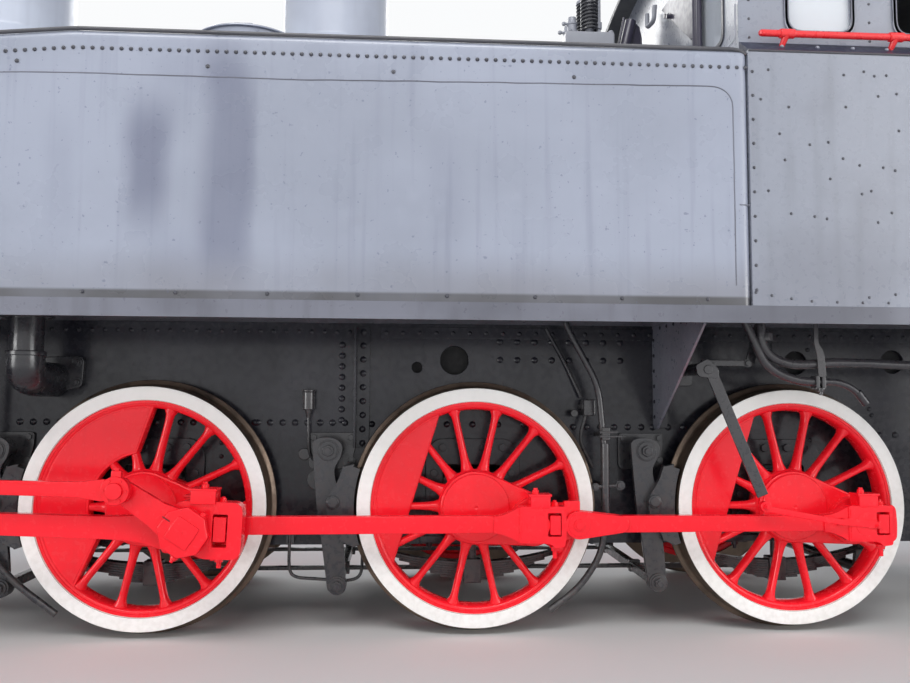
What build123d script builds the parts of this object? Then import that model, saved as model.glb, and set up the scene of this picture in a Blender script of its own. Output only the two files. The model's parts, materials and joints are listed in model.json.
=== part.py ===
from build123d import *
import os
from math import acos, asin, cos, degrees, radians, sin, sqrt, tan

# Standard-gauge 2-6-2 side-tank steam locomotive at full size, in millimetres.
# The front is towards -X and the left side towards -Y. The origin lies midway between the
# buffer faces, on the plane of the flange tips.
LEFT = -1
RIGHT = 1

# Wheels
FLANGE = 28.0
TREAD_R = 590.0
CARRIER_TREAD_R = 425.0
TYRE_IN = 680.0
TYRE_OUT = 820.0
TYRE_THICK = 73.0
TYRE_CONE = 7.0
FLANGE_TIP = 6.0
FLANGE_THICK = 32.0
RIM_THICK = 40.0
RIM_IN = 700.0
RIM_OUT = 806.0
SPOKES = 14
SPOKE_RIM_W = 34.0
SPOKE_HUB_W = 50.0
SPOKE_IN = 728.0
SPOKE_OUT = 792.0
WEIGHT_OUT = SPOKE_OUT + 8.0
WEIGHT_CHORD = 305.0
CRESCENT_R = 262.0
CRESCENT_HALF = 72.0
CRESCENT_MOUTH = 57.0
HUB_R = 165.0
HUB_IN = 660.0
HUB_OUT = 850.0
AXLE_R = 85.0
AXLE_END = 862.0
WHEEL_Z = FLANGE + TREAD_R
CARRIER_Z = FLANGE + CARRIER_TREAD_R
CARRIER_SPOKES = 10
CARRIER_HUB_R = 120.0
RAIL_Z = FLANGE

# Axle places along the engine
DRIVE_X = -1100.0
WHEEL_PITCH = 1600.0
SECOND_X = DRIVE_X + WHEEL_PITCH
THIRD_X = SECOND_X + WHEEL_PITCH
LEAD_PITCH = 1850.0
TRAIL_PITCH = 2150.0
LEAD_X = DRIVE_X - LEAD_PITCH
TRAIL_X = THIRD_X + TRAIL_PITCH

# Cranks: the left crank leads, and the right one stands a quarter turn from it
CRANK_R = 285.0
CRANK_REST = -13.0
QUARTER = 90.0
CRANK_BOSS_R = 118.0
CRANK_BOSS_OUT = 890.0
PIN_R = 62.0
PIN_COLLAR_R = 84.0
PIN_COLLAR = 16.0
PIN_GAP = 1.0

# Planes of the rods, as distances from the centre line
ROD_IN = 930.0
ROD_OUT = 1010.0
BAR_IN = 945.0
BAR_OUT = 995.0
MAIN_IN = 1045.0
MAIN_OUT = 1135.0
MAIN_BAR_IN = 1060.0
MAIN_BAR_OUT = 1120.0
RETURN_IN = 1150.0
RETURN_OUT = 1195.0
GEAR_IN = 1205.0
GEAR_OUT = 1250.0
PLANE_GAP = 5.0

# Coupling rods
FRONT_BAR_H = 88.0
REAR_BAR_H = 78.0
STRAP_H = 236.0
STRAP_W = 250.0
KNUCKLE_REACH = 197.0
KNUCKLE_R = 66.0
KNUCKLE_TAIL = 200.0
FLARE = 105.0
OIL_BOX_H = 50.0
WEDGE_WALL = 4.0
WEDGE_SLOT = 44.0
WEDGE_DEEP = 24.0
WEDGE_H = 110.0

# Cylinders and motion
CYL_Y = 1090.0
CYL_R = 255.0
CYL_FRONT = -4300.0
CYL_REAR = -3400.0
COVER_R = 225.0
COVER_T = 55.0
COVER_REAR_T = 30.0
GLAND_R = 78.0
GLAND_REACH = 62.0
CHEST_Z = WHEEL_Z + 500.0
CHEST_R = 150.0
CHEST_Y = 1060.0
PISTON_ROD_R = 38.0
SLIDE_FIT = 0.5
MAIN_ROD = 1750.0
MAIN_BAR_FRONT_H = 92.0
MAIN_BAR_REAR_H = 118.0
LITTLE_END_R = 88.0
BIG_END_W = 330.0
BIG_END_H = 228.0
BIG_END_SHIFT = 62.0
RETURN_ROOT = 120.0
RETURN_TIP = 88.0
CLAMP_R = 112.0
ECCENTRIC_EYE_R = 54.0
CROSSHEAD_HALF = 150.0
GUDGEON_R = 45.0
BAR_Z0 = WHEEL_Z + 205.0
BAR_DEPTH = 70.0
BAR_HALF_W = 39.5
HEAD_IN = CYL_Y - 65.0
HEAD_OUT = CYL_Y + 65.0
CHEEK_T = 25.0
CHEEK_DROP = 85.0
SLIPPER_T = 60.0
HEAD_BOSS = 95.0
PISTON_ROD_REACH = 930.0
ARM_DROP = 175.0
MOTION_X = DRIVE_X - 1190.0
MOTION_T = 30.0
MOTION_OUT = 1310.0
MOTION_FOOT_T = 14.0

# Frames
FRAME_IN = 580.0
FRAME_T = 30.0
FRAME_OUT = FRAME_IN + FRAME_T
FRAME_TOP = 1538.0
STRETCHER_TOP = FRAME_TOP - 60.0
FRAME_BOTTOM = 408.0
FRAME_RAISED = 760.0
FRAME_ENDS = 1000.0
HORN_W = 300.0
HORN_TOP = WHEEL_Z + 190.0
BEAM_IN = 5150.0
BEAM_T = 80.0
BEAM_OUT = BEAM_IN + BEAM_T
BEAM_HALF_W = 1300.0
BEAM_H = 420.0
BUFFER_Z = RAIL_Z + 1050.0
BUFFER_Y = 875.0
BUFFER_FACE = 5850.0
BUFFER_HEAD_R = 225.0
BUFFER_FLANGE_R = 170.0
BUFFER_CASE_R = 110.0
BUFFER_SHANK_R = 82.0

# Footplate
FOOT_T = 18.0
FOOT_TOP = FRAME_TOP + FOOT_T
VALANCE = 76.0
SIDE_Y = 1450.0
VALANCE_T = 14.0

# Side tanks
TANK_IN = 750.0
TANK_REAR = DRIVE_X + 2750.0
TANK_FRONT = -2980.0
TANK_TOP = WHEEL_Z + 2081.0
TANK_KINK = DRIVE_X - 165.0
TANK_SLOPE = 5.3
TANK_EDGE_R = 28.0
FILLER_R = 235.0
FILLER_X = -600.0
FILLER_Y = 1090.0
FILLER_H = 90.0
FILLER_WALL = 14.0
FILLER_DEEP = 260.0
LID_T = 16.0
LID_LAP = 12.0

# Boiler
BOILER_H = 2450.0
BOILER_Z = RAIL_Z + BOILER_H
BOILER_R = 675.0
BARREL_REAR = 450.0
BANDS = 5
BAND_FIRST = 70.0
BAND_PITCH = 840.0
BAND_W = 60.0
BAND_T = 5.0
FIREBOX_R = 690.0
FIREBOX_REAR = 1950.0
FIREBOX_HALF_W = 555.0
FIREBOX_BOTTOM = 900.0
WAIST_TOP = 1760.0
WAIST_LOW = 1600.0
SMOKEBOX_REAR = -3050.0
SMOKEBOX_FRONT = CYL_FRONT - 150.0
SMOKEBOX_R = 690.0
SMOKEBOX_WALL = 16.0
DOOR_R = 540.0
DOOR_HOLE_R = 500.0
CHIMNEY_AHEAD = 2650.0
CHIMNEY_X = DRIVE_X - CHIMNEY_AHEAD
CHIMNEY_H = 4150.0
CHIMNEY_TOP = RAIL_Z + CHIMNEY_H
DOME_R = 310.0
FRONT_DOME_AHEAD = 1040.0
FRONT_DOME_X = DRIVE_X - FRONT_DOME_AHEAD
REAR_DOME_BEHIND = 820.0
REAR_DOME_X = DRIVE_X + REAR_DOME_BEHIND
DOME_H = 3780.0
DOME_TOP = RAIL_Z + DOME_H
DOME_ROUND = 170.0
VALVE_Y = 62.0
VALVE_R = 40.0
VALVES_BEHIND = 2350.0
VALVES_X = DRIVE_X + VALVES_BEHIND

# Cab
CAB_FRONT = TANK_REAR
CAB_REAR = 4050.0
CAB_WALL = 30.0
LEDGE_H = 2050.0
CAB_LEDGE = WHEEL_Z + LEDGE_H
CAB_INSET = 100.0
CAB_EAVES = 3480.0
ROOF_RISE = 300.0
ROOF_T = 30.0
ROOF_OVERHANG = 110.0
ROOF_INSET = 20.0
FLOOR_T = 40.0
FLOOR_TOP = FOOT_TOP + FLOOR_T
SILL_H = 2220.0
WINDOW_SILL = WHEEL_Z + SILL_H
WINDOW_H = 460.0
WINDOW_R = 45.0
SURROUND_W = 20.0
SURROUND_T = 9.0
DOORWAY_X0 = CAB_REAR - 1000.0
DOORWAY_X1 = CAB_REAR - 360.0
DOORWAY_TOP = 3300.0
DOOR_TOP = 2640.0
GLASS_T = 6.0
GLASS_FIT = 1.0
BUNKER_REAR = 4990.0
BUNKER_TOP = 2790.0
BUNKER_WALL = 14.0
BUNKER_HALF_W = 1330.0
BUNKER_FLOOR = 100.0

# Angle of the cranks at rest, and where that puts the crank pins and the crossheads
CRANK_ANGLE = {LEFT: CRANK_REST, RIGHT: CRANK_REST + QUARTER}
CRANK_DX = {side: CRANK_R * cos(radians(angle)) for side, angle in CRANK_ANGLE.items()}
CRANK_DZ = {side: CRANK_R * sin(radians(angle)) for side, angle in CRANK_ANGLE.items()}
GUDGEON_X = {
    side: DRIVE_X + CRANK_DX[side] - sqrt(MAIN_ROD**2 - CRANK_DZ[side] ** 2) for side in (LEFT, RIGHT)
}
SIDE_NAME = {LEFT: "left", RIGHT: "right"}


def face_plane(side, distance, x=0.0, z=0.0):
    """A plane at a distance out from the centre line, seen with +X to the right and +Z up."""
    return Plane(origin=(x, side * distance, z), x_dir=(1, 0, 0), z_dir=(0, -1, 0))


def raise_layer(sketch, side, inner, outer, mode=Mode.ADD):
    """Thickens a sketch that lies on the inner plane out to the outer one."""
    extrude(sketch.sketch, amount=-side * (outer - inner), mode=mode)


def block(x0, x1, y0, y1, z0, z1, mode=Mode.ADD):
    """A square block between two corners."""
    with Locations(((x0 + x1) / 2, (y0 + y1) / 2, (z0 + z1) / 2)):
        Box(abs(x1 - x0), abs(y1 - y0), abs(z1 - z0), mode=mode)


def side_block(side, x0, x1, inner, outer, z0, z1, mode=Mode.ADD):
    """A square block on one side, between two distances from the centre line."""
    block(x0, x1, side * inner, side * outer, z0, z1, mode)


def cross_disc(side, x, z, radius, inner, outer, mode=Mode.ADD):
    """A round disc or pin across the engine."""
    with BuildSketch(face_plane(side, inner, x, z)) as disc:
        Circle(radius)
    raise_layer(disc, side, inner, outer, mode)


def cross_plate(side, points, inner, outer, mode=Mode.ADD):
    """A flat plate along the engine, from the corners of its outline as (x, z)."""
    with BuildSketch(face_plane(side, inner)) as plate:
        with BuildLine():
            Polyline(*points, close=True)
        make_face()
    raise_layer(plate, side, inner, outer, mode)


def cross_bar(side, start, end, height, inner, outer):
    """A bar of even depth between two pins, given as (x, z)."""
    run = Vector(end[0] - start[0], end[1] - start[1])
    middle = ((start[0] + end[0]) / 2, (start[1] + end[1]) / 2)
    with BuildSketch(face_plane(side, inner)) as bar:
        with Locations(middle):
            Rectangle(run.length, height, rotation=degrees_of(run))
    raise_layer(bar, side, inner, outer)


def taper_bar(side, start, end, start_deep, end_deep, inner, outer):
    """A bar between two pins, given as (x, z), that is deeper at one end than at the other."""
    run = Vector(end[0] - start[0], end[1] - start[1]).normalized()
    ends = [(*start, start_deep / 2), (*end, end_deep / 2)]
    upper = [(x - run.Y * half, z + run.X * half) for x, z, half in ends]
    lower = [(x + run.Y * half, z - run.X * half) for x, z, half in reversed(ends)]
    cross_plate(side, upper + lower, inner, outer)


def across_plane(x):
    """A plane across the engine, seen with +Y to the right and +Z up."""
    return Plane(origin=(x, 0, 0), x_dir=(0, 1, 0), z_dir=(1, 0, 0))


def placed(x, z, outline):
    """Moves an outline that is given from a centre as (x, z) to where that centre lies."""
    return [(x + dx, z + dz) for dx, dz in outline]


def degrees_of(run):
    """The direction of a flat vector, in degrees."""
    return Vector(1, 0, 0).get_signed_angle(run, Vector(0, 0, 1))


def long_cylinder(x0, x1, y, z, radius, mode=Mode.ADD):
    """A cylinder lying along the engine."""
    with BuildSketch(Plane(origin=(x0, y, z), x_dir=(0, 1, 0), z_dir=(1, 0, 0))) as ring:
        Circle(radius)
    extrude(ring.sketch, amount=x1 - x0, mode=mode)


def upright(x, y, z0, z1, radius, mode=Mode.ADD):
    """A standing cylinder."""
    with BuildSketch(Plane.XY.offset(z0)) as ring:
        with Locations((x, y)):
            Circle(radius)
    extrude(ring.sketch, amount=z1 - z0, mode=mode)


def turned(x, y, profile):
    """A form turned about an upright axis, from its half outline as (radius, z)."""
    with BuildSketch(Plane(origin=(x, y, 0), x_dir=(1, 0, 0), z_dir=(0, -1, 0))) as half:
        with BuildLine():
            Polyline((0, profile[0][1]), *profile, (0, profile[-1][1]), close=True)
        make_face()
    revolve(half.sketch, axis=Axis((x, y, 0), (0, 0, 1)))


def turned_along(end, y, z, profile):
    """A form turned about an axis along the engine, from its half outline as (radius, distance out)."""
    outline = [(end * out, radius) for radius, out in profile]
    with BuildSketch(Plane(origin=(0, y, z), x_dir=(1, 0, 0), z_dir=(0, -1, 0))) as half:
        with BuildLine():
            Polyline((outline[0][0], 0), *outline, (outline[-1][0], 0), close=True)
        make_face()
    revolve(half.sketch, axis=Axis((0, y, z), (1, 0, 0)))


def pipe(points, bend, radius, mode=Mode.ADD):
    """A round pipe along straight runs with an even bend radius."""
    with BuildLine() as path:
        FilletPolyline(*points, radius=bend)
    with BuildSketch(Plane(origin=path.line @ 0, z_dir=path.line % 0)) as section:
        Circle(radius)
    sweep(section.sketch, path=path.line, mode=mode)


def arc_piece(side, x, z, inner_r, outer_r, middle, half, inner, outer, mode=Mode.ADD):
    """A piece of a flat ring, between two radii and as far each way from a middle angle."""
    with BuildSketch(face_plane(side, inner, x, z)) as piece:
        with BuildLine():
            far = CenterArc((0, 0), outer_r, middle - half, 2 * half)
            near = CenterArc((0, 0), inner_r, middle - half, 2 * half)
            Line(far @ 0, near @ 0)
            Line(far @ 1, near @ 1)
        make_face()
    raise_layer(piece, side, inner, outer, mode)


def finish(piece, name):
    """Labels a piece and writes it under its node's name."""
    piece.part.label = name
    export_step(piece.part, f"parts/{name}.step")


# Wheels

def tyre(side, x, z, tread_r, thick):
    """One tyre: coned tread, flange and bore."""
    with BuildSketch(Plane.XY.offset(z)) as section:
        with BuildLine():
            Polyline(
                (x + tread_r - thick, side * TYRE_IN),
                (x + tread_r + FLANGE, side * (TYRE_IN + FLANGE_TIP)),
                (x + tread_r, side * (TYRE_IN + FLANGE_THICK)),
                (x + tread_r - TYRE_CONE, side * TYRE_OUT),
                (x + tread_r - thick, side * TYRE_OUT),
                close=True,
            )
        make_face()
    revolve(section.sketch, axis=Axis((x, 0, z), (0, 1, 0)))


def ring_layer(side, x, z, outer_r, inner_r, inner, outer):
    """A flat ring of a wheel."""
    with BuildSketch(face_plane(side, inner, x, z)) as ring:
        Circle(outer_r)
        Circle(inner_r, mode=Mode.SUBTRACT)
    raise_layer(ring, side, inner, outer)


def spoke_layer(side, x, z, count, first, hub_r, rim_r, hub_w, rim_w):
    """A star of tapered spokes, the first at a given angle."""
    with BuildSketch(face_plane(side, SPOKE_IN, x, z)) as star:
        with PolarLocations(0, count, start_angle=first):
            with BuildLine():
                Polyline(
                    (hub_r, -hub_w / 2), (rim_r, -rim_w / 2), (rim_r, rim_w / 2), (hub_r, hub_w / 2),
                    close=True,
                )
            make_face()
    raise_layer(star, side, SPOKE_IN, SPOKE_OUT)


def segment_weight(side, x, z, direction):
    """A counterweight filling the rim out from a straight chord."""
    radius = TREAD_R - TYRE_THICK - RIM_THICK / 2
    half = degrees(acos(WEIGHT_CHORD / radius))
    with BuildSketch(face_plane(side, SPOKE_IN, x, z)) as weight:
        with BuildLine():
            arc = CenterArc((0, 0), radius, direction - half, 2 * half)
            Line(arc @ 0, arc @ 1)
        make_face()
    raise_layer(weight, side, SPOKE_IN, WEIGHT_OUT)


def crescent_weight(side, x, z, direction):
    """The larger counterweight of the driven wheel, cut away round the hub."""
    radius = TREAD_R - TYRE_THICK - RIM_THICK / 2
    with BuildSketch(face_plane(side, SPOKE_IN, x, z)) as weight:
        with BuildLine():
            outer = CenterArc((0, 0), radius, direction - CRESCENT_HALF, 2 * CRESCENT_HALF)
            inner = CenterArc((0, 0), CRESCENT_R, direction - CRESCENT_MOUTH, 2 * CRESCENT_MOUTH)
            Line(outer @ 0, inner @ 0)
            Line(outer @ 1, inner @ 1)
        make_face()
    raise_layer(weight, side, SPOKE_IN, WEIGHT_OUT)


# Name, place, end of the left and right crank pins, and which counterweight it has
COUPLED_SETS = [
    ("drive", DRIVE_X, MAIN_IN - PLANE_GAP, crescent_weight, 171.0),
    ("second", SECOND_X, ROD_OUT + PIN_COLLAR + PIN_GAP, segment_weight, 175.0),
    ("third", THIRD_X, ROD_OUT + PIN_COLLAR + PIN_GAP, segment_weight, 175.0),
]
os.makedirs("parts", exist_ok=True)

for set_name, axle_x, pin_end, weight_form, weight_lead in COUPLED_SETS:
    with BuildPart() as tyres:
        for side in (LEFT, RIGHT):
            tyre(side, axle_x, WHEEL_Z, TREAD_R, TYRE_THICK)
    finish(tyres, f"tyres_{set_name}")

    rim_r = TREAD_R - TYRE_THICK
    with BuildPart() as wheels:
        cross_disc(LEFT, axle_x, WHEEL_Z, AXLE_R, -AXLE_END, AXLE_END)
        for side in (LEFT, RIGHT):
            crank = CRANK_ANGLE[side]
            pin_x = axle_x + CRANK_DX[side]
            pin_z = WHEEL_Z + CRANK_DZ[side]
            mirrored = 1 if side == LEFT else -1
            ring_layer(side, axle_x, WHEEL_Z, rim_r, rim_r - RIM_THICK, RIM_IN, RIM_OUT)
            spoke_layer(
                side, axle_x, WHEEL_Z, SPOKES, crank + 180 / SPOKES,
                HUB_R - 25, rim_r - RIM_THICK / 2, SPOKE_HUB_W, SPOKE_RIM_W,
            )
            weight_form(side, axle_x, WHEEL_Z, crank + mirrored * weight_lead)
            cross_disc(side, axle_x, WHEEL_Z, HUB_R, HUB_IN, HUB_OUT)
            cross_disc(side, pin_x, pin_z, CRANK_BOSS_R, SPOKE_IN, CRANK_BOSS_OUT)
            taper_bar(
                side, (axle_x, WHEEL_Z), (pin_x, pin_z), 2 * HUB_R - 10, 2 * CRANK_BOSS_R,
                SPOKE_IN, CRANK_BOSS_OUT - 20,
            )
            cross_disc(side, pin_x, pin_z, PIN_R, CRANK_BOSS_OUT, pin_end)
            if pin_end < MAIN_IN - PLANE_GAP:
                cross_disc(side, pin_x, pin_z, PIN_COLLAR_R, ROD_OUT + PIN_GAP, pin_end)
            else:
                cross_disc(side, pin_x, pin_z, PIN_COLLAR_R, ROD_OUT + PIN_GAP, ROD_OUT + PIN_COLLAR)
    finish(wheels, f"wheels_{set_name}")

for set_name, axle_x in (("lead", LEAD_X), ("trail", TRAIL_X)):
    rim_r = CARRIER_TREAD_R - TYRE_THICK
    with BuildPart() as wheels:
        cross_disc(LEFT, axle_x, CARRIER_Z, AXLE_R, -HUB_OUT, HUB_OUT)
        for side in (LEFT, RIGHT):
            tyre(side, axle_x, CARRIER_Z, CARRIER_TREAD_R, TYRE_THICK + RIM_THICK)
            spoke_layer(
                side, axle_x, CARRIER_Z, CARRIER_SPOKES, 180 / CARRIER_SPOKES,
                CARRIER_HUB_R - 20, rim_r - RIM_THICK / 2, SPOKE_HUB_W, SPOKE_RIM_W,
            )
            cross_disc(side, axle_x, CARRIER_Z, CARRIER_HUB_R, HUB_IN, TYRE_OUT)
    finish(wheels, f"wheels_{set_name}")


# Coupling rods

def wedge_pocket(side, x, z, face):
    """The recess behind a rod's bearing, with the wedge that takes up its wear."""
    edge = x + PIN_R + WEDGE_WALL
    floor = face - WEDGE_DEEP
    low = z - WEDGE_H / 2
    side_block(side, edge, edge + WEDGE_SLOT, floor, face, low, low + WEDGE_H, Mode.SUBTRACT)
    side_block(side, edge + 6, edge + WEDGE_SLOT - 8, floor, face - 4, low + 8, low + WEDGE_H)


def strap_end(side, x, z, half_w):
    """A strapped rod end with its bearing, its wedge and the oil box on top."""
    low = z - STRAP_H / 2
    high = low + STRAP_H - 30
    lid = high + OIL_BOX_H
    cross_plate(
        side,
        [
            (x - half_w + 35, low + 34), (x + 55, low + 34), (x + 80, low + 12), (x + half_w - 8, low + 12),
            (x + half_w, low + 40), (x + half_w, high), (x - half_w + 35, high),
        ],
        ROD_IN, ROD_OUT,
    )
    side_block(side, x - 36, x + 60, BAR_IN, BAR_OUT, high, lid)
    side_block(side, x - 42, x + 66, BAR_IN, BAR_OUT, lid, lid + 8)
    cross_disc(side, x, z, PIN_R + SLIDE_FIT, ROD_IN, ROD_OUT, Mode.SUBTRACT)
    wedge_pocket(side, x, z, ROD_OUT)


def rod_flare(side, x, z, way, bar_h):
    """The swelling of a coupling rod from its bar to a strapped end."""
    near = x + (STRAP_W / 2 if way > 0 else -STRAP_W / 2 + 40)
    cross_plate(
        side,
        [
            (near - way * 10, z - STRAP_H / 2 + 36), (near + way * FLARE, z - bar_h / 2),
            (near + way * FLARE, z + bar_h / 2), (near - way * 10, z + STRAP_H / 2 - 32),
        ],
        BAR_IN, BAR_OUT,
    )


for side in (LEFT, RIGHT):
    pins = [(axle_x + CRANK_DX[side], WHEEL_Z + CRANK_DZ[side]) for axle_x in (DRIVE_X, SECOND_X, THIRD_X)]
    knuckle = (pins[1][0] + KNUCKLE_REACH, pins[1][1])
    tail = (knuckle[0] + KNUCKLE_TAIL, knuckle[1])
    with BuildPart() as rods:
        cross_bar(side, pins[0], pins[1], FRONT_BAR_H, BAR_IN, BAR_OUT)
        cross_bar(side, pins[1], knuckle, FRONT_BAR_H, BAR_IN, BAR_OUT)
        cross_bar(side, knuckle, pins[2], REAR_BAR_H, BAR_IN, BAR_OUT)
        taper_bar(side, knuckle, tail, 2 * KNUCKLE_R, REAR_BAR_H, ROD_IN, ROD_OUT)
        cross_disc(side, *knuckle, KNUCKLE_R, ROD_IN, ROD_OUT)
        cross_disc(side, *knuckle, KNUCKLE_R / 2, ROD_OUT, ROD_OUT + 14)
        rod_flare(side, *pins[0], 1, FRONT_BAR_H)
        rod_flare(side, *pins[1], -1, FRONT_BAR_H)
        rod_flare(side, *pins[2], -1, REAR_BAR_H)
        for pin_x, pin_z in pins:
            strap_end(side, pin_x, pin_z, STRAP_W / 2)
    finish(rods, f"coupling_rods_{SIDE_NAME[side]}")


# Main rods, return cranks and crossheads

ECCENTRIC_R = 124.0
RETURN_AHEAD = 103.0


def eccentric_pin(side):
    """The place of the return crank's pin at rest."""
    angle = radians(CRANK_ANGLE[side] + RETURN_AHEAD)
    return (DRIVE_X + ECCENTRIC_R * cos(angle), WHEEL_Z + ECCENTRIC_R * sin(angle))


for side in (LEFT, RIGHT):
    pin = (DRIVE_X + CRANK_DX[side], WHEEL_Z + CRANK_DZ[side])
    gudgeon = (GUDGEON_X[side], WHEEL_Z)
    with BuildPart() as rod:
        taper_bar(side, gudgeon, pin, MAIN_BAR_FRONT_H, MAIN_BAR_REAR_H, MAIN_BAR_IN, MAIN_BAR_OUT)
        cross_disc(side, *gudgeon, LITTLE_END_R, MAIN_BAR_IN, MAIN_BAR_OUT)
        cross_disc(side, *gudgeon, GUDGEON_R + SLIDE_FIT, MAIN_BAR_IN, MAIN_BAR_OUT, Mode.SUBTRACT)
        with BuildSketch(face_plane(side, MAIN_IN, *pin)) as strap:
            tilt = degrees(asin((pin[1] - gudgeon[1]) / MAIN_ROD))
            with Locations((BIG_END_SHIFT, 0)):
                Rectangle(BIG_END_W, BIG_END_H, rotation=tilt)
        raise_layer(strap, side, MAIN_IN, MAIN_OUT)
        wedge_pocket(side, *pin, MAIN_OUT)
        side_block(
            side, pin[0] + 14, pin[0] + 126, MAIN_IN + 8, MAIN_OUT - 12,
            pin[1] + BIG_END_H / 2 - 10, pin[1] + BIG_END_H / 2 + OIL_BOX_H,
        )
        cross_disc(side, *pin, PIN_R, MAIN_OUT, RETURN_IN)
    finish(rod, f"main_rod_{SIDE_NAME[side]}")

    eccentric = eccentric_pin(side)
    with BuildPart() as crank_arm:
        taper_bar(side, pin, eccentric, RETURN_ROOT, RETURN_TIP, RETURN_IN, RETURN_OUT)
        with BuildSketch(face_plane(side, RETURN_IN, *pin)) as clamp:
            RegularPolygon(CLAMP_R, 8)
        raise_layer(clamp, side, RETURN_IN, RETURN_OUT)
        cross_disc(side, *pin, PIN_R, RETURN_OUT, RETURN_OUT + 6)
        cross_disc(side, *eccentric, ECCENTRIC_EYE_R, RETURN_IN, RETURN_OUT)
    finish(crank_arm, f"return_crank_{SIDE_NAME[side]}")

    with BuildPart() as head:
        x = GUDGEON_X[side]
        front_x = x - CROSSHEAD_HALF
        rear_x = x + CROSSHEAD_HALF
        head_low = WHEEL_Z - CHEEK_DROP
        head_top = BAR_Z0 + BAR_DEPTH + SLIPPER_T
        cheek = [
            (front_x, head_low), (x + 60, head_low), (x + 95, WHEEL_Z - 40), (rear_x, BAR_Z0),
            (rear_x, head_top), (front_x, head_top),
        ]
        for cheek_in in (HEAD_IN, HEAD_OUT - CHEEK_T):
            cross_plate(side, cheek, cheek_in, cheek_in + CHEEK_T)
        side_block(side, front_x, x + 60, HEAD_IN, HEAD_OUT, WHEEL_Z + 96, BAR_Z0 - SLIDE_FIT)
        side_block(side, front_x, rear_x, HEAD_IN, HEAD_OUT, BAR_Z0 + BAR_DEPTH + SLIDE_FIT, head_top)
        side_block(side, front_x, x - HEAD_BOSS, HEAD_IN, HEAD_OUT, head_low, WHEEL_Z + 90)
        cross_disc(side, x, WHEEL_Z, GUDGEON_R, HEAD_IN, HEAD_OUT + 10)
        cross_plate(
            side,
            [
                (x - 55, WHEEL_Z - 60), (x + 55, WHEEL_Z - 60), (x + 32, WHEEL_Z - ARM_DROP - 32),
                (x - 32, WHEEL_Z - ARM_DROP - 32),
            ],
            HEAD_OUT - CHEEK_T, HEAD_OUT,
        )
        long_cylinder(x - PISTON_ROD_REACH, x - HEAD_BOSS, side * CYL_Y, WHEEL_Z, PISTON_ROD_R)
    finish(head, f"crosshead_{SIDE_NAME[side]}")


# Cylinders

with BuildPart() as cylinders:
    for side in (LEFT, RIGHT):
        long_cylinder(CYL_FRONT, CYL_REAR, side * CYL_Y, WHEEL_Z, CYL_R)
        long_cylinder(CYL_FRONT - COVER_T, CYL_FRONT, side * CYL_Y, WHEEL_Z, COVER_R)
        long_cylinder(CYL_REAR, CYL_REAR + COVER_REAR_T, side * CYL_Y, WHEEL_Z, COVER_R)
        long_cylinder(CYL_REAR, CYL_REAR + GLAND_REACH, side * CYL_Y, WHEEL_Z, GLAND_R)
        long_cylinder(CYL_FRONT + 60, CYL_REAR - 60, side * CHEST_Y, CHEST_Z, CHEST_R)
        long_cylinder(CYL_FRONT + 30, CYL_REAR - 30, side * CHEST_Y, CHEST_Z, CHEST_R - 35)
        side_block(side, CYL_FRONT + 40, CYL_REAR - 70, FRAME_OUT, CHEST_Y, WHEEL_Z - 110, CHEST_Z + 100)
        side_block(side, CYL_FRONT + 90, CYL_REAR - 120, CHEST_Y - 60, CYL_Y + 120, WHEEL_Z + 150, CHEST_Z)
        long_cylinder(
            CYL_FRONT + 100, CYL_REAR + GLAND_REACH, side * CYL_Y, WHEEL_Z, PISTON_ROD_R + SLIDE_FIT,
            Mode.SUBTRACT,
        )
finish(cylinders, "cylinders")


# Slide bars and motion brackets

with BuildPart() as motion:
    for side in (LEFT, RIGHT):
        side_block(
            side, CYL_REAR + COVER_REAR_T, MOTION_X + MOTION_T, CYL_Y - BAR_HALF_W, CYL_Y + BAR_HALF_W,
            BAR_Z0, BAR_Z0 + BAR_DEPTH,
        )
        foot_z = FRAME_TOP - MOTION_FOOT_T
        side_block(side, MOTION_X, MOTION_X + MOTION_T, FRAME_OUT, MOTION_OUT, BAR_Z0 + BAR_DEPTH, foot_z)
        side_block(side, MOTION_X - 30, MOTION_X + 60, FRAME_OUT, MOTION_OUT, foot_z, FRAME_TOP)
finish(motion, "motion_brackets")


# Valve gear, held by the frames where its closed linkage is opened

LINK_X = DRIVE_X - 1420.0
LINK_HALF = 200.0
LINK_TAIL = 333.0
ECCENTRIC_ROD = 1400.0
LEVER = 695.0
UNION_LINK = 330.0
LINK_W = 96.0
LINK_SLOT = 40.0
LINK_WALL = 45.0
RADIUS_ROD_H = 48.0
RADIUS_ROD_IN = GEAR_IN - 30.0
LEVER_IN = RETURN_IN + 55.0
LEVER_T = 30.0
UNION_IN = RETURN_IN + 20.0
UNION_T = 24.0
BOSS_OUT = RETURN_IN + 92.0
SPINDLE_R = 24.0
GUIDE_HALF = 35.0
TRUNNION_R = 62.0
SPINDLE_X = CYL_REAR + 190.0


def rods_meet(first, first_length, second, second_length):
    """Where two rods pinned at given places meet, on the lower side of the line between them."""
    dx, dz = second[0] - first[0], second[1] - first[1]
    span = sqrt(dx**2 + dz**2)
    along = (first_length**2 - second_length**2 + span**2) / (2 * span)
    off = sqrt(first_length**2 - along**2)
    return (first[0] + (along * dx + off * dz) / span, first[1] + (along * dz - off * dx) / span)


def link_curve(side):
    """The curved slotted link, struck from the far end of the radius rod."""
    radius = LINK_X - SPINDLE_X
    slot_reach = LINK_HALF - LINK_WALL
    for width, reach, mode in ((LINK_W, LINK_HALF, Mode.ADD), (LINK_SLOT, slot_reach, Mode.SUBTRACT)):
        arc_piece(
            side, SPINDLE_X, CHEST_Z, radius - width / 2, radius + width / 2, 0,
            degrees(asin(reach / radius)),
            GEAR_IN, GEAR_OUT, mode,
        )


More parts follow.
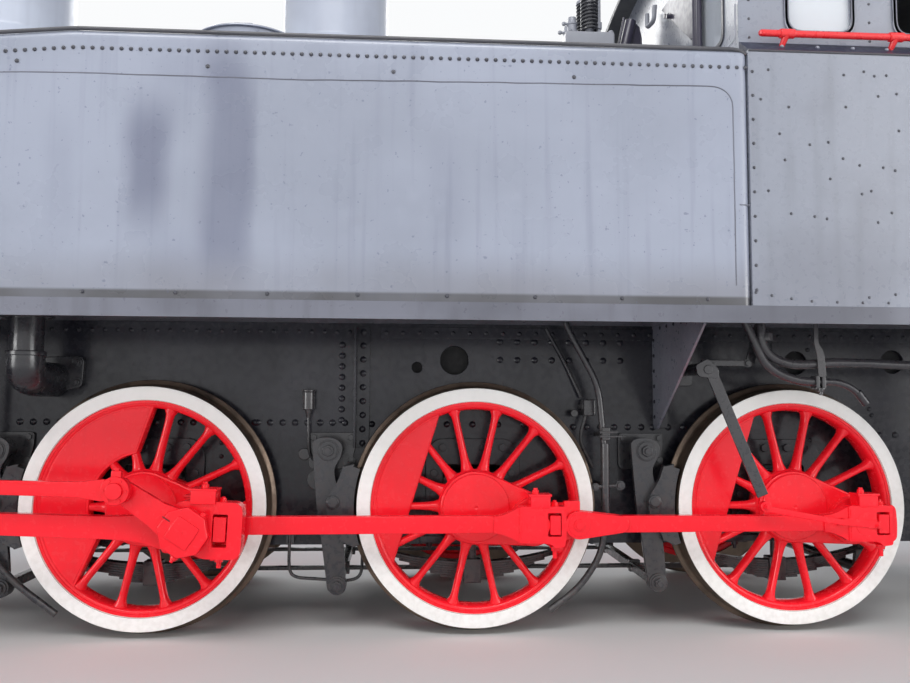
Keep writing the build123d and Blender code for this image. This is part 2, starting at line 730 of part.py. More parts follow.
with BuildPart() as valve_gear:
    for side in (LEFT, RIGHT):
        eccentric = eccentric_pin(side)
        link_foot = rods_meet((LINK_X, CHEST_Z), LINK_TAIL, eccentric, ECCENTRIC_ROD)
        cross_bar(side, link_foot, eccentric, 60.0, GEAR_IN + 8, GEAR_OUT - 8)
        cross_disc(side, *eccentric, 62.0, GEAR_IN, GEAR_OUT)
        cross_disc(side, *eccentric, 30.0, GEAR_OUT, GEAR_OUT + 14)
        cross_disc(side, *link_foot, 44.0, GEAR_IN, GEAR_OUT)
        link_curve(side)
        taper_bar(side, (LINK_X, CHEST_Z - LINK_HALF + 40), link_foot, LINK_W, 76.0, GEAR_IN, GEAR_OUT)
        cross_disc(side, LINK_X, CHEST_Z, TRUNNION_R, GEAR_IN - 14, GEAR_OUT + 40)
        side_block(side, LINK_X - 90, MOTION_X, GEAR_OUT + 10, GEAR_OUT + 40, CHEST_Z - 60, CHEST_Z + 60)
        cross_bar(
            side, (LINK_X - 50, CHEST_Z - 60), (SPINDLE_X, CHEST_Z + 42), RADIUS_ROD_H, RADIUS_ROD_IN,
            GEAR_IN - 2,
        )
        lever_top = (SPINDLE_X, CHEST_Z + 60)
        arm_pin = (GUDGEON_X[side], WHEEL_Z - ARM_DROP)
        lever_foot = rods_meet(lever_top, LEVER, arm_pin, UNION_LINK)
        taper_bar(side, lever_foot, lever_top, 52.0, 72.0, LEVER_IN, LEVER_IN + LEVER_T)
        cross_disc(side, *lever_top, 42.0, UNION_IN, BOSS_OUT)
        cross_disc(side, *lever_foot, 36.0, UNION_IN, BOSS_OUT)
        cross_bar(side, lever_foot, arm_pin, 44.0, UNION_IN, UNION_IN + UNION_T)
        cross_disc(side, *arm_pin, 34.0, UNION_IN - 8, UNION_IN + UNION_T + 6)
        long_cylinder(CYL_REAR - 30, SPINDLE_X, side * CHEST_Y, CHEST_Z, SPINDLE_R)
        side_block(
            side, SPINDLE_X - 40, SPINDLE_X + 40, CHEST_Y - GUIDE_HALF, LEVER_IN + 5,
            CHEST_Z - GUIDE_HALF, CHEST_Z + GUIDE_HALF,
        )
finish(valve_gear, "valve_gear")


# Frames

def horn_edge(x):
    """The corners of a frame plate's bottom edge round one axle's horn opening."""
    return [
        (x - HORN_W / 2, FRAME_BOTTOM), (x - HORN_W / 2, HORN_TOP),
        (x + HORN_W / 2, HORN_TOP), (x + HORN_W / 2, FRAME_BOTTOM),
    ]


FRAME_OUTLINE = [
    (-BEAM_IN, FRAME_TOP), (-BEAM_IN, FRAME_ENDS), (-4500, FRAME_ENDS), (-4000, FRAME_RAISED),
    (-2480, FRAME_RAISED), (-2050, FRAME_BOTTOM),
    *horn_edge(DRIVE_X), *horn_edge(SECOND_X), *horn_edge(THIRD_X),
    (2850, FRAME_BOTTOM), (3150, FRAME_RAISED), (BEAM_IN, FRAME_RAISED), (BEAM_IN, FRAME_TOP),
]
# Centre and radius of each round hole in the frame plates
FRAME_HOLES = [
    (DRIVE_X + 1505, WHEEL_Z + 732, 74), (DRIVE_X + 1311, WHEEL_Z + 694, 28),
    (DRIVE_X + 3331, WHEEL_Z + 732, 62), (DRIVE_X + 3868, WHEEL_Z + 742, 62),
]
# Place of each stretcher between the frame plates, and its bottom
STRETCHERS = [
    (-4900, 1000), (-3900, 800), (MOTION_X, 800), (-300, 760), (2950, 700), (3700, 800), (4900, 800),
]
STRETCHER_T = 20.0

with BuildPart() as frames:
    for side in (LEFT, RIGHT):
        cross_plate(side, FRAME_OUTLINE, FRAME_IN, FRAME_OUT)
        for hole_x, hole_z, hole_r in FRAME_HOLES:
            cross_disc(side, hole_x, hole_z, hole_r, FRAME_IN, FRAME_OUT, Mode.SUBTRACT)
    for stretcher_x, bottom in STRETCHERS:
        x0 = stretcher_x - STRETCHER_T / 2
        block(x0, x0 + STRETCHER_T, -FRAME_IN, FRAME_IN, bottom, STRETCHER_TOP)
finish(frames, "main_frames")

with BuildPart() as beams:
    for end in (-1, 1):
        low = BUFFER_Z - BEAM_H / 2
        block(end * BEAM_IN, end * BEAM_OUT, -BEAM_HALF_W, BEAM_HALF_W, low, low + BEAM_H)
finish(beams, "buffer_beams")

# Half outline of a buffer as (radius, distance out from the middle of the engine)
BUFFER_PROFILE = [
    (BUFFER_FLANGE_R, BEAM_OUT), (BUFFER_FLANGE_R, BEAM_OUT + 30),
    (BUFFER_CASE_R + 16, BEAM_OUT + 42), (BUFFER_CASE_R, BEAM_OUT + 330),
    (BUFFER_SHANK_R, BEAM_OUT + 330), (BUFFER_SHANK_R, BUFFER_FACE - 50),
    (BUFFER_HEAD_R, BUFFER_FACE - 34), (BUFFER_HEAD_R, BUFFER_FACE - 20), (BUFFER_HEAD_R / 2, BUFFER_FACE),
]
with BuildPart() as buffers:
    for end in (-1, 1):
        for side in (LEFT, RIGHT):
            turned_along(end, side * BUFFER_Y, BUFFER_Z, BUFFER_PROFILE)
finish(buffers, "buffers")

# Outline of the draw hook, out from the buffer beam and up from the buffers' centre
HOOK_OUTLINE = [
    (24, -32), (120, -40), (200, -62), (262, -52), (296, -10), (300, 50), (282, 84), (252, 80), (246, 20),
    (216, -4), (184, 6), (160, 34), (24, 34),
]
HOOK_HALF_T = 24.0
DRAW_PLATE = 130.0
SHACKLE_OUT = BEAM_OUT + 130.0
SHACKLE_DROP = 410.0
SHACKLE_IN = HOOK_HALF_T + 10.0
SHACKLE_W = 34.0
SHACKLE_PIN_HALF = 62.0

with BuildPart() as draw_gear:
    for end in (-1, 1):
        block(
            end * BEAM_OUT, end * (BEAM_OUT + HOOK_HALF_T), -DRAW_PLATE, DRAW_PLATE,
            BUFFER_Z - DRAW_PLATE, BUFFER_Z + DRAW_PLATE,
        )
        hook = [(end * (BEAM_OUT + out), BUFFER_Z + up) for out, up in HOOK_OUTLINE]
        cross_plate(LEFT, hook, -HOOK_HALF_T, HOOK_HALF_T)
        upper = (end * SHACKLE_OUT, BUFFER_Z)
        lower = (end * SHACKLE_OUT, BUFFER_Z - SHACKLE_DROP)
        for side in (LEFT, RIGHT):
            cross_bar(side, upper, lower, SHACKLE_W, SHACKLE_IN, SHACKLE_IN + HOOK_HALF_T)
        cross_disc(LEFT, *upper, 20, -SHACKLE_PIN_HALF, SHACKLE_PIN_HALF)
        cross_disc(LEFT, *lower, 24, -SHACKLE_PIN_HALF, SHACKLE_PIN_HALF)
finish(draw_gear, "draw_gear")


# Footplate with its valances, angle strips, brackets and steps

STEP_PLACES = [-4800.0, (DOORWAY_X0 + DOORWAY_X1) / 2]
STEP_TREADS = [520.0, 850.0, 1180.0]
STEP_HALF = 210.0
STEP_IN = 1220.0
STEP_OUT = SIDE_Y - 20.0
STEP_T = 22.0
STEP_SIDE_T = 12.0
GUSSET_X = DRIVE_X + 2560.0
GUSSET_LOW = WHEEL_Z + 380.0
# Corners of the gusset under the footplate, as the distance from the centre line and the height
GUSSET_OUTLINE = [
    (FRAME_OUT, FRAME_TOP), (1380, FRAME_TOP), (1380, FRAME_TOP - 60), (FRAME_OUT + 60, GUSSET_LOW),
    (FRAME_OUT, GUSSET_LOW),
]

with BuildPart() as footplate:
    for side in (LEFT, RIGHT):
        side_block(side, -BEAM_IN, BEAM_IN, FRAME_IN, SIDE_Y, FRAME_TOP, FOOT_TOP)
        side_block(side, -BEAM_IN, BEAM_IN, SIDE_Y - VALANCE_T, SIDE_Y, FOOT_TOP - VALANCE, FOOT_TOP)
        for step_x in STEP_PLACES:
            for tread_z in STEP_TREADS:
                side_block(
                    side, step_x - STEP_HALF, step_x + STEP_HALF, STEP_IN, STEP_OUT, tread_z, tread_z + STEP_T,
                )
            for edge in (-1, 1):
                near = step_x + edge * STEP_HALF
                side_block(
                    side, near, near + edge * STEP_SIDE_T, STEP_IN, STEP_OUT, STEP_TREADS[0] - 40, FRAME_TOP,
                )
        with BuildSketch(across_plane(GUSSET_X - STEP_SIDE_T / 2)) as gusset:
            with BuildLine():
                Polyline(*[(side * out, z) for out, z in GUSSET_OUTLINE], close=True)
            make_face()
        extrude(gusset.sketch, amount=STEP_SIDE_T)
finish(footplate, "footplate")


# Side tanks with their fillers

def tank_top_at(x):
    """The height of the tank's top, which falls towards the front from the kink."""
    return TANK_TOP - max(0.0, TANK_KINK - x) * tan(radians(TANK_SLOPE))


with BuildPart() as tanks:
    for side in (LEFT, RIGHT):
        cross_plate(
            side,
            [
                (TANK_FRONT, FOOT_TOP), (TANK_REAR, FOOT_TOP), (TANK_REAR, TANK_TOP),
                (TANK_KINK, TANK_TOP), (TANK_FRONT, tank_top_at(TANK_FRONT)),
            ],
            TANK_IN, SIDE_Y,
        )
    outer_edges = [
        edge for edge in tanks.edges()
        if abs(abs(edge.center().Y) - SIDE_Y) < 1 and edge.center().Z > FOOT_TOP + 100
    ]
    fillet(outer_edges, TANK_EDGE_R)
    for side in (LEFT, RIGHT):
        upright(FILLER_X, side * FILLER_Y, TANK_TOP, TANK_TOP + FILLER_H, FILLER_R)
        upright(
            FILLER_X, side * FILLER_Y, TANK_TOP - FILLER_DEEP, TANK_TOP + FILLER_H, FILLER_R - FILLER_WALL,
            Mode.SUBTRACT,
        )
finish(tanks, "side_tanks")

for side in (LEFT, RIGHT):
    with BuildPart() as lid:
        lid_z = TANK_TOP + FILLER_H
        top_z = lid_z + LID_T
        hinge_y = FILLER_Y - FILLER_R
        grip_y = FILLER_Y + FILLER_R - 115
        upright(FILLER_X, side * FILLER_Y, lid_z, top_z, FILLER_R + LID_LAP)
        side_block(side, FILLER_X - 60, FILLER_X + 60, hinge_y - 50, hinge_y + 40, lid_z, top_z)
        cross_disc(side, FILLER_X, top_z + 10, 16, grip_y, grip_y + 80)
        side_block(side, FILLER_X - 12, FILLER_X + 12, grip_y, grip_y + 80, top_z, top_z + 20)
    finish(lid, f"tank_lid_{SIDE_NAME[side]}")


# Boiler, smokebox and what stands on them

with BuildPart() as boiler:
    long_cylinder(SMOKEBOX_REAR, BARREL_REAR, 0, BOILER_Z, BOILER_R)
    for band in range(BANDS):
        band_x = SMOKEBOX_REAR + BAND_FIRST + band * BAND_PITCH
        long_cylinder(band_x, band_x + BAND_W, 0, BOILER_Z, BOILER_R + BAND_T)
    with BuildSketch(across_plane(BARREL_REAR)) as casing:
        with BuildLine():
            top = CenterArc((0, BOILER_Z), FIREBOX_R, 0, 180)
            Polyline(
                top @ 1, (-FIREBOX_R, WAIST_TOP), (-FIREBOX_HALF_W, WAIST_LOW),
                (-FIREBOX_HALF_W, FIREBOX_BOTTOM), (FIREBOX_HALF_W, FIREBOX_BOTTOM),
                (FIREBOX_HALF_W, WAIST_LOW), (FIREBOX_R, WAIST_TOP), top @ 0,
            )
        make_face()
    extrude(casing.sketch, amount=FIREBOX_REAR - BARREL_REAR)
finish(boiler, "boiler")

DOOR_GAP = 2.0
DOOR_DISH = 110.0
HINGE_X = SMOKEBOX_FRONT - 55.0
HINGE_Y = DOOR_R + 30.0
HINGE_R = 16.0
HINGE_HALF = 300.0
STRAP_PLACE = 230.0

with BuildPart() as smokebox:
    long_cylinder(SMOKEBOX_FRONT, SMOKEBOX_REAR, 0, BOILER_Z, SMOKEBOX_R)
    block(CYL_FRONT + 60, CYL_REAR - 100, -FRAME_IN, FRAME_IN, STRETCHER_TOP, BOILER_Z - 300)
    long_cylinder(
        SMOKEBOX_FRONT + SMOKEBOX_WALL, SMOKEBOX_REAR - 60, 0, BOILER_Z, SMOKEBOX_R - SMOKEBOX_WALL,
        Mode.SUBTRACT,
    )
    long_cylinder(SMOKEBOX_FRONT, SMOKEBOX_FRONT + 40, 0, BOILER_Z, DOOR_HOLE_R, Mode.SUBTRACT)
    for lug_z in (BOILER_Z - HINGE_HALF + 10, BOILER_Z + HINGE_HALF - 40):
        block(HINGE_X - 22, SMOKEBOX_FRONT, -HINGE_Y - 24, -HINGE_Y + 24, lug_z, lug_z + 30)
    upright(
        HINGE_X, -HINGE_Y, BOILER_Z - HINGE_HALF, BOILER_Z + HINGE_HALF, HINGE_R + SLIDE_FIT, Mode.SUBTRACT,
    )
finish(smokebox, "smokebox")

with BuildPart() as smokebox_door:
    with BuildSketch(Plane(origin=(0, 0, BOILER_Z), x_dir=(1, 0, 0), z_dir=(0, 0, 1))) as dish:
        with BuildLine():
            rim_x = SMOKEBOX_FRONT - DOOR_GAP
            Line((rim_x, 0), (rim_x, DOOR_R))
            Line((rim_x, DOOR_R), (rim_x - 22, DOOR_R))
            Polyline(
                (rim_x - 22, DOOR_R), (rim_x - 48, DOOR_R * 0.84), (rim_x - 82, DOOR_R * 0.55),
                (rim_x - 103, DOOR_R * 0.26), (rim_x - DOOR_DISH, 0), (rim_x, 0),
            )
        make_face()
    revolve(dish.sketch, axis=Axis((0, 0, BOILER_Z), (1, 0, 0)))
    for strap_z in (BOILER_Z - STRAP_PLACE, BOILER_Z + STRAP_PLACE):
        block(SMOKEBOX_FRONT - 66, SMOKEBOX_FRONT - 44, -HINGE_Y, -300, strap_z - 28, strap_z + 28)
    upright(HINGE_X, -HINGE_Y, BOILER_Z - HINGE_HALF, BOILER_Z + HINGE_HALF, HINGE_R)
    long_cylinder(SMOKEBOX_FRONT - DOOR_DISH - 60, SMOKEBOX_FRONT - 60, 0, BOILER_Z, 34)
finish(smokebox_door, "smokebox_door")

CHIMNEY_PROFILE = [
    (330, BOILER_Z + SMOKEBOX_R - 90), (330, BOILER_Z + SMOKEBOX_R + 10), (230, BOILER_Z + SMOKEBOX_R + 70),
    (205, BOILER_Z + SMOKEBOX_R + 160), (225, CHIMNEY_TOP - 90), (270, CHIMNEY_TOP - 70), (280, CHIMNEY_TOP),
]
DOME_PROFILE = [
    (DOME_R + 50, BOILER_Z + BOILER_R - 90), (DOME_R + 50, BOILER_Z + BOILER_R - 10),
    (DOME_R, BOILER_Z + BOILER_R + 70), (DOME_R, DOME_TOP - DOME_ROUND),
    *[
        (DOME_R - DOME_ROUND * (1 - cos(radians(turn))), DOME_TOP - DOME_ROUND * (1 - sin(radians(turn))))
        for turn in (30, 60, 90)
    ],
]
with BuildPart() as chimney:
    turned(CHIMNEY_X, 0, CHIMNEY_PROFILE)
    upright(CHIMNEY_X, 0, BOILER_Z + SMOKEBOX_R - 200, CHIMNEY_TOP + 1, 180, Mode.SUBTRACT)
    long_cylinder(SMOKEBOX_FRONT, SMOKEBOX_REAR, 0, BOILER_Z, SMOKEBOX_R, Mode.SUBTRACT)
finish(chimney, "chimney")

with BuildPart() as domes:
    for dome_x in (FRONT_DOME_X, REAR_DOME_X):
        turned(dome_x, 0, DOME_PROFILE)
    long_cylinder(SMOKEBOX_REAR, BARREL_REAR, 0, BOILER_Z, BOILER_R + BAND_T, Mode.SUBTRACT)
finish(domes, "domes")

with BuildPart() as valves:
    crown_z = BOILER_Z + FIREBOX_R
    turned(VALVES_X, 0, [(130, crown_z - 40), (130, crown_z + 40), (90, crown_z + 60)])
    for side in (LEFT, RIGHT):
        upright(VALVES_X, side * VALVE_Y, crown_z + 30, crown_z + 330, VALVE_R)
    long_cylinder(BARREL_REAR - 1, FIREBOX_REAR, 0, BOILER_Z, FIREBOX_R, Mode.SUBTRACT)
finish(valves, "safety_valves")


# Cab

CAB_UP_Y = SIDE_Y - CAB_INSET
GLASS_IN = CAB_UP_Y - 18.0
WINDOW_SETBACK = 235.0
FIRST_WINDOW = 295.0
WINDOW_POST = 220.0
SECOND_WINDOW = 480.0
first_x = CAB_FRONT + WINDOW_SETBACK
second_x = first_x + FIRST_WINDOW + WINDOW_POST
# Front and rear edge of each side window
SIDE_WINDOWS = [(first_x, first_x + FIRST_WINDOW), (second_x, second_x + SECOND_WINDOW)]
# Section of a cab side, as the distance from the centre line and the height
WALL_SECTION = [
    (SIDE_Y, FOOT_TOP), (SIDE_Y, CAB_LEDGE + CAB_WALL), (CAB_UP_Y, CAB_LEDGE + CAB_WALL),
    (CAB_UP_Y, CAB_EAVES), (CAB_UP_Y - CAB_WALL, CAB_EAVES), (CAB_UP_Y - CAB_WALL, CAB_LEDGE),
    (SIDE_Y - CAB_WALL, CAB_LEDGE), (SIDE_Y - CAB_WALL, FOOT_TOP),
]


def window_layer(side, edges, grow, inner, outer, mode=Mode.ADD):
    """The round-cornered outline of a side window as a layer, grown outwards all round."""
    x0, x1 = edges
    with BuildSketch(face_plane(side, inner, (x0 + x1) / 2, WINDOW_SILL + WINDOW_H / 2)) as pane:
        RectangleRounded(x1 - x0 + 2 * grow, WINDOW_H + 2 * grow, WINDOW_R + max(grow, 0))
    raise_layer(pane, side, inner, outer, mode)


with BuildPart() as cab_sides:
    for side in (LEFT, RIGHT):
        with BuildSketch(across_plane(CAB_FRONT)) as wall:
            with BuildLine():
                Polyline(*[(side * out, z) for out, z in WALL_SECTION], close=True)
            make_face()
        extrude(wall.sketch, amount=CAB_REAR - CAB_FRONT)
        for edges in SIDE_WINDOWS:
            window_layer(side, edges, SURROUND_W, CAB_UP_Y, CAB_UP_Y + SURROUND_T)
            window_layer(side, edges, 0, CAB_UP_Y - 2 * CAB_WALL, SIDE_Y, Mode.SUBTRACT)
        side_block(
            side, DOORWAY_X0, DOORWAY_X1, CAB_UP_Y - 2 * CAB_WALL, SIDE_Y + 10, FOOT_TOP - 1, DOORWAY_TOP,
            Mode.SUBTRACT,
        )
finish(cab_sides, "cab_sides")

for side in (LEFT, RIGHT):
    with BuildPart() as cab_door:
        side_block(side, DOORWAY_X0 + 6, DOORWAY_X1 - 6, SIDE_Y - CAB_WALL, SIDE_Y, FLOOR_TOP + 8, DOOR_TOP)
    finish(cab_door, f"cab_door_{SIDE_NAME[side]}")


def cab_bulkhead(x0, openings):
    """A plate across the cab between its sides, with its top curved under the roof."""
    inner = CAB_UP_Y - CAB_WALL
    lower = SIDE_Y - CAB_WALL
    with BuildSketch(across_plane(x0)) as plate:
        with BuildLine():
            Polyline(
                (inner, CAB_EAVES), (inner, CAB_LEDGE), (lower, CAB_LEDGE), (lower, FOOT_TOP),
                (-lower, FOOT_TOP), (-lower, CAB_LEDGE), (-inner, CAB_LEDGE), (-inner, CAB_EAVES),
            )
            ThreePointArc((-inner, CAB_EAVES), (0, CAB_EAVES + ROOF_RISE), (inner, CAB_EAVES))
        make_face()
        for y, z, width, height in openings:
            for side in (LEFT, RIGHT):
                with Locations((side * y, z)):
                    RectangleRounded(width, height, WINDOW_R, mode=Mode.SUBTRACT)
    extrude(plate.sketch, amount=CAB_WALL)


# Centre of each end window as (y, z), its width and its height
FRONT_WINDOW = (1000.0, 3080.0, 330.0, 420.0)
REAR_WINDOW = (820.0, 3120.0, 420.0, 360.0)
COAL_HOLE_HALF = 330.0
COAL_HOLE_H = 600.0
THROAT_FIT = 2.0

with BuildPart() as cab_front:
    cab_bulkhead(CAB_FRONT, [FRONT_WINDOW])
    with BuildSketch(across_plane(CAB_FRONT - 5)) as throat:
        with Locations((0, BOILER_Z)):
            Circle(FIREBOX_R + THROAT_FIT)
        with Locations((0, (BOILER_Z + FOOT_TOP) / 2 - 5)):
            Rectangle(2 * (FIREBOX_R + THROAT_FIT), BOILER_Z - FOOT_TOP + 10)
    extrude(throat.sketch, amount=CAB_WALL + 10, mode=Mode.SUBTRACT)
finish(cab_front, "cab_front")

with BuildPart() as cab_rear:
    cab_bulkhead(CAB_REAR - CAB_WALL, [REAR_WINDOW])
    block(
        CAB_REAR - CAB_WALL - 5, CAB_REAR + 5, -COAL_HOLE_HALF, COAL_HOLE_HALF,
        FOOT_TOP + BUNKER_FLOOR, FOOT_TOP + BUNKER_FLOOR + COAL_HOLE_H, Mode.SUBTRACT,
    )
finish(cab_rear, "cab_rear")

with BuildPart() as cab_roof:
    half = SIDE_Y - ROOF_INSET
    inner = CAB_UP_Y - CAB_WALL
    edge_z = CAB_EAVES + ROOF_T
    with BuildSketch(across_plane(CAB_FRONT - ROOF_OVERHANG)) as shell:
        with BuildLine():
            under = ThreePointArc((-inner, CAB_EAVES), (0, CAB_EAVES + ROOF_RISE), (inner, CAB_EAVES))
            Polyline(under @ 1, (half, CAB_EAVES), (half, edge_z))
            over = ThreePointArc((half, edge_z), (0, edge_z + ROOF_RISE), (-half, edge_z))
            Polyline(over @ 1, (-half, CAB_EAVES), under @ 0)
        make_face()
    extrude(shell.sketch, amount=CAB_REAR - CAB_FRONT + 2 * ROOF_OVERHANG)
finish(cab_roof, "cab_roof")

with BuildPart() as cab_floor:
    half = SIDE_Y - CAB_WALL
    block(FIREBOX_REAR + 4, CAB_REAR - CAB_WALL, -half, half, FOOT_TOP, FLOOR_TOP)
finish(cab_floor, "cab_floor")

with BuildPart() as cab_glass:
    for side in (LEFT, RIGHT):
        window_layer(side, SIDE_WINDOWS[0], -GLASS_FIT / 2, GLASS_IN, GLASS_IN + GLASS_T)
    for x0, (y, z, width, height) in ((CAB_FRONT + 12, FRONT_WINDOW), (CAB_REAR - 18, REAR_WINDOW)):
        with BuildSketch(across_plane(x0)) as panes:
            for side in (LEFT, RIGHT):
                with Locations((side * y, z)):
                    RectangleRounded(width - GLASS_FIT, height - GLASS_FIT, WINDOW_R)
        extrude(panes.sketch, amount=GLASS_T)
finish(cab_glass, "cab_glass")

FIRE_DOOR_Z = FLOOR_TOP + 404.0
FIRE_DOOR_R = 240.0
GAUGE_Z = FLOOR_TOP + 1164.0
GAUGE_PITCH = 240.0
GAUGE_R = 75.0
REGULATOR_X = FIREBOX_REAR + 110.0

with BuildPart() as fittings:
    long_cylinder(FIREBOX_REAR, FIREBOX_REAR + 40, 0, FIRE_DOOR_Z, FIRE_DOOR_R)
    block(FIREBOX_REAR, FIREBOX_REAR + 90, -120, 120, GAUGE_Z + 100, GAUGE_Z + 200)
    for place in (-1, 0, 1):
        long_cylinder(FIREBOX_REAR, FIREBOX_REAR + 60, place * GAUGE_PITCH, GAUGE_Z, GAUGE_R)
    cross_bar(LEFT, (REGULATOR_X, GAUGE_Z - 140), (REGULATOR_X, GAUGE_Z + 200), 34, -18, 18)
    block(FIREBOX_REAR, REGULATOR_X + 10, -30, 30, GAUGE_Z - 170, GAUGE_Z - 110)
finish(fittings, "backhead_fittings")

REVERSER_Y = -1210.0
REVERSER_H = 625.0
REVERSER_Z = FLOOR_TOP + REVERSER_H
REVERSER_SETBACK = 130.0
REVERSER_LENGTH = 550.0
REVERSER_FRONT = CAB_FRONT + REVERSER_SETBACK
REVERSER_REAR = REVERSER_FRONT + REVERSER_LENGTH
REVERSER_WHEEL_R = 210.0
REVERSER_WHEEL_T = 30.0

with BuildPart() as reverser:
    block(REVERSER_FRONT, REVERSER_REAR, REVERSER_Y - 80, REVERSER_Y + 80, REVERSER_Z - 65, REVERSER_Z + 65)
    block(
        REVERSER_FRONT + 180, REVERSER_FRONT + 280, REVERSER_Y - 50, REVERSER_Y + 50, FLOOR_TOP,
        REVERSER_Z - 65,
    )
    long_cylinder(REVERSER_REAR, REVERSER_REAR + REVERSER_WHEEL_T, REVERSER_Y, REVERSER_Z, REVERSER_WHEEL_R)
finish(reverser, "reverser")

SEAT_CLEAR = 200.0
SEAT_X = REVERSER_REAR + REVERSER_WHEEL_T + SEAT_CLEAR
SEAT_DEEP = 400.0
SEAT_W = 470.0
SEAT_GAP = 20.0
SEAT_OUT = SIDE_Y - CAB_WALL - SEAT_GAP
SEAT_IN = SEAT_OUT - SEAT_W
SEAT_H = 480.0
SEAT_T = 60.0
SEAT_LEG = 70.0
SEAT_INSET = 40.0

with BuildPart() as seats:
    for side in (LEFT, RIGHT):
        seat_z = FLOOR_TOP + SEAT_H
        side_block(side, SEAT_X, SEAT_X + SEAT_DEEP, SEAT_IN, SEAT_OUT, seat_z, seat_z + SEAT_T)
        side_block(
            side, SEAT_X + SEAT_INSET, SEAT_X + SEAT_DEEP - SEAT_INSET, SEAT_OUT - SEAT_LEG, SEAT_OUT,
            FLOOR_TOP, seat_z,
        )
finish(seats, "cab_seats")

with BuildPart() as bunker:
    inside = BUNKER_HALF_W - BUNKER_WALL
    block(CAB_REAR, BUNKER_REAR, -BUNKER_HALF_W, BUNKER_HALF_W, FOOT_TOP, BUNKER_TOP)
    block(
        CAB_REAR - 5, BUNKER_REAR - BUNKER_WALL, -inside, inside, FOOT_TOP + BUNKER_FLOOR, BUNKER_TOP + 5,
        Mode.SUBTRACT,
    )
finish(bunker, "coal_bunker")


# Under the frames

BOX_HALF_W = 130.0
BOX_IN = FRAME_IN - 30.0
BOX_OUT = FRAME_OUT + 30.0
BOX_HALF_H = 150.0
BUCKLE_HALF_W = 60.0
SPRING_IN = FRAME_IN - 20.0
SPRING_OUT = FRAME_OUT + 20.0
SPRING_Z = 300.0
SPRING_HALF = 480.0
SPRING_RISE = 85.0
LEAF_T = 17.0
# Quarters of the half length that each leaf reaches, from the top leaf down
LEAF_QUARTERS = [4, 4, 3, 2]

with BuildPart() as springs:
    for axle_x in (DRIVE_X, SECOND_X, THIRD_X):
        for side in (LEFT, RIGHT):
            box_x0, box_x1 = axle_x - BOX_HALF_W, axle_x + BOX_HALF_W
            side_block(side, box_x0, box_x1, BOX_IN, BOX_OUT, WHEEL_Z - BOX_HALF_H, WHEEL_Z + BOX_HALF_H)
            cross_disc(side, axle_x, WHEEL_Z, AXLE_R + SLIDE_FIT, BOX_IN, BOX_OUT, Mode.SUBTRACT)
            side_block(
                side, axle_x - BUCKLE_HALF_W, axle_x + BUCKLE_HALF_W, SPRING_IN, SPRING_OUT,
                SPRING_Z - 12, WHEEL_Z - BOX_HALF_H,
            )
            for leaf, quarters in enumerate(LEAF_QUARTERS):
                steps = range(-quarters, quarters + 1)
                curve = [(step / 4 * SPRING_HALF, (step / 4) ** 2 * SPRING_RISE) for step in steps]
                upper = placed(axle_x, SPRING_Z - leaf * LEAF_T, curve)
                lower = [(x, z - LEAF_T) for x, z in reversed(upper)]
                cross_plate(side, upper + lower, SPRING_IN, SPRING_OUT)
    for axle_x in (LEAD_X, TRAIL_X):
        for side in (LEFT, RIGHT):
            box_x0, box_x1 = axle_x - BOX_HALF_W, axle_x + BOX_HALF_W
            side_block(side, box_x0, box_x1, BOX_IN, BOX_OUT, CARRIER_Z - BOX_HALF_H + 30, FRAME_RAISED)
            cross_disc(side, axle_x, CARRIER_Z, AXLE_R + SLIDE_FIT, BOX_IN, BOX_OUT, Mode.SUBTRACT)
finish(springs, "axleboxes_and_springs")

ASHPAN_HALF_W = 440.0
ASHPAN_TOP = FIREBOX_BOTTOM - 5.0
ASHPAN_LOW = 440.0

with BuildPart() as ashpan:
    cross_plate(
        LEFT, [(640, ASHPAN_TOP), (1880, ASHPAN_TOP), (1700, ASHPAN_LOW), (860, ASHPAN_LOW)],
        -ASHPAN_HALF_W, ASHPAN_HALF_W,
    )
finish(ashpan, "ashpan")

HANGER_IN = TYRE_IN + 54.0
HANGER_T = 28.0
HANGER_OUT = HANGER_IN + HANGER_T
SHOE_IN = TYRE_IN + FLANGE_THICK + 6.0
SHOE_OUT = TYRE_OUT - 20.0
SHOE_GAP = 8.0
SHOE_T = 62.0
SHOE_HALF = 17.0
BRAKE_BAR_W = 52.0
# From the axle's centre: the pins and the brake bar, the hanger's outline and the shoe holder's
HANGER_PIN = (-728, 272)
SHOE_PIN = (-700, 22)
BRAKE_BAR = (-676, -384)
HANGER_OUTLINE = [
    (-808, 318), (-790, 100), (-761, -128), (-732, -338), (-722, -418), (-638, -428), (-634, -328),
    (-666, -28), (-676, 82), (-704, 180), (-662, 242), (-656, 306), (-700, 340), (-778, 336),
]
SHOE_HOLDER = [
    (-648, 208), (-612, 208), (-632, 110), (-640, 0), (-632, -110), (-610, -180), (-650, -180), (-668, -133),
    (-732, -28), (-728, 50), (-678, 118),
]

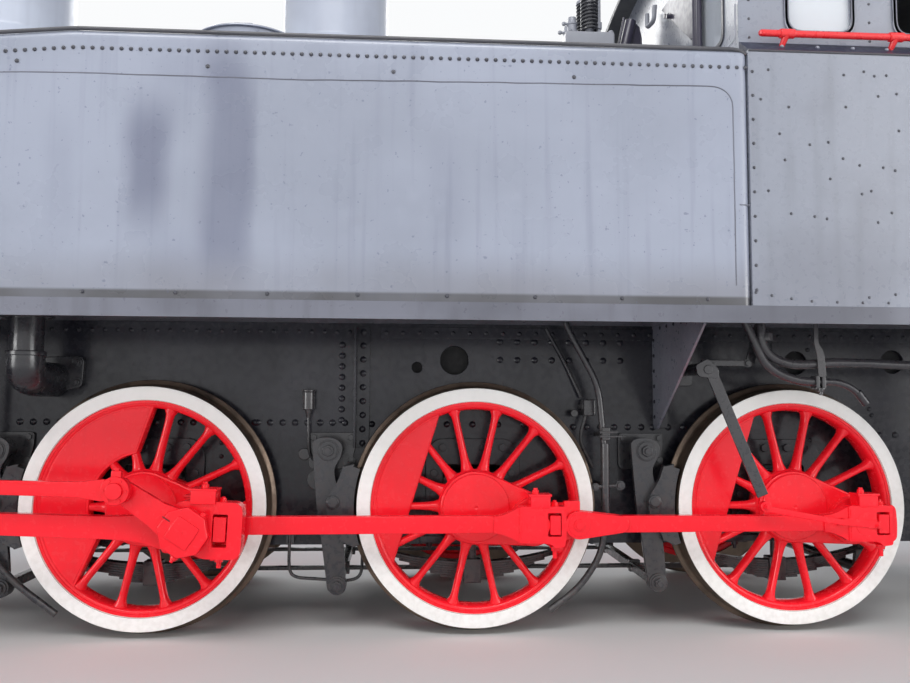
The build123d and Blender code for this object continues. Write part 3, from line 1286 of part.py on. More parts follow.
with BuildPart() as brakes:
    for axle_x in (DRIVE_X, SECOND_X, THIRD_X):
        for side in (LEFT, RIGHT):
            shoe_r = TREAD_R + SHOE_GAP
            hanger_pin, shoe_pin = placed(axle_x, WHEEL_Z, [HANGER_PIN, SHOE_PIN])
            arc_piece(side, axle_x, WHEEL_Z, shoe_r, shoe_r + SHOE_T, 180, SHOE_HALF, SHOE_IN, SHOE_OUT)
            cross_plate(side, placed(axle_x, WHEEL_Z, HANGER_OUTLINE), HANGER_IN, HANGER_OUT)
            cross_plate(side, placed(axle_x, WHEEL_Z, SHOE_HOLDER), HANGER_OUT, SHOE_OUT)
            cross_disc(side, *hanger_pin, 44, FRAME_OUT, HANGER_OUT + 12)
            cross_disc(side, *shoe_pin, 32, HANGER_IN, SHOE_OUT + 10)
        bar_x, bar_z = axle_x + BRAKE_BAR[0], WHEEL_Z + BRAKE_BAR[1]
        block(
            bar_x - BRAKE_BAR_W / 2, bar_x + BRAKE_BAR_W / 2, -HANGER_OUT, HANGER_OUT,
            bar_z - BRAKE_BAR_W / 2, bar_z + BRAKE_BAR_W / 2,
        )
finish(brakes, "brake_gear")


# Fittings along the running gear

SAND_PIPE_Y = 790.0
SAND_PIPE_R = 17.0
SAND_BEND = 80.0
PIPE_TOP = FRAME_TOP - WHEEL_Z - 12.0
# Routes of the two sand pipes on each side, from the axle's centre as (x, z)
FRONT_SAND_RUN = [(-820, FRAME_TOP - WHEEL_Z), (-820, -130), (-400, -500)]
REAR_SAND_RUN = [(455, PIPE_TOP), (640, 560), (654, -220), (370, -505)]

with BuildPart() as sand_pipes:
    for side in (LEFT, RIGHT):
        for axle_x, run in ((DRIVE_X, FRONT_SAND_RUN), (SECOND_X, REAR_SAND_RUN)):
            path = [(x, side * SAND_PIPE_Y, z) for x, z in placed(axle_x, WHEEL_Z, run)]
            pipe(path, SAND_BEND, SAND_PIPE_R)
finish(sand_pipes, "sand_pipes")

HEATING_Y = 1000.0
# Routes from the driving axle's centre as (x, z), the radius of the bends and the pipe's radius
HEATING_RUNS = [
    ([(2976, FRAME_TOP - WHEEL_Z), (2976, 713), (4300, 713)], 110.0, 22.0),
    ([(2905, PIPE_TOP), (2985, 640), (3360, 620), (3500, 512)], 90.0, 18.0),
]
BALANCE_X = DRIVE_X - 520.0
BALANCE_R = 72.0
BALANCE_Y = 1000.0
BALANCE_Z = WHEEL_Z + 600.0
BALANCE_BEND = 150.0
FLANGE_LAP = 50.0
FLANGE_T = 24.0

with BuildPart() as pipes:
    for side in (LEFT, RIGHT):
        for run, bend, radius in HEATING_RUNS:
            pipe([(x, side * HEATING_Y, z) for x, z in placed(DRIVE_X, WHEEL_Z, run)], bend, radius)
finish(pipes, "heating_pipes")

with BuildPart() as balance:
    for side in (LEFT, RIGHT):
        elbow = (BALANCE_X, side * BALANCE_Y, BALANCE_Z)
        pipe(
            [(BALANCE_X, side * BALANCE_Y, FRAME_TOP), elbow, (BALANCE_X, side * FRAME_OUT, BALANCE_Z)],
            BALANCE_BEND, BALANCE_R,
        )
        cross_disc(side, BALANCE_X, BALANCE_Z, BALANCE_R + FLANGE_LAP, FRAME_OUT, FRAME_OUT + FLANGE_T)
finish(balance, "balance_pipes")

LAMP_Y = 1090.0
LAMP_HALF_W = 90.0
LAMP_DEEP = 140.0
LAMP_H = 260.0
LENS_Z = FOOT_TOP + 150.0
LENS_R = 80.0
LENS_T = 40.0
LAMP_FACE = BEAM_IN - 10.0

with BuildPart() as lamps:
    for end in (-1, 1):
        for side in (LEFT, RIGHT):
            block(
                end * LAMP_FACE, end * (LAMP_FACE - LAMP_DEEP), side * (LAMP_Y - LAMP_HALF_W),
                side * (LAMP_Y + LAMP_HALF_W), FOOT_TOP, FOOT_TOP + LAMP_H,
            )
            long_cylinder(end * LAMP_FACE, end * (LAMP_FACE + LENS_T), side * LAMP_Y, LENS_Z, LENS_R)
finish(lamps, "lamps")

SIDE_RAIL_Z = WHEEL_Z + 2178.0
SIDE_RAIL_R = 16.0
SIDE_RAIL_Y = CAB_UP_Y + 60.0
RAIL_FOOT = CAB_LEDGE + CAB_WALL
GRAB_RAIL_R = 14.0
GRAB_RAIL_H = 620.0
GRAB_RAIL_Y = SIDE_Y - 26.0
GRAB_RAIL_X = 26.0

with BuildPart() as rails:
    for side in (LEFT, RIGHT):
        x0, x1 = CAB_FRONT + 80, DOORWAY_X0 - 60
        long_cylinder(x0, x1, side * SIDE_RAIL_Y, SIDE_RAIL_Z, SIDE_RAIL_R)
        for post_x in (x0 + 60, (x0 + x1) / 2, x1 - 60):
            upright(post_x, side * SIDE_RAIL_Y, RAIL_FOOT, SIDE_RAIL_Z, SIDE_RAIL_R - 5)
        for post_x in (DOORWAY_X0 - GRAB_RAIL_X, DOORWAY_X1 + GRAB_RAIL_X):
            rail_top = RAIL_FOOT + GRAB_RAIL_H
            upright(post_x, side * GRAB_RAIL_Y, RAIL_FOOT, rail_top, GRAB_RAIL_R)
            side_block(side, post_x - 9, post_x + 9, CAB_UP_Y, GRAB_RAIL_Y, rail_top - 40, rail_top - 16)
finish(rails, "handrails")

PUMP_X = -3950.0
PUMP_Y = 1180.0
# Radius and top of each part of the pump, up from the footplate
PUMP_PARTS = [(130.0, 380.0), (70.0, 520.0), (110.0, 860.0)]

with BuildPart() as pump:
    low = FOOT_TOP
    for radius, top in PUMP_PARTS:
        upright(PUMP_X, PUMP_Y, low, FOOT_TOP + top, radius)
        low = FOOT_TOP + top
finish(pump, "air_pump")

RESERVOIR_X = TRAIL_X - 520.0
RESERVOIR_LENGTH = 1140.0
RESERVOIR_R = 190.0
RESERVOIR_Z = 1150.0

with BuildPart() as reservoir:
    long_cylinder(RESERVOIR_X, RESERVOIR_X + RESERVOIR_LENGTH, 0, RESERVOIR_Z, RESERVOIR_R)
finish(reservoir, "air_reservoir")

RECORDER_IN = 1044.0
RECORDER_T = 14.0
RECORDER_OUT = RECORDER_IN + RECORDER_T
RECORDER_EYE_R = 30.0
RECORDER_EYE_LAP = 6.0
RECORDER_KNEE_IN = 1030.0
RECORDER_BAR_H = 55.0
RECORDER_LINK_H = 22.0
# From the third axle's centre: the top pin, the knee and the link's foot
RECORDER_TOP = (-510, 675)
RECORDER_KNEE = (-245, 47)
RECORDER_FOOT = (132, -71)

with BuildPart() as recorder:
    top, knee, foot = placed(THIRD_X, WHEEL_Z, [RECORDER_TOP, RECORDER_KNEE, RECORDER_FOOT])
    eye_out = RECORDER_OUT + RECORDER_EYE_LAP
    cross_bar(LEFT, top, knee, RECORDER_BAR_H, RECORDER_IN, RECORDER_OUT)
    cross_disc(LEFT, *knee, RECORDER_EYE_R, RECORDER_KNEE_IN, eye_out)
    cross_disc(LEFT, *top, RECORDER_EYE_R, FRAME_OUT, eye_out)
    cross_bar(LEFT, knee, foot, RECORDER_LINK_H, RECORDER_IN, RECORDER_OUT)
finish(recorder, "recorder_drive")
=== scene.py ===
import json
import logging
import random
from dataclasses import dataclass
from enum import Enum
from math import acos, asin, atan2, copysign, cos, degrees, exp, hypot, radians, sin, sqrt
from math import tan, tau
from typing import Callable, Iterable, Sequence

import bmesh
import bpy
from mathutils import Matrix, Vector, noise

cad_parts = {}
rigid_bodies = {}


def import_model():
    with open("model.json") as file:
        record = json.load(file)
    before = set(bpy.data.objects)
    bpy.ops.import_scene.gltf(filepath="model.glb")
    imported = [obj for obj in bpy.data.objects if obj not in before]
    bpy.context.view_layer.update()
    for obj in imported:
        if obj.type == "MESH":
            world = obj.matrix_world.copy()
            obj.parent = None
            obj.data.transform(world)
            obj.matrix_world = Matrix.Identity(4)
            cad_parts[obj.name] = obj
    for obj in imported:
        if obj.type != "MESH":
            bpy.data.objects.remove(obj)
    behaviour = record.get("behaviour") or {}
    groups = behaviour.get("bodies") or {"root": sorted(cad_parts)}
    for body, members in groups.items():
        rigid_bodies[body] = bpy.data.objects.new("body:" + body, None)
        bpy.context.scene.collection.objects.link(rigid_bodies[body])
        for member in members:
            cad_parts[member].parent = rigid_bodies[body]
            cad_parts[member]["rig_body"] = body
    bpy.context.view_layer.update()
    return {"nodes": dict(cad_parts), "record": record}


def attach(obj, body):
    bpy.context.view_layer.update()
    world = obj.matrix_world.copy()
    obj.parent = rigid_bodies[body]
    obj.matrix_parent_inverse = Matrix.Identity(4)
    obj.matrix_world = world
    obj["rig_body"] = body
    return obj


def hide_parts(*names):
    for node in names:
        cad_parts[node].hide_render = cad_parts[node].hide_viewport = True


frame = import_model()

# Looks of a side-tank steam locomotive, in metres. The front is towards -X, the left side
# towards -Y, and z is measured from the plane of the flange tips.
RECORD = frame["record"]
LOG = logging.getLogger("locomotive")

Pair = tuple[float, float]
Point = tuple[float, float, float]
Outline = Sequence[Pair]
Spot = Sequence[float]
Socket = bpy.types.NodeSocket

WHEEL_Z = 0.618
CARRIER_Z = 0.453
TREAD_R = 0.59
CARRIER_R = 0.425
DRIVE_X, SECOND_X, THIRD_X = -1.1, 0.5, 2.1
LEAD_X, TRAIL_X = -2.95, 4.25
CRANK_R = 0.285
CROSSHEAD_Z = WHEEL_Z
MAIN_ROD = 1.75
FRAME_FACE = 0.61
FOOTPLATE_TOP = 1.556
TANK_FACE = 1.45
SHARP = radians(33)


class Side(Enum):
    """A side of the engine: its sign along Y, and the angle of its cranks in degrees."""

    LEFT = (-1, -13.0)
    RIGHT = (1, 77.0)

    @property
    def sign(self) -> int:
        """The sign of Y on this side."""
        return self.value[0]

    @property
    def crank(self) -> float:
        """The angle of the cranks at rest, in degrees."""
        return self.value[1]

    @property
    def word(self) -> str:
        """The side's name as the frame's nodes and bodies write it."""
        return self.name.lower()

    def pin(self, axle_x: float) -> Pair:
        """The crank pin's place on this side.

        Args:
            axle_x: The axle's place along the engine.

        Returns:
            The pin's x and z.
        """
        turn = radians(self.crank)
        return axle_x + CRANK_R * cos(turn), WHEEL_Z + CRANK_R * sin(turn)


class Axis(Enum):
    """An axis that a piece is turned about."""

    X = (1, 0, 0)
    Y = (0, 1, 0)
    Z = (0, 0, 1)


OUT, FORE, AFT, UP, DOWN = (0, -1, 0), (-1, 0, 0), (1, 0, 0), (0, 0, 1), (0, 0, -1)


# Finishes


class Graph:
    """A material's node tree, with the few combinations of nodes that the finishes share."""

    def __init__(self, name: str) -> None:
        """Starts a material with one shader.

        Args:
            name: The material's name.
        """
        self.material = bpy.data.materials.new(name)
        self.material.use_nodes = True
        self.tree = self.material.node_tree
        self.tree.nodes.clear()
        self.shader = self.node("ShaderNodeBsdfPrincipled")
        output = self.node("ShaderNodeOutputMaterial")
        self.tree.links.new(self.shader.outputs[0], output.inputs["Surface"])
        self.place = self.node("ShaderNodeTexCoord").outputs["Object"]

    def node(self, kind: str, **settings: object) -> bpy.types.Node:
        """Adds a node.

        Args:
            kind: The node's type.
            settings: Its properties.

        Returns:
            The new node.
        """
        made = self.tree.nodes.new(kind)
        for key, value in settings.items():
            setattr(made, key, value)
        return made

    def feed(self, socket: Socket, value: object) -> None:
        """Links a socket to another one, or sets it to a constant.

        Args:
            socket: The socket.
            value: Another socket, a number or a colour.
        """
        if isinstance(value, Socket):
            self.tree.links.new(value, socket)
        elif isinstance(value, tuple) and len(value) == 3 and socket.type == "RGBA":
            socket.default_value = (*value, 1.0)
        else:
            socket.default_value = value

    def stretched(self, scale: Point) -> Socket:
        """Stretches the place on the piece.

        Args:
            scale: The stretch along each axis.

        Returns:
            The place with each axis stretched.
        """
        mapping = self.node("ShaderNodeMapping")
        self.feed(mapping.inputs["Vector"], self.place)
        mapping.inputs["Scale"].default_value = scale
        return mapping.outputs["Vector"]

    def noise(self, scale: float, detail: float = 3.0, stretch: Point = (1, 1, 1),
            rough: float = 0.5) -> Socket:
        """Adds a noise texture.

        Args:
            scale: Features to the metre.
            detail: Octaves.
            stretch: The stretch along each axis.
            rough: How much each finer octave counts.

        Returns:
            A noise value from 0 to 1.
        """
        made = self.node("ShaderNodeTexNoise")
        self.feed(made.inputs["Vector"], self.stretched(stretch))
        made.inputs["Scale"].default_value = scale
        made.inputs["Detail"].default_value = detail
        made.inputs["Roughness"].default_value = rough
        return made.outputs[0]

    def spread(self, value: object, low: float, high: float, to_low: float = 0.0,
            to_high: float = 1.0) -> Socket:
        """Moves a range of values onto another one.

        Args:
            value: The socket to spread.
            low: The value that gives to_low.
            high: The value that gives to_high.
            to_low: The first result.
            to_high: The last result.

        Returns:
            The value moved from one range to the other, and held at its ends.
        """
        made = self.node("ShaderNodeMapRange", interpolation_type="SMOOTHSTEP")
        for key, number in zip(("Value", "From Min", "From Max", "To Min", "To Max"),
                (value, low, high, to_low, to_high)):
            self.feed(made.inputs[key], number)
        return made.outputs[0]

    def math(self, operation: str, first: object, second: object = 0.0) -> Socket:
        """Does a sum with two values.

        Args:
            operation: The sum to do.
            first: A socket or a number.
            second: A socket or a number.

        Returns:
            The result.
        """
        made = self.node("ShaderNodeMath", operation=operation)
        self.feed(made.inputs[0], first)
        self.feed(made.inputs[1], second)
        return made.outputs[0]

    def mix(self, share: object, first: object, second: object) -> Socket:
        """Mixes two colours.

        Args:
            share: How much of the second colour shows.
            first: A colour or a socket.
            second: A colour or a socket.

        Returns:
            The mixed colour.
        """
        made = self.node("ShaderNodeMix", data_type="RGBA")
        self.feed(made.inputs[0], share)
        self.feed(made.inputs[6], first)
        self.feed(made.inputs[7], second)
        return made.outputs[2]

    def axis(self, index: int) -> Socket:
        """Takes one axis of the place on the piece.

        Args:
            index: An axis, 0 to 2.

        Returns:
            The place along it.
        """
        made = self.node("ShaderNodeSeparateXYZ")
        self.feed(made.inputs[0], self.place)
        return made.outputs[index]

    def bumps(self, *layers: tuple[Socket, float, float]) -> None:
        """Joins height layers.

        Args:
            layers: A socket, its strength and its depth in metres for each.
        """
        below = None
        for height, strength, depth in layers:
            made = self.node("ShaderNodeBump")
            made.inputs["Strength"].default_value = strength
            made.inputs["Distance"].default_value = depth
            self.feed(made.inputs["Height"], height)
            if below is not None:
                self.feed(made.inputs["Normal"], below)
            below = made.outputs[0]
        self.feed(self.shader.inputs["Normal"], below)

    def surface(self, **values: object) -> None:
        """Sets the shader.

        Args:
            values: The shader's inputs by name, with underscores for spaces.
        """
        for key, value in values.items():
            self.feed(self.shader.inputs[key.replace("_", " ")], value)


class Finish:
    """What a piece looks like."""

    def make(self, name: str) -> bpy.types.Material:
        """Makes the finish's material.

        Args:
            name: The material's name.

        Returns:
            The material.
        """
        graph = Graph(name)
        self.wire(graph)
        return graph.material

    def wire(self, g: Graph) -> None:
        """Joins the nodes that give this look.

        Args:
            g: The material's graph.
        """
        raise NotImplementedError


@dataclass(frozen=True)
class Paint(Finish):
    """Brushed-on enamel that has weathered.

    Attributes:
        colour: The clean paint.
        worn: What it fades to in patches.
        gloss: The roughness of the clean paint.
        coat: How much clear shine lies over it.
        dust: How much road dust lies low down.
        streaks: How strongly rain has marked it.
        dust_colour: The colour of that dust.
        shine: How strongly the paint itself mirrors.
    """

    colour: Point
    worn: Point
    gloss: float = 0.3
    coat: float = 0.3
    dust: float = 0.25
    streaks: float = 0.2
    dust_colour: Point = (0.16, 0.13, 0.1)
    shine: float = 0.5

    def wire(self, g: Graph) -> None:
        """Joins the nodes that give this look.

        Args:
            g: The material's graph.
        """
        patches = g.noise(1.7, 5.0)
        fine = g.noise(34.0, 4.0)
        drips = g.noise(1.0, 4.0, (16.0, 16.0, 1.1))
        tone = g.mix(g.spread(patches, 0.42, 0.68), self.colour, self.worn)
        wet = g.math("MULTIPLY", g.spread(drips, 0.5, 0.72), self.streaks)
        tone = g.mix(wet, tone, tuple(0.45 * part for part in self.colour))
        low = g.spread(g.axis(2), 1.5, 0.15)
        grit = g.math("MULTIPLY", g.math("MULTIPLY", low, g.spread(fine, 0.35, 0.7)), self.dust)
        tone = g.mix(grit, tone, self.dust_colour)
        rough = g.math("ADD", g.spread(fine, 0.3, 0.7, self.gloss - 0.05, self.gloss + 0.09),
            g.math("MULTIPLY", grit, 0.45))
        g.bumps((g.noise(9.0, 3.0), 0.35, 0.0012), (g.noise(210.0, 2.0), 0.18, 0.0006))
        g.surface(Base_Color=tone, Roughness=rough, Coat_Weight=self.coat, Coat_Roughness=0.14,
            Specular_IOR_Level=self.shine)


@dataclass(frozen=True)
class TankPaint(Finish):
    """The tank's grey gloss, with the smears and the dull band that its side has.

    Attributes:
        colour: The clean paint.
        dark: The colour of the smears.
        band: The colour near the bottom edge.
    """

    colour: Point
    dark: Point
    band: Point

    def wire(self, g: Graph) -> None:
        """Joins the nodes that give this look.

        Args:
            g: The material's graph.
        """
        x, z = g.axis(0), g.axis(2)
        wander = g.math("MULTIPLY", g.math("SUBTRACT", g.noise(1.4, 2.0), 0.5), 0.16)
        tone = g.mix(g.spread(g.noise(0.9, 4.0), 0.4, 0.66), self.colour,
            tuple(0.86 * part for part in self.colour))
        for centre, width, top, bottom, depth in SMEARS:
            across = g.math("ABSOLUTE", g.math("SUBTRACT", g.math("ADD", x, wander), centre))
            reach = g.spread(across, width, 0.2 * width)
            ends = g.math("MULTIPLY", g.spread(z, top + 0.12, top - 0.16),
                g.spread(z, bottom - 0.12, bottom + 0.2))
            share = g.math("MULTIPLY", g.math("MULTIPLY", reach, ends), depth)
            tone = g.mix(share, tone, self.dark)
        rain = g.spread(g.noise(1.0, 5.0, (22.0, 22.0, 0.9)), 0.52, 0.76, 0.0, 0.2)
        tone = g.mix(rain, tone, self.dark)
        foot = g.math("MULTIPLY", g.spread(z, 1.8, 1.6), g.spread(g.noise(1.6, 3.0), 0.3, 0.62, 0.3,
            0.6))
        tone = g.mix(foot, tone, self.band)
        # Darker still at the very foot of the side, along the footplate.
        foot_dark = g.math("MULTIPLY", g.spread(z, 1.6, 1.584), g.spread(g.noise(2.6, 3.0), 0.3, 0.6,
            0.7, 0.95))
        tone = g.mix(foot_dark, tone, tuple(0.32 * part for part in self.band))
        specks = g.spread(g.noise(55.0, 2.0), 0.69, 0.75, 0.0, 0.5)
        tone = g.mix(specks, tone, self.dark)
        rough = g.spread(g.noise(5.0, 4.0), 0.3, 0.7, 0.24, 0.38)
        g.bumps((g.noise(3.4, 4.0), 0.5, 0.004), (g.noise(17.0, 2.0), 0.3, 0.0012),
            (g.noise(190.0, 2.0), 0.15, 0.0005))
        g.surface(Base_Color=tone, Roughness=rough, Coat_Weight=0.45, Coat_Roughness=0.2)


# Centre along X, half width, top, bottom and darkness of each smear on the tank's side
SMEARS = ((-0.93, 0.13, 2.4, 1.86, 0.62), (-0.62, 0.14, 2.66, 1.62, 0.52),
    (-0.54, 0.05, 2.45, 1.7, 0.25), (-0.76, 0.22, 2.66, 2.38, 0.22), (-0.8, 0.2, 1.84, 1.6, 0.2),
    (-1.3, 0.1, 2.3, 1.8, 0.12), (0.3, 0.1, 2.25, 1.75, 0.1))


@dataclass(frozen=True)
class Metal(Finish):
    """Bare or blackened metal with oil on it.

    Attributes:
        colour: The metal's colour.
        oil: The colour where oil and dirt lie.
        rough: The roughness of the clean metal.
        metallic: 1 for bare metal.
        grease: How much of it is oily.
    """

    colour: Point
    oil: Point
    rough: float = 0.35
    metallic: float = 1.0
    grease: float = 0.5

    def wire(self, g: Graph) -> None:
        """Joins the nodes that give this look.

        Args:
            g: The material's graph.
        """
        stain = g.spread(g.noise(6.0, 6.0, rough=0.6), 0.44, 0.66, 0.0, self.grease)
        tone = g.mix(stain, self.colour, self.oil)
        rough = g.spread(g.noise(26.0, 4.0), 0.3, 0.7, self.rough - 0.07, self.rough + 0.14)
        g.bumps((g.noise(60.0, 4.0), 0.2, 0.0008), (g.noise(420.0, 1.0), 0.1, 0.0003))
        g.surface(Base_Color=tone, Roughness=rough, Metallic=self.metallic)


@dataclass(frozen=True)
class Glass(Finish):
    """Thin window glass.

    Attributes:
        tint: Its colour.
        clear: How much of the light it lets through; the rest is haze on its face.
    """

    tint: Point
    clear: float = 1.0

    def wire(self, g: Graph) -> None:
        """Joins the nodes that give this look.

        Args:
            g: The material's graph.
        """
        rough = g.spread(g.noise(4.0, 3.0), 0.45, 0.7, 0.02, 0.09)
        g.surface(Base_Color=self.tint, Roughness=rough, Transmission_Weight=self.clear, IOR=1.55)


@dataclass(frozen=True)
class Planks(Finish):
    """Worn boards that run along the engine.

    Attributes:
        colour: The clean wood.
        dark: The colour of the grain and the gaps.
    """

    colour: Point
    dark: Point

    def wire(self, g: Graph) -> None:
        """Joins the nodes that give this look.

        Args:
            g: The material's graph.
        """
        grain = g.noise(6.0, 6.0, (1.4, 14.0, 14.0))
        boards = g.node("ShaderNodeTexWave", wave_type="BANDS", bands_direction="Y")
        g.feed(boards.inputs["Vector"], g.place)
        boards.inputs["Scale"].default_value = 2.4
        boards.inputs["Distortion"].default_value = 0.4
        tone = g.mix(g.spread(grain, 0.35, 0.68), self.colour, self.dark)
        gap = g.spread(boards.outputs["Fac"], 0.06, 0.02)
        tone = g.mix(gap, tone, tuple(0.3 * part for part in self.dark))
        g.bumps((grain, 0.3, 0.001), (g.math("SUBTRACT", 1.0, gap), 0.6, 0.002))
        g.surface(Base_Color=tone, Roughness=g.spread(grain, 0.2, 0.8, 0.5, 0.75))


@dataclass(frozen=True)
class Coal(Finish):
    """Broken coal."""

    colour: Point

    def wire(self, g: Graph) -> None:
        """Joins the nodes that give this look.

        Args:
            g: The material's graph.
        """
        tone = g.mix(g.spread(g.noise(18.0, 5.0), 0.4, 0.7), self.colour, (0.05, 0.05, 0.055))
        g.bumps((g.noise(70.0, 4.0), 0.6, 0.004))
        g.surface(Base_Color=tone, Roughness=g.spread(g.noise(30.0, 2.0), 0.3, 0.7, 0.2, 0.6))


FINISHES: dict[str, Finish] = {"frame_black": Paint((0.014, 0.014, 0.02), (0.027, 0.027, 0.035),
    0.24, 0.2, 0.08, 0.2, shine=0.25),
    "beam_red": Paint((0.6, 0.018, 0.022), (0.48, 0.016, 0.018), 0.3, 0.3, 0.2, 0.2),
    "buffer_black": Paint((0.02, 0.02, 0.022), (0.05, 0.05, 0.052), 0.4, 0.1, 0.3, 0.1),
    "forged_steel": Metal((0.42, 0.41, 0.4), (0.1, 0.085, 0.07), 0.38, 1.0, 0.7),
    "cylinder_black": Paint((0.03, 0.031, 0.036), (0.055, 0.055, 0.062), 0.28, 0.35, 0.3, 0.2),
    "rod_steel": Metal((0.6, 0.59, 0.57), (0.24, 0.2, 0.15), 0.26, 1.0, 0.45),
    "rod_red": Paint((0.93, 0.008, 0.022), (0.84, 0.007, 0.018), 0.2, 0.15, 0.0, 0.05, shine=0.28),
    "wheel_red": Paint((0.95, 0.012, 0.026), (0.84, 0.01, 0.02), 0.2, 0.15, 0.04, 0.06, shine=0.28),
    "tyre_white": Paint((0.92, 0.91, 0.88), (0.86, 0.85, 0.81), 0.42, 0.1, 0.18, 0.05,
    (0.42, 0.38, 0.32)),
    "tyre_steel": Metal((0.17, 0.125, 0.095), (0.06, 0.045, 0.038), 0.42, 0.8, 0.6),
    "boiler_black": Paint((0.034, 0.035, 0.041), (0.06, 0.06, 0.068), 0.27, 0.4, 0.0, 0.25),
    "smokebox_black": Paint((0.026, 0.026, 0.029), (0.05, 0.049, 0.05), 0.46, 0.1, 0.0, 0.3),
    "brass": Metal((0.78, 0.52, 0.2), (0.3, 0.17, 0.06), 0.26, 1.0, 0.4),
    "copper": Metal((0.7, 0.33, 0.19), (0.22, 0.1, 0.06), 0.3, 1.0, 0.5),
    "tank_grey": TankPaint((0.308, 0.333, 0.408), (0.085, 0.094, 0.155), (0.16, 0.155, 0.168)),
    "cab_grey": Paint((0.255, 0.272, 0.322), (0.205, 0.215, 0.256), 0.3, 0.4, 0.0, 0.22),
    "valance_grey": Paint((0.15, 0.155, 0.19), (0.095, 0.098, 0.122), 0.32, 0.3, 0.3, 0.3),
    "roof_grey": Paint((0.06, 0.062, 0.068), (0.11, 0.11, 0.112), 0.5, 0.05, 0.0, 0.3),
    "floor_wood": Planks((0.2, 0.125, 0.07), (0.07, 0.042, 0.026)),
    "seat_wood": Planks((0.3, 0.17, 0.085), (0.12, 0.065, 0.035)),
    "window_glass": Glass((0.86, 0.9, 0.95), 0.45),
    "cast_iron": Metal((0.075, 0.072, 0.07), (0.03, 0.027, 0.025), 0.5, 0.5, 0.6),
    "lamp_black": Paint((0.022, 0.022, 0.024), (0.05, 0.05, 0.052), 0.34, 0.3, 0.2, 0.1),
    "lamp_glass": Glass((0.97, 0.96, 0.9)),
    "handrail_red": Paint((0.8, 0.016, 0.022), (0.66, 0.012, 0.016), 0.28, 0.5, 0.0, 0.05),
    # Near-black for the discs inside the frame plates' holes and the return crank's slit: painted
    # shade.
    "hole_black": Paint((0.006, 0.006, 0.007), (0.012, 0.012, 0.012), 0.8, 0.0, 0.0, 0.0),
    "cab_green": Paint((0.36, 0.4, 0.3), (0.28, 0.31, 0.24), 0.42, 0.2, 0.0, 0.15),
    "coal": Coal((0.012, 0.012, 0.013)),
    # Near-black grey for the bead along the tanks' tops and the edges at the cab's ledge and
    # doorway: painted shade under them. The end windows' frames and the bunker's rivets and top
    # bead take it too.
    "bead_dark": Paint((0.05, 0.05, 0.06), (0.085, 0.083, 0.092), 0.34, 0.3, 0.0, 0.1),
    "gear_black": Paint((0.022, 0.022, 0.027), (0.045, 0.042, 0.045), 0.28, 0.35, 0.16, 0.2,
    shine=0.4),
    "pipe_black": Paint((0.03, 0.029, 0.035), (0.06, 0.056, 0.06), 0.28, 0.4, 0.0, 0.2, shine=0.4),
    "rubber": Paint((0.018, 0.018, 0.019), (0.035, 0.034, 0.033), 0.55, 0.0, 0.4, 0.0),
    "pad": Metal((0.035, 0.026, 0.02), (0.015, 0.012, 0.01), 0.75, 0.0, 0.6),
    # Near-black for the rivet heads of the tanks and cab sides: painted shade on them.
    "rivet_dark": Paint((0.035, 0.036, 0.048), (0.06, 0.062, 0.078), 0.3, 0.4, 0.0, 0.1),
    "dome_grey": Paint((0.49, 0.53, 0.62), (0.42, 0.45, 0.53), 0.36, 0.3, 0.0, 0.12),
    "valve_grey": Paint((0.36, 0.37, 0.41), (0.28, 0.29, 0.33), 0.4, 0.2, 0.0, 0.1),
    "pipe_violet": Paint((0.03, 0.026, 0.05), (0.06, 0.055, 0.085), 0.34, 0.3, 0.0, 0.1),
    # Dark blue for the sloped strip over each cab ledge: painted shade and a painted dark
    # reflection.
    "ledge_blue": Paint((0.022, 0.026, 0.052), (0.048, 0.054, 0.088), 0.4, 0.1, 0.0, 0.1,
    shine=0.3)}

# Materials already made, by finish name
MADE: dict[str, bpy.types.Material] = {}


def finish_named(name: str) -> bpy.types.Material:
    """Finds or makes a finish's material.

    Args:
        name: A key of FINISHES.

    Returns:
        Its material.
    """
    if name not in MADE:
        MADE[name] = FINISHES[name].make(name)
    return MADE[name]


# Outlines, as lists of (x, z) points


def arc(x: float, z: float, radius: float, start: float, end: float, steps: int = 12) -> list[Pair]:
    """Points on a circle.

    Args:
        x: The centre's x.
        z: The centre's z.
        radius: The circle's radius.
        start: The first angle, in degrees.
        end: The last angle.
        steps: How many spans.

    Returns:
        The points, both ends included.
    """
    turns = [radians(start + (end - start) * i / steps) for i in range(steps + 1)]
    return [(x + radius * cos(t), z + radius * sin(t)) for t in turns]


def ring(x: float, z: float, radius: float, steps: int = 32, turn: float = 0.0) -> list[Pair]:
    """Points once round a circle, or a polygon's corners, turned by some degrees."""
    return arc(x, z, radius, turn, turn + 360, steps)[:-1]


def bend(before: Vector, here: Vector, after: Vector, reach: float, steps: int) -> list[Vector]:
    """The curve that rounds a corner.

    Args:
        before: The point before the corner.
        here: The corner.
        after: The point after it.
        reach: How far back from the corner the curve starts.
        steps: Spans in the curve.

    Returns:
        The curve's points.
    """
    back, ahead = before - here, after - here
    first = here + back.normalized() * min(reach, back.length / 2)
    last = here + ahead.normalized() * min(reach, ahead.length / 2)
    shares = [k / steps for k in range(steps + 1)]
    return [first * (1 - t) ** 2 + here * (2 * t * (1 - t)) + last * t * t for t in shares]


def softened(corners: Sequence[Point]) -> list[Pair]:
    """Rounds an outline's corners.

    Args:
        corners: Each corner's x and z, and how far back its curve starts.

    Returns:
        The rounded outline.
    """
    points: list[Pair] = []
    for i, (x, z, reach) in enumerate(corners):
        if reach <= 0:
            points.append((x, z))
            continue
        before, after = (Vector(corners[k % len(corners)][:2]) for k in (i - 1, i + 1))
        points += [spot.to_tuple() for spot in bend(before, Vector((x, z)), after, reach, 5)]
    return points


def rectangle(x0: float, x1: float, z0: float, z1: float, reach: float = 0.0) -> list[Pair]:
    """A rectangle's outline, with rounded corners if reach is above 0."""
    return softened([(x0, z0, reach), (x1, z0, reach), (x1, z1, reach), (x0, z1, reach)])


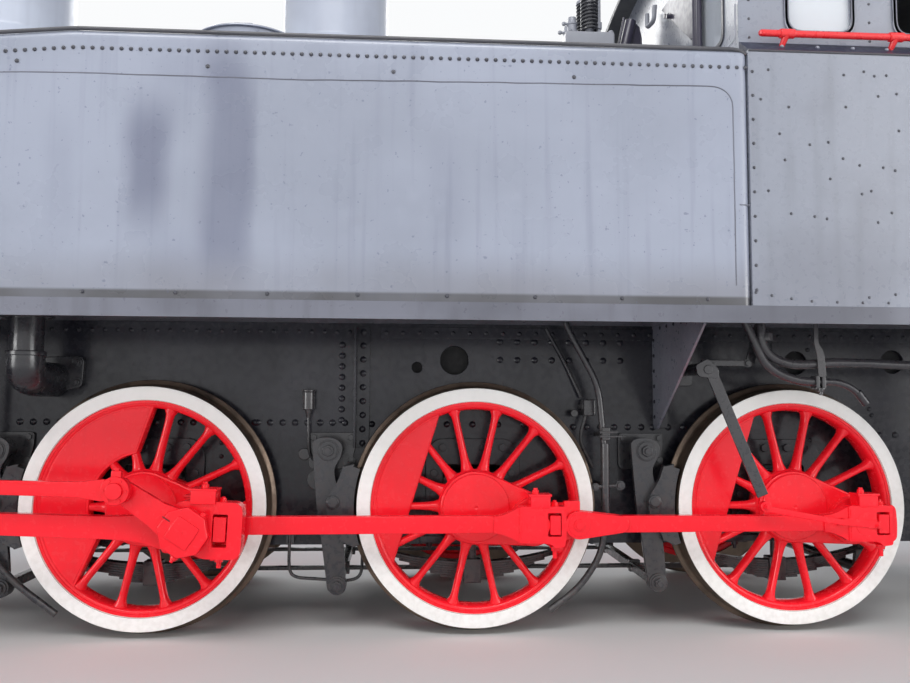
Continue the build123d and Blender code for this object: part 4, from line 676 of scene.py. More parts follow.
def hull(*circles: Point, steps: int = 28) -> list[Pair]:
    """The outline of a belt pulled round some circles.

    Args:
        circles: Each circle's x, z and radius.
        steps: Points on each circle.

    Returns:
        The outline, anticlockwise.
    """
    points = sorted({(round(px, 6), round(pz, 6)) for x, z, r in circles for px, pz in ring(x, z, r,
        steps)})

    def half(rows: Iterable[Pair]) -> list[Pair]:
        """One half of the outline.

        Args:
            rows: The points in order along x.

        Returns:
            Those on the outside.
        """
        found: list[Pair] = []
        for p in rows:
            while len(found) > 1 and cross(found[-2], found[-1], p) <= 0:
                found.pop()
            found.append(p)
        return found[:-1]

    return half(points) + half(reversed(points))


def cross(a: Pair, b: Pair, c: Pair) -> float:
    """Twice the signed area of a triangle."""
    return (b[0] - a[0]) * (c[1] - a[1]) - (b[1] - a[1]) * (c[0] - a[0])


# Solids


def toward(axis: Vector) -> Matrix:
    """The turn that carries +Z onto a direction."""
    return axis.to_track_quat("Z", "Y").to_matrix().to_4x4()


class Shape:
    """A mesh that grows by closed solids, each with its own bevel.

    A matrix carries every solid from its working frame to the engine's.
    """

    def __init__(self, carry: Matrix | None = None) -> None:
        """Starts an empty shape.

        Args:
            carry: The matrix that places the solids, or None where they are already in place.
        """
        self.mesh = bmesh.new()
        self.carry = carry or Matrix.Identity(4)
        self.scrap = bpy.data.meshes.new("scrap")

    def add(self, solid: bmesh.types.BMesh, bevel: float = 0.0, segments: int = 2,
            limit: float = 0.55) -> None:
        """Takes in a closed solid.

        Args:
            solid: The solid, which is used up.
            bevel: How wide its sharp edges are bevelled.
            segments: Spans across a bevel.
            limit: The angle above which an edge is sharp, in radians.
        """
        bmesh.ops.recalc_face_normals(solid, faces=solid.faces)
        if bevel > 0:
            sharp = [e for e in solid.edges
                if len(e.link_faces) == 2 and e.calc_face_angle(0.0) > limit]
            bmesh.ops.bevel(solid, geom=sharp, offset=bevel, segments=segments, profile=0.5,
                affect="EDGES", clamp_overlap=True, material=-1)
        solid.transform(self.carry)
        if self.carry.determinant() < 0:
            bmesh.ops.reverse_faces(solid, faces=solid.faces)
        solid.to_mesh(self.scrap)
        self.mesh.from_mesh(self.scrap)
        solid.free()

    def absorb(self, *others: "Shape") -> None:
        """Takes in other shapes.

        Args:
            others: The shapes, which are used up.
        """
        for other in others:
            other.mesh.to_mesh(other.scrap)
            self.mesh.from_mesh(other.scrap)
            other.mesh.free()

    def box(self, low: Spot, high: Spot, bevel: float = 0.002) -> None:
        """Adds a box.

        Args:
            low: One corner.
            high: The corner across from it.
            bevel: The bevel of its edges.
        """
        centre = (Vector(low) + Vector(high)) / 2
        size = [abs(b - a) for a, b in zip(low, high)]
        solid = bmesh.new()
        matrix = Matrix.Translation(centre) @ Matrix.Diagonal((*size, 1.0))
        bmesh.ops.create_cube(solid, size=1.0, matrix=matrix)
        self.add(solid, min(bevel, 0.3 * min(size)))

    def bar(self, start: Spot, end: Spot, width: float, height: float,
            bevel: float = 0.002) -> None:
        """Adds a square bar, its width level and its height upright.

        Args:
            start: The middle of the first end.
            end: The middle of the last end.
            width: Its width.
            height: Its height.
            bevel: The bevel of its edges.
        """
        a, b = Vector(start), Vector(end)
        along = (b - a).normalized()
        level = Vector(UP).cross(along)
        level = level.normalized() if level.length > 1e-4 else Vector((0, 1, 0))
        rise = along.cross(level)
        matrix = Matrix((level * width, rise * height,
            along * (b - a).length)).transposed().to_4x4()
        solid = bmesh.new()
        bmesh.ops.create_cube(solid, size=1.0, matrix=Matrix.Translation((a + b) / 2) @ matrix)
        self.add(solid, min(bevel, 0.3 * min(width, height)))

    def rod(self, start: Spot, end: Spot, radius: float, sides: int = 24, bevel: float = 0.0,
            tip: float | None = None) -> None:
        """Adds a round bar or cone from one point to another.

        Args:
            start: The middle of the first end.
            end: The middle of the last end.
            radius: The first end's radius.
            sides: Faces round it.
            bevel: The bevel at its ends.
            tip: The last end's radius, or None for the same.
        """
        a, b = Vector(start), Vector(end)
        solid = bmesh.new()
        matrix = Matrix.Translation((a + b) / 2) @ toward(b - a)
        bmesh.ops.create_cone(solid, cap_ends=True, segments=sides, radius1=radius, radius2=radius
            if tip is None else tip, depth=(b - a).length, matrix=matrix)
        self.add(solid, bevel, limit=0.9)

    def plate(self, outline: Outline, near: float, far: float, bevel: float = 0.002,
            segments: int = 2, holes: Sequence[Outline] = ()) -> None:
        """Adds an upright plate that faces sideways.

        Args:
            outline: Its (x, z) outline.
            near: The y of one face.
            far: The y of the other.
            bevel: The bevel of its edges.
            segments: Spans across a bevel.
            holes: The outlines of its holes.
        """
        self.slab(outline, lambda x, z: (x, near, z), (0, far - near, 0), bevel, holes, segments)

    def slab(self, outline: Outline, place: Callable[..., Point], thick: Point,
            bevel: float = 0.002, holes: Sequence[Outline] = (), segments: int = 2) -> None:
        """Adds a flat piece in any plane.

        Args:
            outline: Its outline in two coordinates.
            place: What turns those two into a point.
            thick: The step from one face to the other.
            bevel: The bevel of its edges.
            holes: The outlines of its holes.
            segments: Spans across a bevel.
        """
        solid = bmesh.new()
        edges = []
        for loop in (outline, *holes):
            corners = [solid.verts.new(place(*p)) for p in loop]
            if holes:
                edges += [solid.edges.new((corners[i - 1], corners[i]))
                    for i in range(len(corners))]
            else:
                solid.faces.new(corners)
        if holes:
            bmesh.ops.triangle_fill(solid, use_beauty=True, use_dissolve=False, edges=edges)
        grown = bmesh.ops.extrude_face_region(solid, geom=solid.faces[:] + solid.edges[:])
        moved = [v for v in grown["geom"] if isinstance(v, bmesh.types.BMVert)]
        bmesh.ops.translate(solid, vec=Vector(thick), verts=moved)
        self.add(solid, bevel, segments)

    def turned(self, profile: Outline, centre: Point, axis: Axis, steps: int = 48,
            outward: float = 1.0) -> None:
        """Adds a turned piece.

        Args:
            profile: Its (radius, distance along the axis) points; it may start and end at radius 0.
            centre: Where distance 0 lies.
            axis: The axis that it turns about.
            steps: Faces round it.
            outward: 1 or -1, the way that distance runs along the axis.
        """
        solid = bmesh.new()
        direction = Vector(axis.value) * outward
        matrix = Matrix.Translation(centre) @ toward(direction)
        points = [solid.verts.new((r, 0, t)) for r, t in profile]
        edges = [solid.edges.new(pair) for pair in zip(points, points[1:])]
        if profile[0][0] > 1e-6 or profile[-1][0] > 1e-6:
            edges.append(solid.edges.new((points[-1], points[0])))
        bmesh.ops.spin(solid, geom=points + edges, axis=UP, cent=(0, 0, 0), angle=tau, steps=steps,
            use_merge=True, use_duplicate=False)
        bmesh.ops.remove_doubles(solid, verts=solid.verts, dist=1e-5)
        solid.transform(matrix)
        self.add(solid)

    def tube(self, path: Sequence[Point], radius: float, sides: int = 12,
            bend: float = 0.0) -> None:
        """Adds a round pipe along a path, closed at its ends.

        Args:
            path: The points that it passes.
            radius: Its radius.
            sides: Faces round it.
            bend: How far back from a corner its curve starts.
        """
        line = curved(path, bend) if bend > 0 else [Vector(p) for p in path]
        turns = [tau * k / sides for k in range(sides)]
        sections = []
        side = (line[1] - line[0]).normalized().orthogonal().normalized()
        for before, here, after in zip([line[0], *line], line, [*line[1:], line[-1]]):
            along = (after - before).normalized()
            side = (side - along * side.dot(along)).normalized()
            other = along.cross(side)
            sections.append([here + (side * cos(t) + other * sin(t)) * radius for t in turns])
        self.loft(sections)

    def loft(self, sections: Sequence[Sequence[Point]], bevel: float = 0.0) -> None:
        """Adds a solid through some closed sections.

        Args:
            sections: The sections, each with the same number of points.
            bevel: The bevel of its sharp edges.
        """
        solid = bmesh.new()
        end = solid.faces.new([solid.verts.new(p) for p in sections[0]])
        for section in sections[1:]:
            grown = bmesh.ops.extrude_face_region(solid, geom=[end, *end.edges])["geom"]
            end = next(part for part in grown if isinstance(part, bmesh.types.BMFace))
            for vert, spot in zip(end.verts, section):
                vert.co = spot
        self.add(solid, bevel)

    def rivets(self, spots: Iterable[Spot], normal: Spot, radius: float = 0.011,
            rise: float = 0.6) -> None:
        """Adds round heads that stand on a surface.

        Args:
            spots: Where each head's middle meets the surface.
            normal: The way out of the surface.
            radius: A head's radius.
            rise: Its height, as a share of the radius.
        """
        turn = toward(Vector(normal))
        flat = Matrix.Diagonal((1, 1, rise, 1))
        heads = bmesh.new()
        for spot in spots:
            matrix = self.carry @ Matrix.Translation(Vector(spot)) @ turn @ flat
            bmesh.ops.create_uvsphere(heads, u_segments=8, v_segments=5, radius=radius,
                matrix=matrix)
        heads.to_mesh(self.scrap)
        self.mesh.from_mesh(self.scrap)
        heads.free()

    def bolt(self, foot: Spot, axis: Spot, radius: float = 0.016, height: float = 0.014,
            stud: float = 0.0, washer: bool = True) -> None:
        """Adds a six-sided head or nut.

        Args:
            foot: The middle of its seat.
            axis: The way out of the surface.
            radius: Half its width across corners.
            height: The head's height.
            stud: How far a threaded end stands out of it.
            washer: Whether a washer lies under it.
        """
        base, out = Vector(foot), Vector(axis).normalized()
        if washer:
            self.rod(base - out * 0.002, base + out * 0.003, radius * 1.25, 20)
        self.rod(base, base + out * height, radius, 6, radius * 0.12)
        if stud > 0:
            self.rod(base, base + out * (height + stud), radius * 0.55, 12, 0.001)

    def rods(self, *rows: tuple) -> None:
        """Calls rod() with the values of each row."""
        for row in rows:
            self.rod(*row)

    def bolts(self, *rows: tuple) -> None:
        """Calls bolt() with the values of each row."""
        for row in rows:
            self.bolt(*row)

    def plates(self, *rows: tuple) -> None:
        """Calls plate() with the values of each row."""
        for row in rows:
            self.plate(*row)

    def boxes(self, *rows: tuple) -> None:
        """Calls box() with the values of each row."""
        for row in rows:
            self.box(*row)

    def tubes(self, *rows: tuple) -> None:
        """Calls tube() with the values of each row."""
        for row in rows:
            self.tube(*row)

    def rivet_rows(self, *rows: tuple) -> None:
        """Calls rivets() with the values of each row."""
        for row in rows:
            self.rivets(*row)

    def piece(self, name: str, finish: str, nodes: Sequence[str] = (), body: str = "root") -> None:
        """Makes the object, which rides on a body.

        Args:
            name: The piece's name.
            finish: A key of FINISHES.
            nodes: The frame's nodes that it stands for.
            body: The body that carries it.
        """
        for face in self.mesh.faces:
            face.smooth = True
        for edge in self.mesh.edges:
            edge.smooth = not (len(edge.link_faces) == 2 and edge.calc_face_angle(0.0) > SHARP)
        mesh = bpy.data.meshes.new(name)
        self.mesh.to_mesh(mesh)
        self.mesh.free()
        bpy.data.meshes.remove(self.scrap)
        place_piece(name, mesh, body, finish, nodes)


def place_piece(name: str, mesh: bpy.types.Mesh, body: str, finish: str,
        replaces: Sequence[str] = ()) -> bpy.types.Object:
    """Puts a mesh in the scene as one piece of the engine.

    Args:
        name: The piece's name.
        mesh: Its mesh, already in the engine's frame.
        body: The body that carries it.
        finish: A key of FINISHES.
        replaces: The frame's nodes that it stands for.

    Returns:
        The object.
    """
    made = bpy.data.objects.new(name, mesh)
    bpy.context.scene.collection.objects.link(made)
    mesh.materials.append(finish_named(finish))
    weighted = made.modifiers.new("even_normals", "WEIGHTED_NORMAL")
    weighted.keep_sharp = True
    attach(made, body)
    if replaces:
        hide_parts(*replaces)
    LOG.info("%s: %d faces on %s", name, len(mesh.polygons), body)
    return made


def curved(path: Sequence[Spot], reach: float) -> list[Vector]:
    """Rounds the corners of a path in space.

    Args:
        path: The corners.
        reach: How far back from a corner its curve starts.

    Returns:
        The smoother path.
    """
    corners = [Vector(p) for p in path]
    line = [corners[0]]
    for before, here, after in zip(corners, corners[1:], corners[2:]):
        line += bend(before, here, after, reach, 6)
    return [*line, corners[-1]]


def run(start: Spot, end: Spot, pitch: float) -> list[Vector]:
    """Evenly spaced places along a line, both ends included.

    Args:
        start: The first place.
        end: The last place.
        pitch: The spacing aimed at.

    Returns:
        The places.
    """
    a, b = Vector(start), Vector(end)
    count = max(1, round((b - a).length / pitch))
    return [a.lerp(b, i / count) for i in range(count + 1)]


def side_frame(side: Side, x: float, z: float, turn: float = 0.0) -> Matrix:
    """The matrix from a left-hand working frame to a place on one side of the engine.

    The working frame has its origin on the axis of a pin, y as on the left side, and is
    turned anticlockwise as seen from the left.

    Args:
        side: The side.
        x: Where the working origin lies along the engine.
        z: Its height.
        turn: Degrees to turn.

    Returns:
        The matrix.
    """
    mirror = Matrix.Diagonal((1, -side.sign, 1, 1))
    return mirror @ Matrix.Translation((x, 0, z)) @ Matrix.Rotation(radians(-turn), 4, "Y")


@dataclass
class OneSide:
    """Something that stands on one side of the engine.

    Attributes:
        side: Its side.
    """

    side: Side

    @property
    def word(self) -> str:
        """The side's name, which ends the names of its pieces."""
        return self.side.word

    def shape(self, x: float = 0.0, z: float = 0.0, turn: float = 0.0) -> Shape:
        """An empty shape in a working frame of this side, with its origin at x and z."""
        return Shape(side_frame(self.side, x, z, turn))

    def place(self, shape: Shape, name: str, finish: str, *nodes: str) -> None:
        """Makes a fixed piece of this side, whose name gets the side's word."""
        shape.piece(f"{name}_{self.word}", finish, nodes)


# Wheels


class Weight(Enum):
    """The form of a wheel's balance weight."""

    NONE = 0
    SEGMENT = 1
    CRESCENT = 2


HUB_R = 0.165


@dataclass
class Wheel(OneSide):
    """One wheel with its tyre, in a working frame whose +X points at the crank pin.

    Attributes:
        axle: The wheelset's name in the frame.
        x: Its place along the engine.
        z: The axle's height.
        tread: The tread's radius.
        spokes: How many spokes it has.
        hub: The hub disc's radius.
        weight: Its balance weight.
    """

    axle: str
    x: float
    z: float
    tread: float = TREAD_R
    spokes: int = 14
    hub: float = HUB_R
    weight: Weight = Weight.SEGMENT

    TYRE_DEEP = 0.073
    RIM_DEEP = 0.04
    BACK = -0.7
    FRONT = -0.806

    def turned_shape(self) -> Shape:
        """An empty shape in the wheel's working frame."""
        crank = self.side.crank if self.weight is not Weight.NONE else 0.0
        return self.shape(self.x, self.z, crank)

    def spoke(self, shape: Shape, angle: float) -> None:
        """Adds a spoke of oval section that flares at both ends.

        Args:
            shape: What it is added to.
            angle: Its direction in degrees from the crank.
        """
        inner = self.hub - 0.02
        outer = self.tread - self.TYRE_DEEP - 0.5 * self.RIM_DEEP
        turn = radians(angle)
        along = Vector((cos(turn), 0, sin(turn)))
        level = Vector((-sin(turn), 0, cos(turn)))
        scale = self.hub / HUB_R
        sections = []
        for i in range(19):
            r = inner + (outer - inner) * i / 18
            near_hub = exp(-max(0.0, r - self.hub) / 0.03)
            near_rim = exp(-max(0.0, outer - 0.018 - r) / 0.016)
            half = scale * (0.0205 + 0.024 * near_hub + 0.018 * near_rim - 0.004 * (r / outer))
            thick = 0.031 + 0.01 * near_hub + 0.004 * near_rim
            centre = along * r + Vector((0, -0.764 - 0.006 * near_hub, 0))
            sections.append([centre + level * (half * copysign(abs(cos(t)) ** 0.85, cos(t)))
                + Vector((0, thick * sin(t), 0)) for t in (tau * k / 20 for k in range(20))])
        shape.loft(sections)

    def rim(self, shape: Shape) -> None:
        """Adds the rim, with the fine step that it has inside the tyre's face.

        Args:
            shape: What it is added to.
        """
        r1 = self.tread - self.TYRE_DEEP
        r0 = r1 - self.RIM_DEEP
        shape.turned([(r0 + 0.01, -self.BACK), (r0 + 0.002, -self.BACK + 0.012),
            (r0, -self.BACK + 0.05), (r0 + 0.003, -self.FRONT - 0.014),
            (r0 + 0.01, -self.FRONT - 0.004), (r0 + 0.018, -self.FRONT), (r1 - 0.016, -self.FRONT),
            (r1 - 0.014, -self.FRONT + 0.004), (r1 - 0.002, -self.FRONT + 0.004),
            (r1 + 0.004, -self.FRONT - 0.004), (r1 + 0.004, -self.BACK)], (0, 0, 0), Axis.Y, 120,
            -1.0)

    def middle(self, shape: Shape) -> None:
        """Adds the hub, the crank's boss and the balance weight.

        Args:
            shape: What it is added to.
        """
        h = self.hub
        shape.turned([(0.0, 0.64), (h - 0.03, 0.64), (h + 0.012, 0.7), (h + 0.02, 0.8),
            (h + 0.008, 0.822), (h, 0.828), (h - 0.001, 0.846), (h - 0.005, 0.85), (0.01, 0.85),
            (0.0, 0.842)], (0, 0, 0), Axis.Y, 72, -1.0)
        if self.weight is Weight.NONE:
            shape.turned([(0, 0.85), (0.07, 0.85), (0.066, 0.862), (0, 0.864)], (0, 0, 0), Axis.Y,
                48, -1.0)
            return
        shape.plates((hull((0, 0, h + 0.012), (CRANK_R, 0, 0.124), steps=48), -0.7, -0.838, 0.01,
            3), (ring(CRANK_R, 0, 0.116, 48), -0.8, -0.888, 0.006))
        self.balance(shape)

    def balance(self, shape: Shape) -> None:
        """Adds the balance weight opposite the crank.

        Args:
            shape: What it is added to.
        """
        r = self.tread - self.TYRE_DEEP - 0.6 * self.RIM_DEEP
        if self.weight is Weight.SEGMENT:
            half = degrees(acos(0.303 / r))
            outline = arc(0, 0, r, 176 - half, 176 + half, 40)
            shape.plate(outline, -0.725, -0.802, 0.006)
            edge = arc(0, 0, r - 0.012, 176 - half + 2, 176 + half - 2, 40)
            shape.plate(edge, -0.79, -0.8045, 0.003)
            return
        outline = arc(0, 0, r, 99, 243, 48) + arc(0, 0, 0.262, 227, 113, 36)
        shape.plate(outline, -0.725, -0.802, 0.006)
        edge = arc(0, 0, r - 0.012, 101, 241, 48) + arc(0, 0, 0.274, 227, 113, 36)
        shape.plate(edge, -0.79, -0.8045, 0.003)

    def tyre(self) -> None:
        """Makes the steel tyre and the white band on its face."""
        r, deep = self.tread, self.TYRE_DEEP
        steel, white = self.turned_shape(), self.turned_shape()
        steel.turned([(r - deep, 0.682), (r + 0.006, 0.682), (r + 0.02, 0.688), (r + 0.028, 0.697),
            (r + 0.026, 0.706), (r + 0.01, 0.714), (r + 0.003, 0.722), (r, 0.738), (r - 0.004, 0.8),
            (r - 0.008, 0.816), (r - 0.012, 0.8195), (r - deep, 0.8195)], (0, 0, 0), Axis.Y, 144,
            -1.0)
        white.turned([(r - deep - 0.001, 0.8), (r - deep - 0.001, 0.818),
            (r - deep + 0.003, 0.8205), (r - 0.013, 0.8205), (r - 0.007, 0.8175),
            (r - 0.009, 0.805)], (0, 0, 0), Axis.Y, 144, -1.0)
        body = f"wheelset_{self.axle}"
        coupled = self.weight is not Weight.NONE
        steel.piece(f"tyre_{self.axle}_{self.word}", "tyre_steel", [f"tyres_{self.axle}"] if coupled
            else [], body)
        white.piece(f"tyre_band_{self.axle}_{self.word}", "tyre_white", (), body)

    def dress(self) -> None:
        """Makes the wheel's pieces."""
        shape = self.turned_shape()
        self.rim(shape)
        skipped = 1.0 if self.weight is Weight.NONE else 0.5
        for i in range(self.spokes):
            self.spoke(shape, (i + skipped) * 360 / self.spokes)
        self.middle(shape)
        shape.piece(f"wheel_{self.axle}_{self.word}", "wheel_red", [f"wheels_{self.axle}"],
            f"wheelset_{self.axle}")
        self.tyre()


def dress_axles() -> None:
    """Makes the axles, the crank pins' collars and the wheels."""
    rows = (("lead", LEAD_X, CARRIER_Z, CARRIER_R, 10, 0.12, Weight.NONE),
        ("drive", DRIVE_X, WHEEL_Z, TREAD_R, 14, HUB_R, Weight.CRESCENT),
        ("second", SECOND_X, WHEEL_Z, TREAD_R, 14, HUB_R, Weight.SEGMENT),
        ("third", THIRD_X, WHEEL_Z, TREAD_R, 14, HUB_R, Weight.SEGMENT),
        ("trail", TRAIL_X, CARRIER_Z, CARRIER_R, 10, 0.12, Weight.NONE))
    for axle, x, z, tread, spokes, hub, weight in rows:
        for side in Side:
            Wheel(side, axle, x, z, tread, spokes, hub, weight).dress()
        shaft = Shape()
        shaft.turned([(0, -0.7), (0.085, -0.7), (0.085, -0.5), (0.078, -0.47), (0.078, 0.47),
            (0.085, 0.5), (0.085, 0.7), (0, 0.7)], (x, 0, z), Axis.Y, 48)
        shaft.piece(f"axle_{axle}", "forged_steel", (), f"wheelset_{axle}")
        if weight is Weight.NONE:
            continue
        pins = Shape()
        for side in Side:
            px, pz = side.pin(x)
            long = 1.196 if axle == "drive" else 1.006
            pins.rods(((px, side.sign * 0.86, pz), (px, side.sign * long, pz), 0.06, 40, 0.004),
                ((px, side.sign * 0.885, pz), (px, side.sign * 0.905, pz), 0.084, 40, 0.003))
        pins.piece(f"crank_pins_{axle}", "rod_red", (), f"wheelset_{axle}")


# Rods


def strap_end(shape: Shape, near: float, far: float, wedge_x: float = 0.08) -> None:
    """Adds the square strap round a coupling pin, with its brass, wedge, oil box and bolts.

    Args:
        shape: What it is added to, with the pin at the working origin.
        near: The strap's inner y.
        far: Its outer y.
        wedge_x: The middle of the wedge's slot.
    """
    slot_hole = rectangle(wedge_x - 0.032, wedge_x + 0.032, -0.052, 0.058, 0.006)
    shape.plate(softened([(-0.088, -0.082, 0.01), (0.06, -0.084, 0.02), (0.082, -0.106, 0.012),
        (0.128, -0.1, 0.01), (0.136, -0.04, 0.0), (0.136, 0.088, 0.012), (-0.088, 0.088, 0.014)]),
        near, far, 0.004, holes=[slot_hole])
    shape.plate(rectangle(-0.08, 0.044, -0.073, 0.073, 0.004), far + 0.004, far - 0.0025, 0.0012)
    shape.plate(arc(0, 0, 0.055, 60, 300, 32), far, far - 0.0045, 0.0015)
    shape.plate(rectangle(wedge_x - 0.022, wedge_x + 0.028, -0.044, 0.046, 0.006), near + 0.01,
        far - 0.004, 0.003)
    shape.boxes(((-0.036, near + 0.006, 0.08), (0.06, far - 0.004, 0.14), 0.006),
        ((-0.042, near + 0.004, 0.134), (0.066, far - 0.006, 0.146), 0.003))
    middle = (near + far) / 2
    shape.rods(((-0.006, middle, 0.144), (-0.006, middle, 0.162), 0.016, 24, 0.002),
        ((-0.006, middle, 0.162), (-0.006, middle, 0.172), 0.011, 6, 0.001))
    shape.bolts(((wedge_x + 0.006, middle, 0.088), UP, 0.017, 0.018, 0.008),
        ((wedge_x + 0.006, middle, -0.104), DOWN, 0.02, 0.02, 0.034))


def fluted(shape: Shape, x0: float, x1: float, z: float, deep0: float, deep1: float, near: float,
        far: float) -> None:
    """Adds a rod's bar, with rounded edges.

    Args:
        shape: What it is added to.
        x0: Its first end.
        x1: Its last end.
        z: Its middle's height over the pin.
        deep0: Its depth at the first end.
        deep1: Its depth at the last end.
        near: Its inner y.
        far: Its outer y.
    """
    shape.plate([(x0, z - deep0 / 2), (x1, z - deep1 / 2), (x1, z + deep1 / 2),
        (x0, z + deep0 / 2)], near, far, 0.005, 3)


@dataclass
class CouplingRods(OneSide):
    """The coupling rods of one side, in two lengths with a knuckle behind the second pin."""

    NEAR = -0.93
    FAR = -1.01
    BAR_NEAR = -0.945
    BAR_FAR = -0.996
    PITCH = 1.6
    KNUCKLE = 0.197

    def flare(self, shape: Shape, x: float, outward: float) -> None:
        """Adds the swelling from the bar to a strap.

        Args:
            shape: What it is added to.
            x: The pin's place.
            outward: 1 where the bar lies beyond the strap's far end, or -1 before it.
        """
        start, end = (0.132, 0.235) if outward > 0 else (-0.084, -0.178)
        mid = (start + end) / 2
        upper = [(x + start, 0.087, 0.01), (x + mid, 0.06, 0.03), (x + end, 0.043, 0.03),
            (x + end + outward * 0.03, 0.042, 0)]
        lower = [(px, -pz + 0.005, reach) for px, pz, reach in reversed(upper)]
        shape.plate(softened(upper + lower), self.BAR_NEAR + 0.008, self.BAR_FAR - 0.008, 0.004)

    def dress(self) -> None:
        """Makes the rods, with the knuckle between them, as one piece."""
        x, z = self.side.pin(DRIVE_X)
        shape = self.shape(x, z)
        second, third = self.PITCH, 2 * self.PITCH
        strap_end(shape, self.NEAR, self.FAR)
        self.flare(shape, 0.0, 1)
        fluted(shape, 0.23, second - 0.17, 0.003, 0.084, 0.08, self.BAR_NEAR, self.BAR_FAR)
        self.flare(shape, second, -1)
        moved = self.shape(x + second, z)
        strap_end(moved, self.NEAR, self.FAR)
        self.knuckle(moved)
        fluted(moved, 0.36, self.PITCH - 0.17, 0.003, 0.08, 0.074, self.BAR_NEAR, self.BAR_FAR)
        last = self.shape(x + third, z)
        self.flare(last, 0.0, -1)
        strap_end(last, self.NEAR, self.FAR, 0.082)
        last.plate(softened([(0.13, -0.085, 0.0), (0.15, -0.07, 0.02), (0.154, 0.0, 0.03),
            (0.148, 0.078, 0.02), (0.13, 0.092, 0.0)]), self.NEAR, self.FAR, 0.004)
        if self.side is Side.LEFT:
            self.recorder_arm(last)
        shape.absorb(moved, last)
        shape.piece(f"coupling_rods_{self.word}", "rod_red", [f"coupling_rods_{self.word}"],
            f"coupling_rods_{self.word}")

    def knuckle(self, shape: Shape) -> None:
        """Adds the joint between the two rods, just behind the second pin.

        Args:
            shape: What it is added to.
        """
        k = self.KNUCKLE
        shape.plate(softened([(0.13, -0.078, 0), (0.13, 0.11, 0.006), (0.206, 0.112, 0.006),
            (0.206, 0.05, 0.02), (0.206, -0.05, 0.02)]), self.BAR_NEAR, -0.982, 0.003)
        eye = hull((k, 0, 0.066), (k + 0.115, 0.002, 0.05), (k + 0.2, 0.003, 0.04), steps=40)
        shape.plates((eye, -0.984, self.FAR, 0.004, 3), (eye, self.NEAR, -0.956, 0.004),
            (ring(k, 0, 0.052, 36), -1.004, -1.0135, 0.002),
            (ring(k, 0, 0.03, 6, 12), -1.012, -1.022, 0.002),
            (ring(k, 0, 0.019, 24), -1.02, -1.027, 0.002))

    def recorder_arm(self, shape: Shape) -> None:
        """Adds the flat arm that the speed recorder's link takes its motion from.

        Args:
            shape: What it is added to.
        """
        far = self.FAR
        shape.plate(softened([(-0.15, 0.006, 0.004), (-0.132, 0.03, 0.01), (-0.1, 0.03, 0.01),
            (0.07, 0.01, 0.006), (0.07, -0.022, 0.006), (-0.12, -0.004, 0.01),
            (-0.15, -0.006, 0.004)]), far - 0.001, far - 0.013, 0.002)
        shape.bolts(((-0.117, far - 0.013, 0.01), OUT, 0.016, 0.011, 0.006),
            ((0.048, far - 0.013, -0.006), OUT, 0.011, 0.008, 0.004))


@dataclass
class MainRod(OneSide):
    """The main rod of one side with its big-end strap."""

    NEAR = -1.046
    FAR = -1.134
    BAR_NEAR = -1.062
    BAR_FAR = -1.116

    def slope(self) -> float:
        """The rod's angle at rest in degrees, with the front end's rise as positive."""
        _, z = self.side.pin(DRIVE_X)
        return degrees(asin((CROSSHEAD_Z - z) / MAIN_ROD))

    def big_end(self, shape: Shape) -> None:
        """Adds the strap, wedge, oil box and bolts round the crank pin.

        Args:
            shape: What it is added to.
        """
        hole = rectangle(0.116, 0.182, -0.068, 0.078, 0.006)
        shape.plate(softened([(-0.1, -0.098, 0.02), (0.03, -0.1, 0.02), (0.075, -0.12, 0.02),
            (0.246, -0.12, 0.05), (0.246, 0.132, 0.05), (-0.02, 0.132, 0.02), (-0.1, 0.094, 0.03)]),
            self.NEAR, self.FAR, 0.005, holes=[hole])
        shape.plate(rectangle(0.12, 0.176, -0.044, 0.066, 0.006), self.NEAR + 0.01,
            self.FAR - 0.003, 0.004)
        shape.plate(rectangle(-0.1, 0.106, -0.088, 0.1, 0.004), self.FAR + 0.004, self.FAR - 0.003,
            0.0012)
        middle = (self.NEAR + self.FAR) / 2
        shape.boxes(((0.014, self.NEAR + 0.008, 0.12), (0.126, self.FAR - 0.012, 0.186), 0.005),
            ((0.01, self.NEAR + 0.006, 0.18), (0.13, self.FAR - 0.014, 0.19), 0.003))
        shape.rods(((0.066, middle, 0.188), (0.066, middle, 0.206), 0.017, 24, 0.002),
            ((0.066, middle, 0.206), (0.066, middle, 0.217), 0.012, 6, 0.001))
        shape.bolts(((0.146, middle, -0.12), DOWN, 0.02, 0.018, 0.026),
            ((0.15, middle, 0.132), UP, 0.016, 0.015, 0.006),
            ((-0.05, middle, -0.1), DOWN, 0.012, 0.012, 0.014))

    def little_end(self, shape: Shape) -> None:
        """Adds the eye round the crosshead's pin.

        Args:
            shape: What it is added to.
        """
        x = -MAIN_ROD
        shape.plates((hull((x, 0, 0.088), (x + 0.02, 0, 0.086), steps=48), self.BAR_NEAR + 0.004,
            self.BAR_FAR - 0.004, 0.005),
            (ring(x, 0, 0.058, 36), self.BAR_FAR + 0.004, self.BAR_FAR - 0.01, 0.003))
        shape.box((x - 0.022, -1.11, 0.08), (x + 0.022, -1.07, 0.106), 0.004)

    def dress(self) -> None:
        """Makes the main rod."""
        x, z = self.side.pin(DRIVE_X)
        shape = self.shape(x, z, -self.slope())
        self.big_end(shape)
        shape.plate(softened([(-0.08, 0.098, 0.01), (-0.2, 0.062, 0.05), (-0.34, 0.052, 0.05),
            (-MAIN_ROD + 0.2, 0.044, 0.04), (-MAIN_ROD + 0.06, 0.066, 0.02),
            (-MAIN_ROD + 0.06, -0.066, 0.02), (-MAIN_ROD + 0.2, -0.044, 0.04), (-0.34, -0.05, 0.05),
            (-0.215, -0.056, 0.05), (-0.08, -0.095, 0.01)]), self.BAR_NEAR, self.BAR_FAR, 0.006, 3)
        self.little_end(shape)
        shape.piece(f"main_rod_{self.word}", "rod_red", [f"main_rod_{self.word}"],
            f"main_rod_{self.word}")


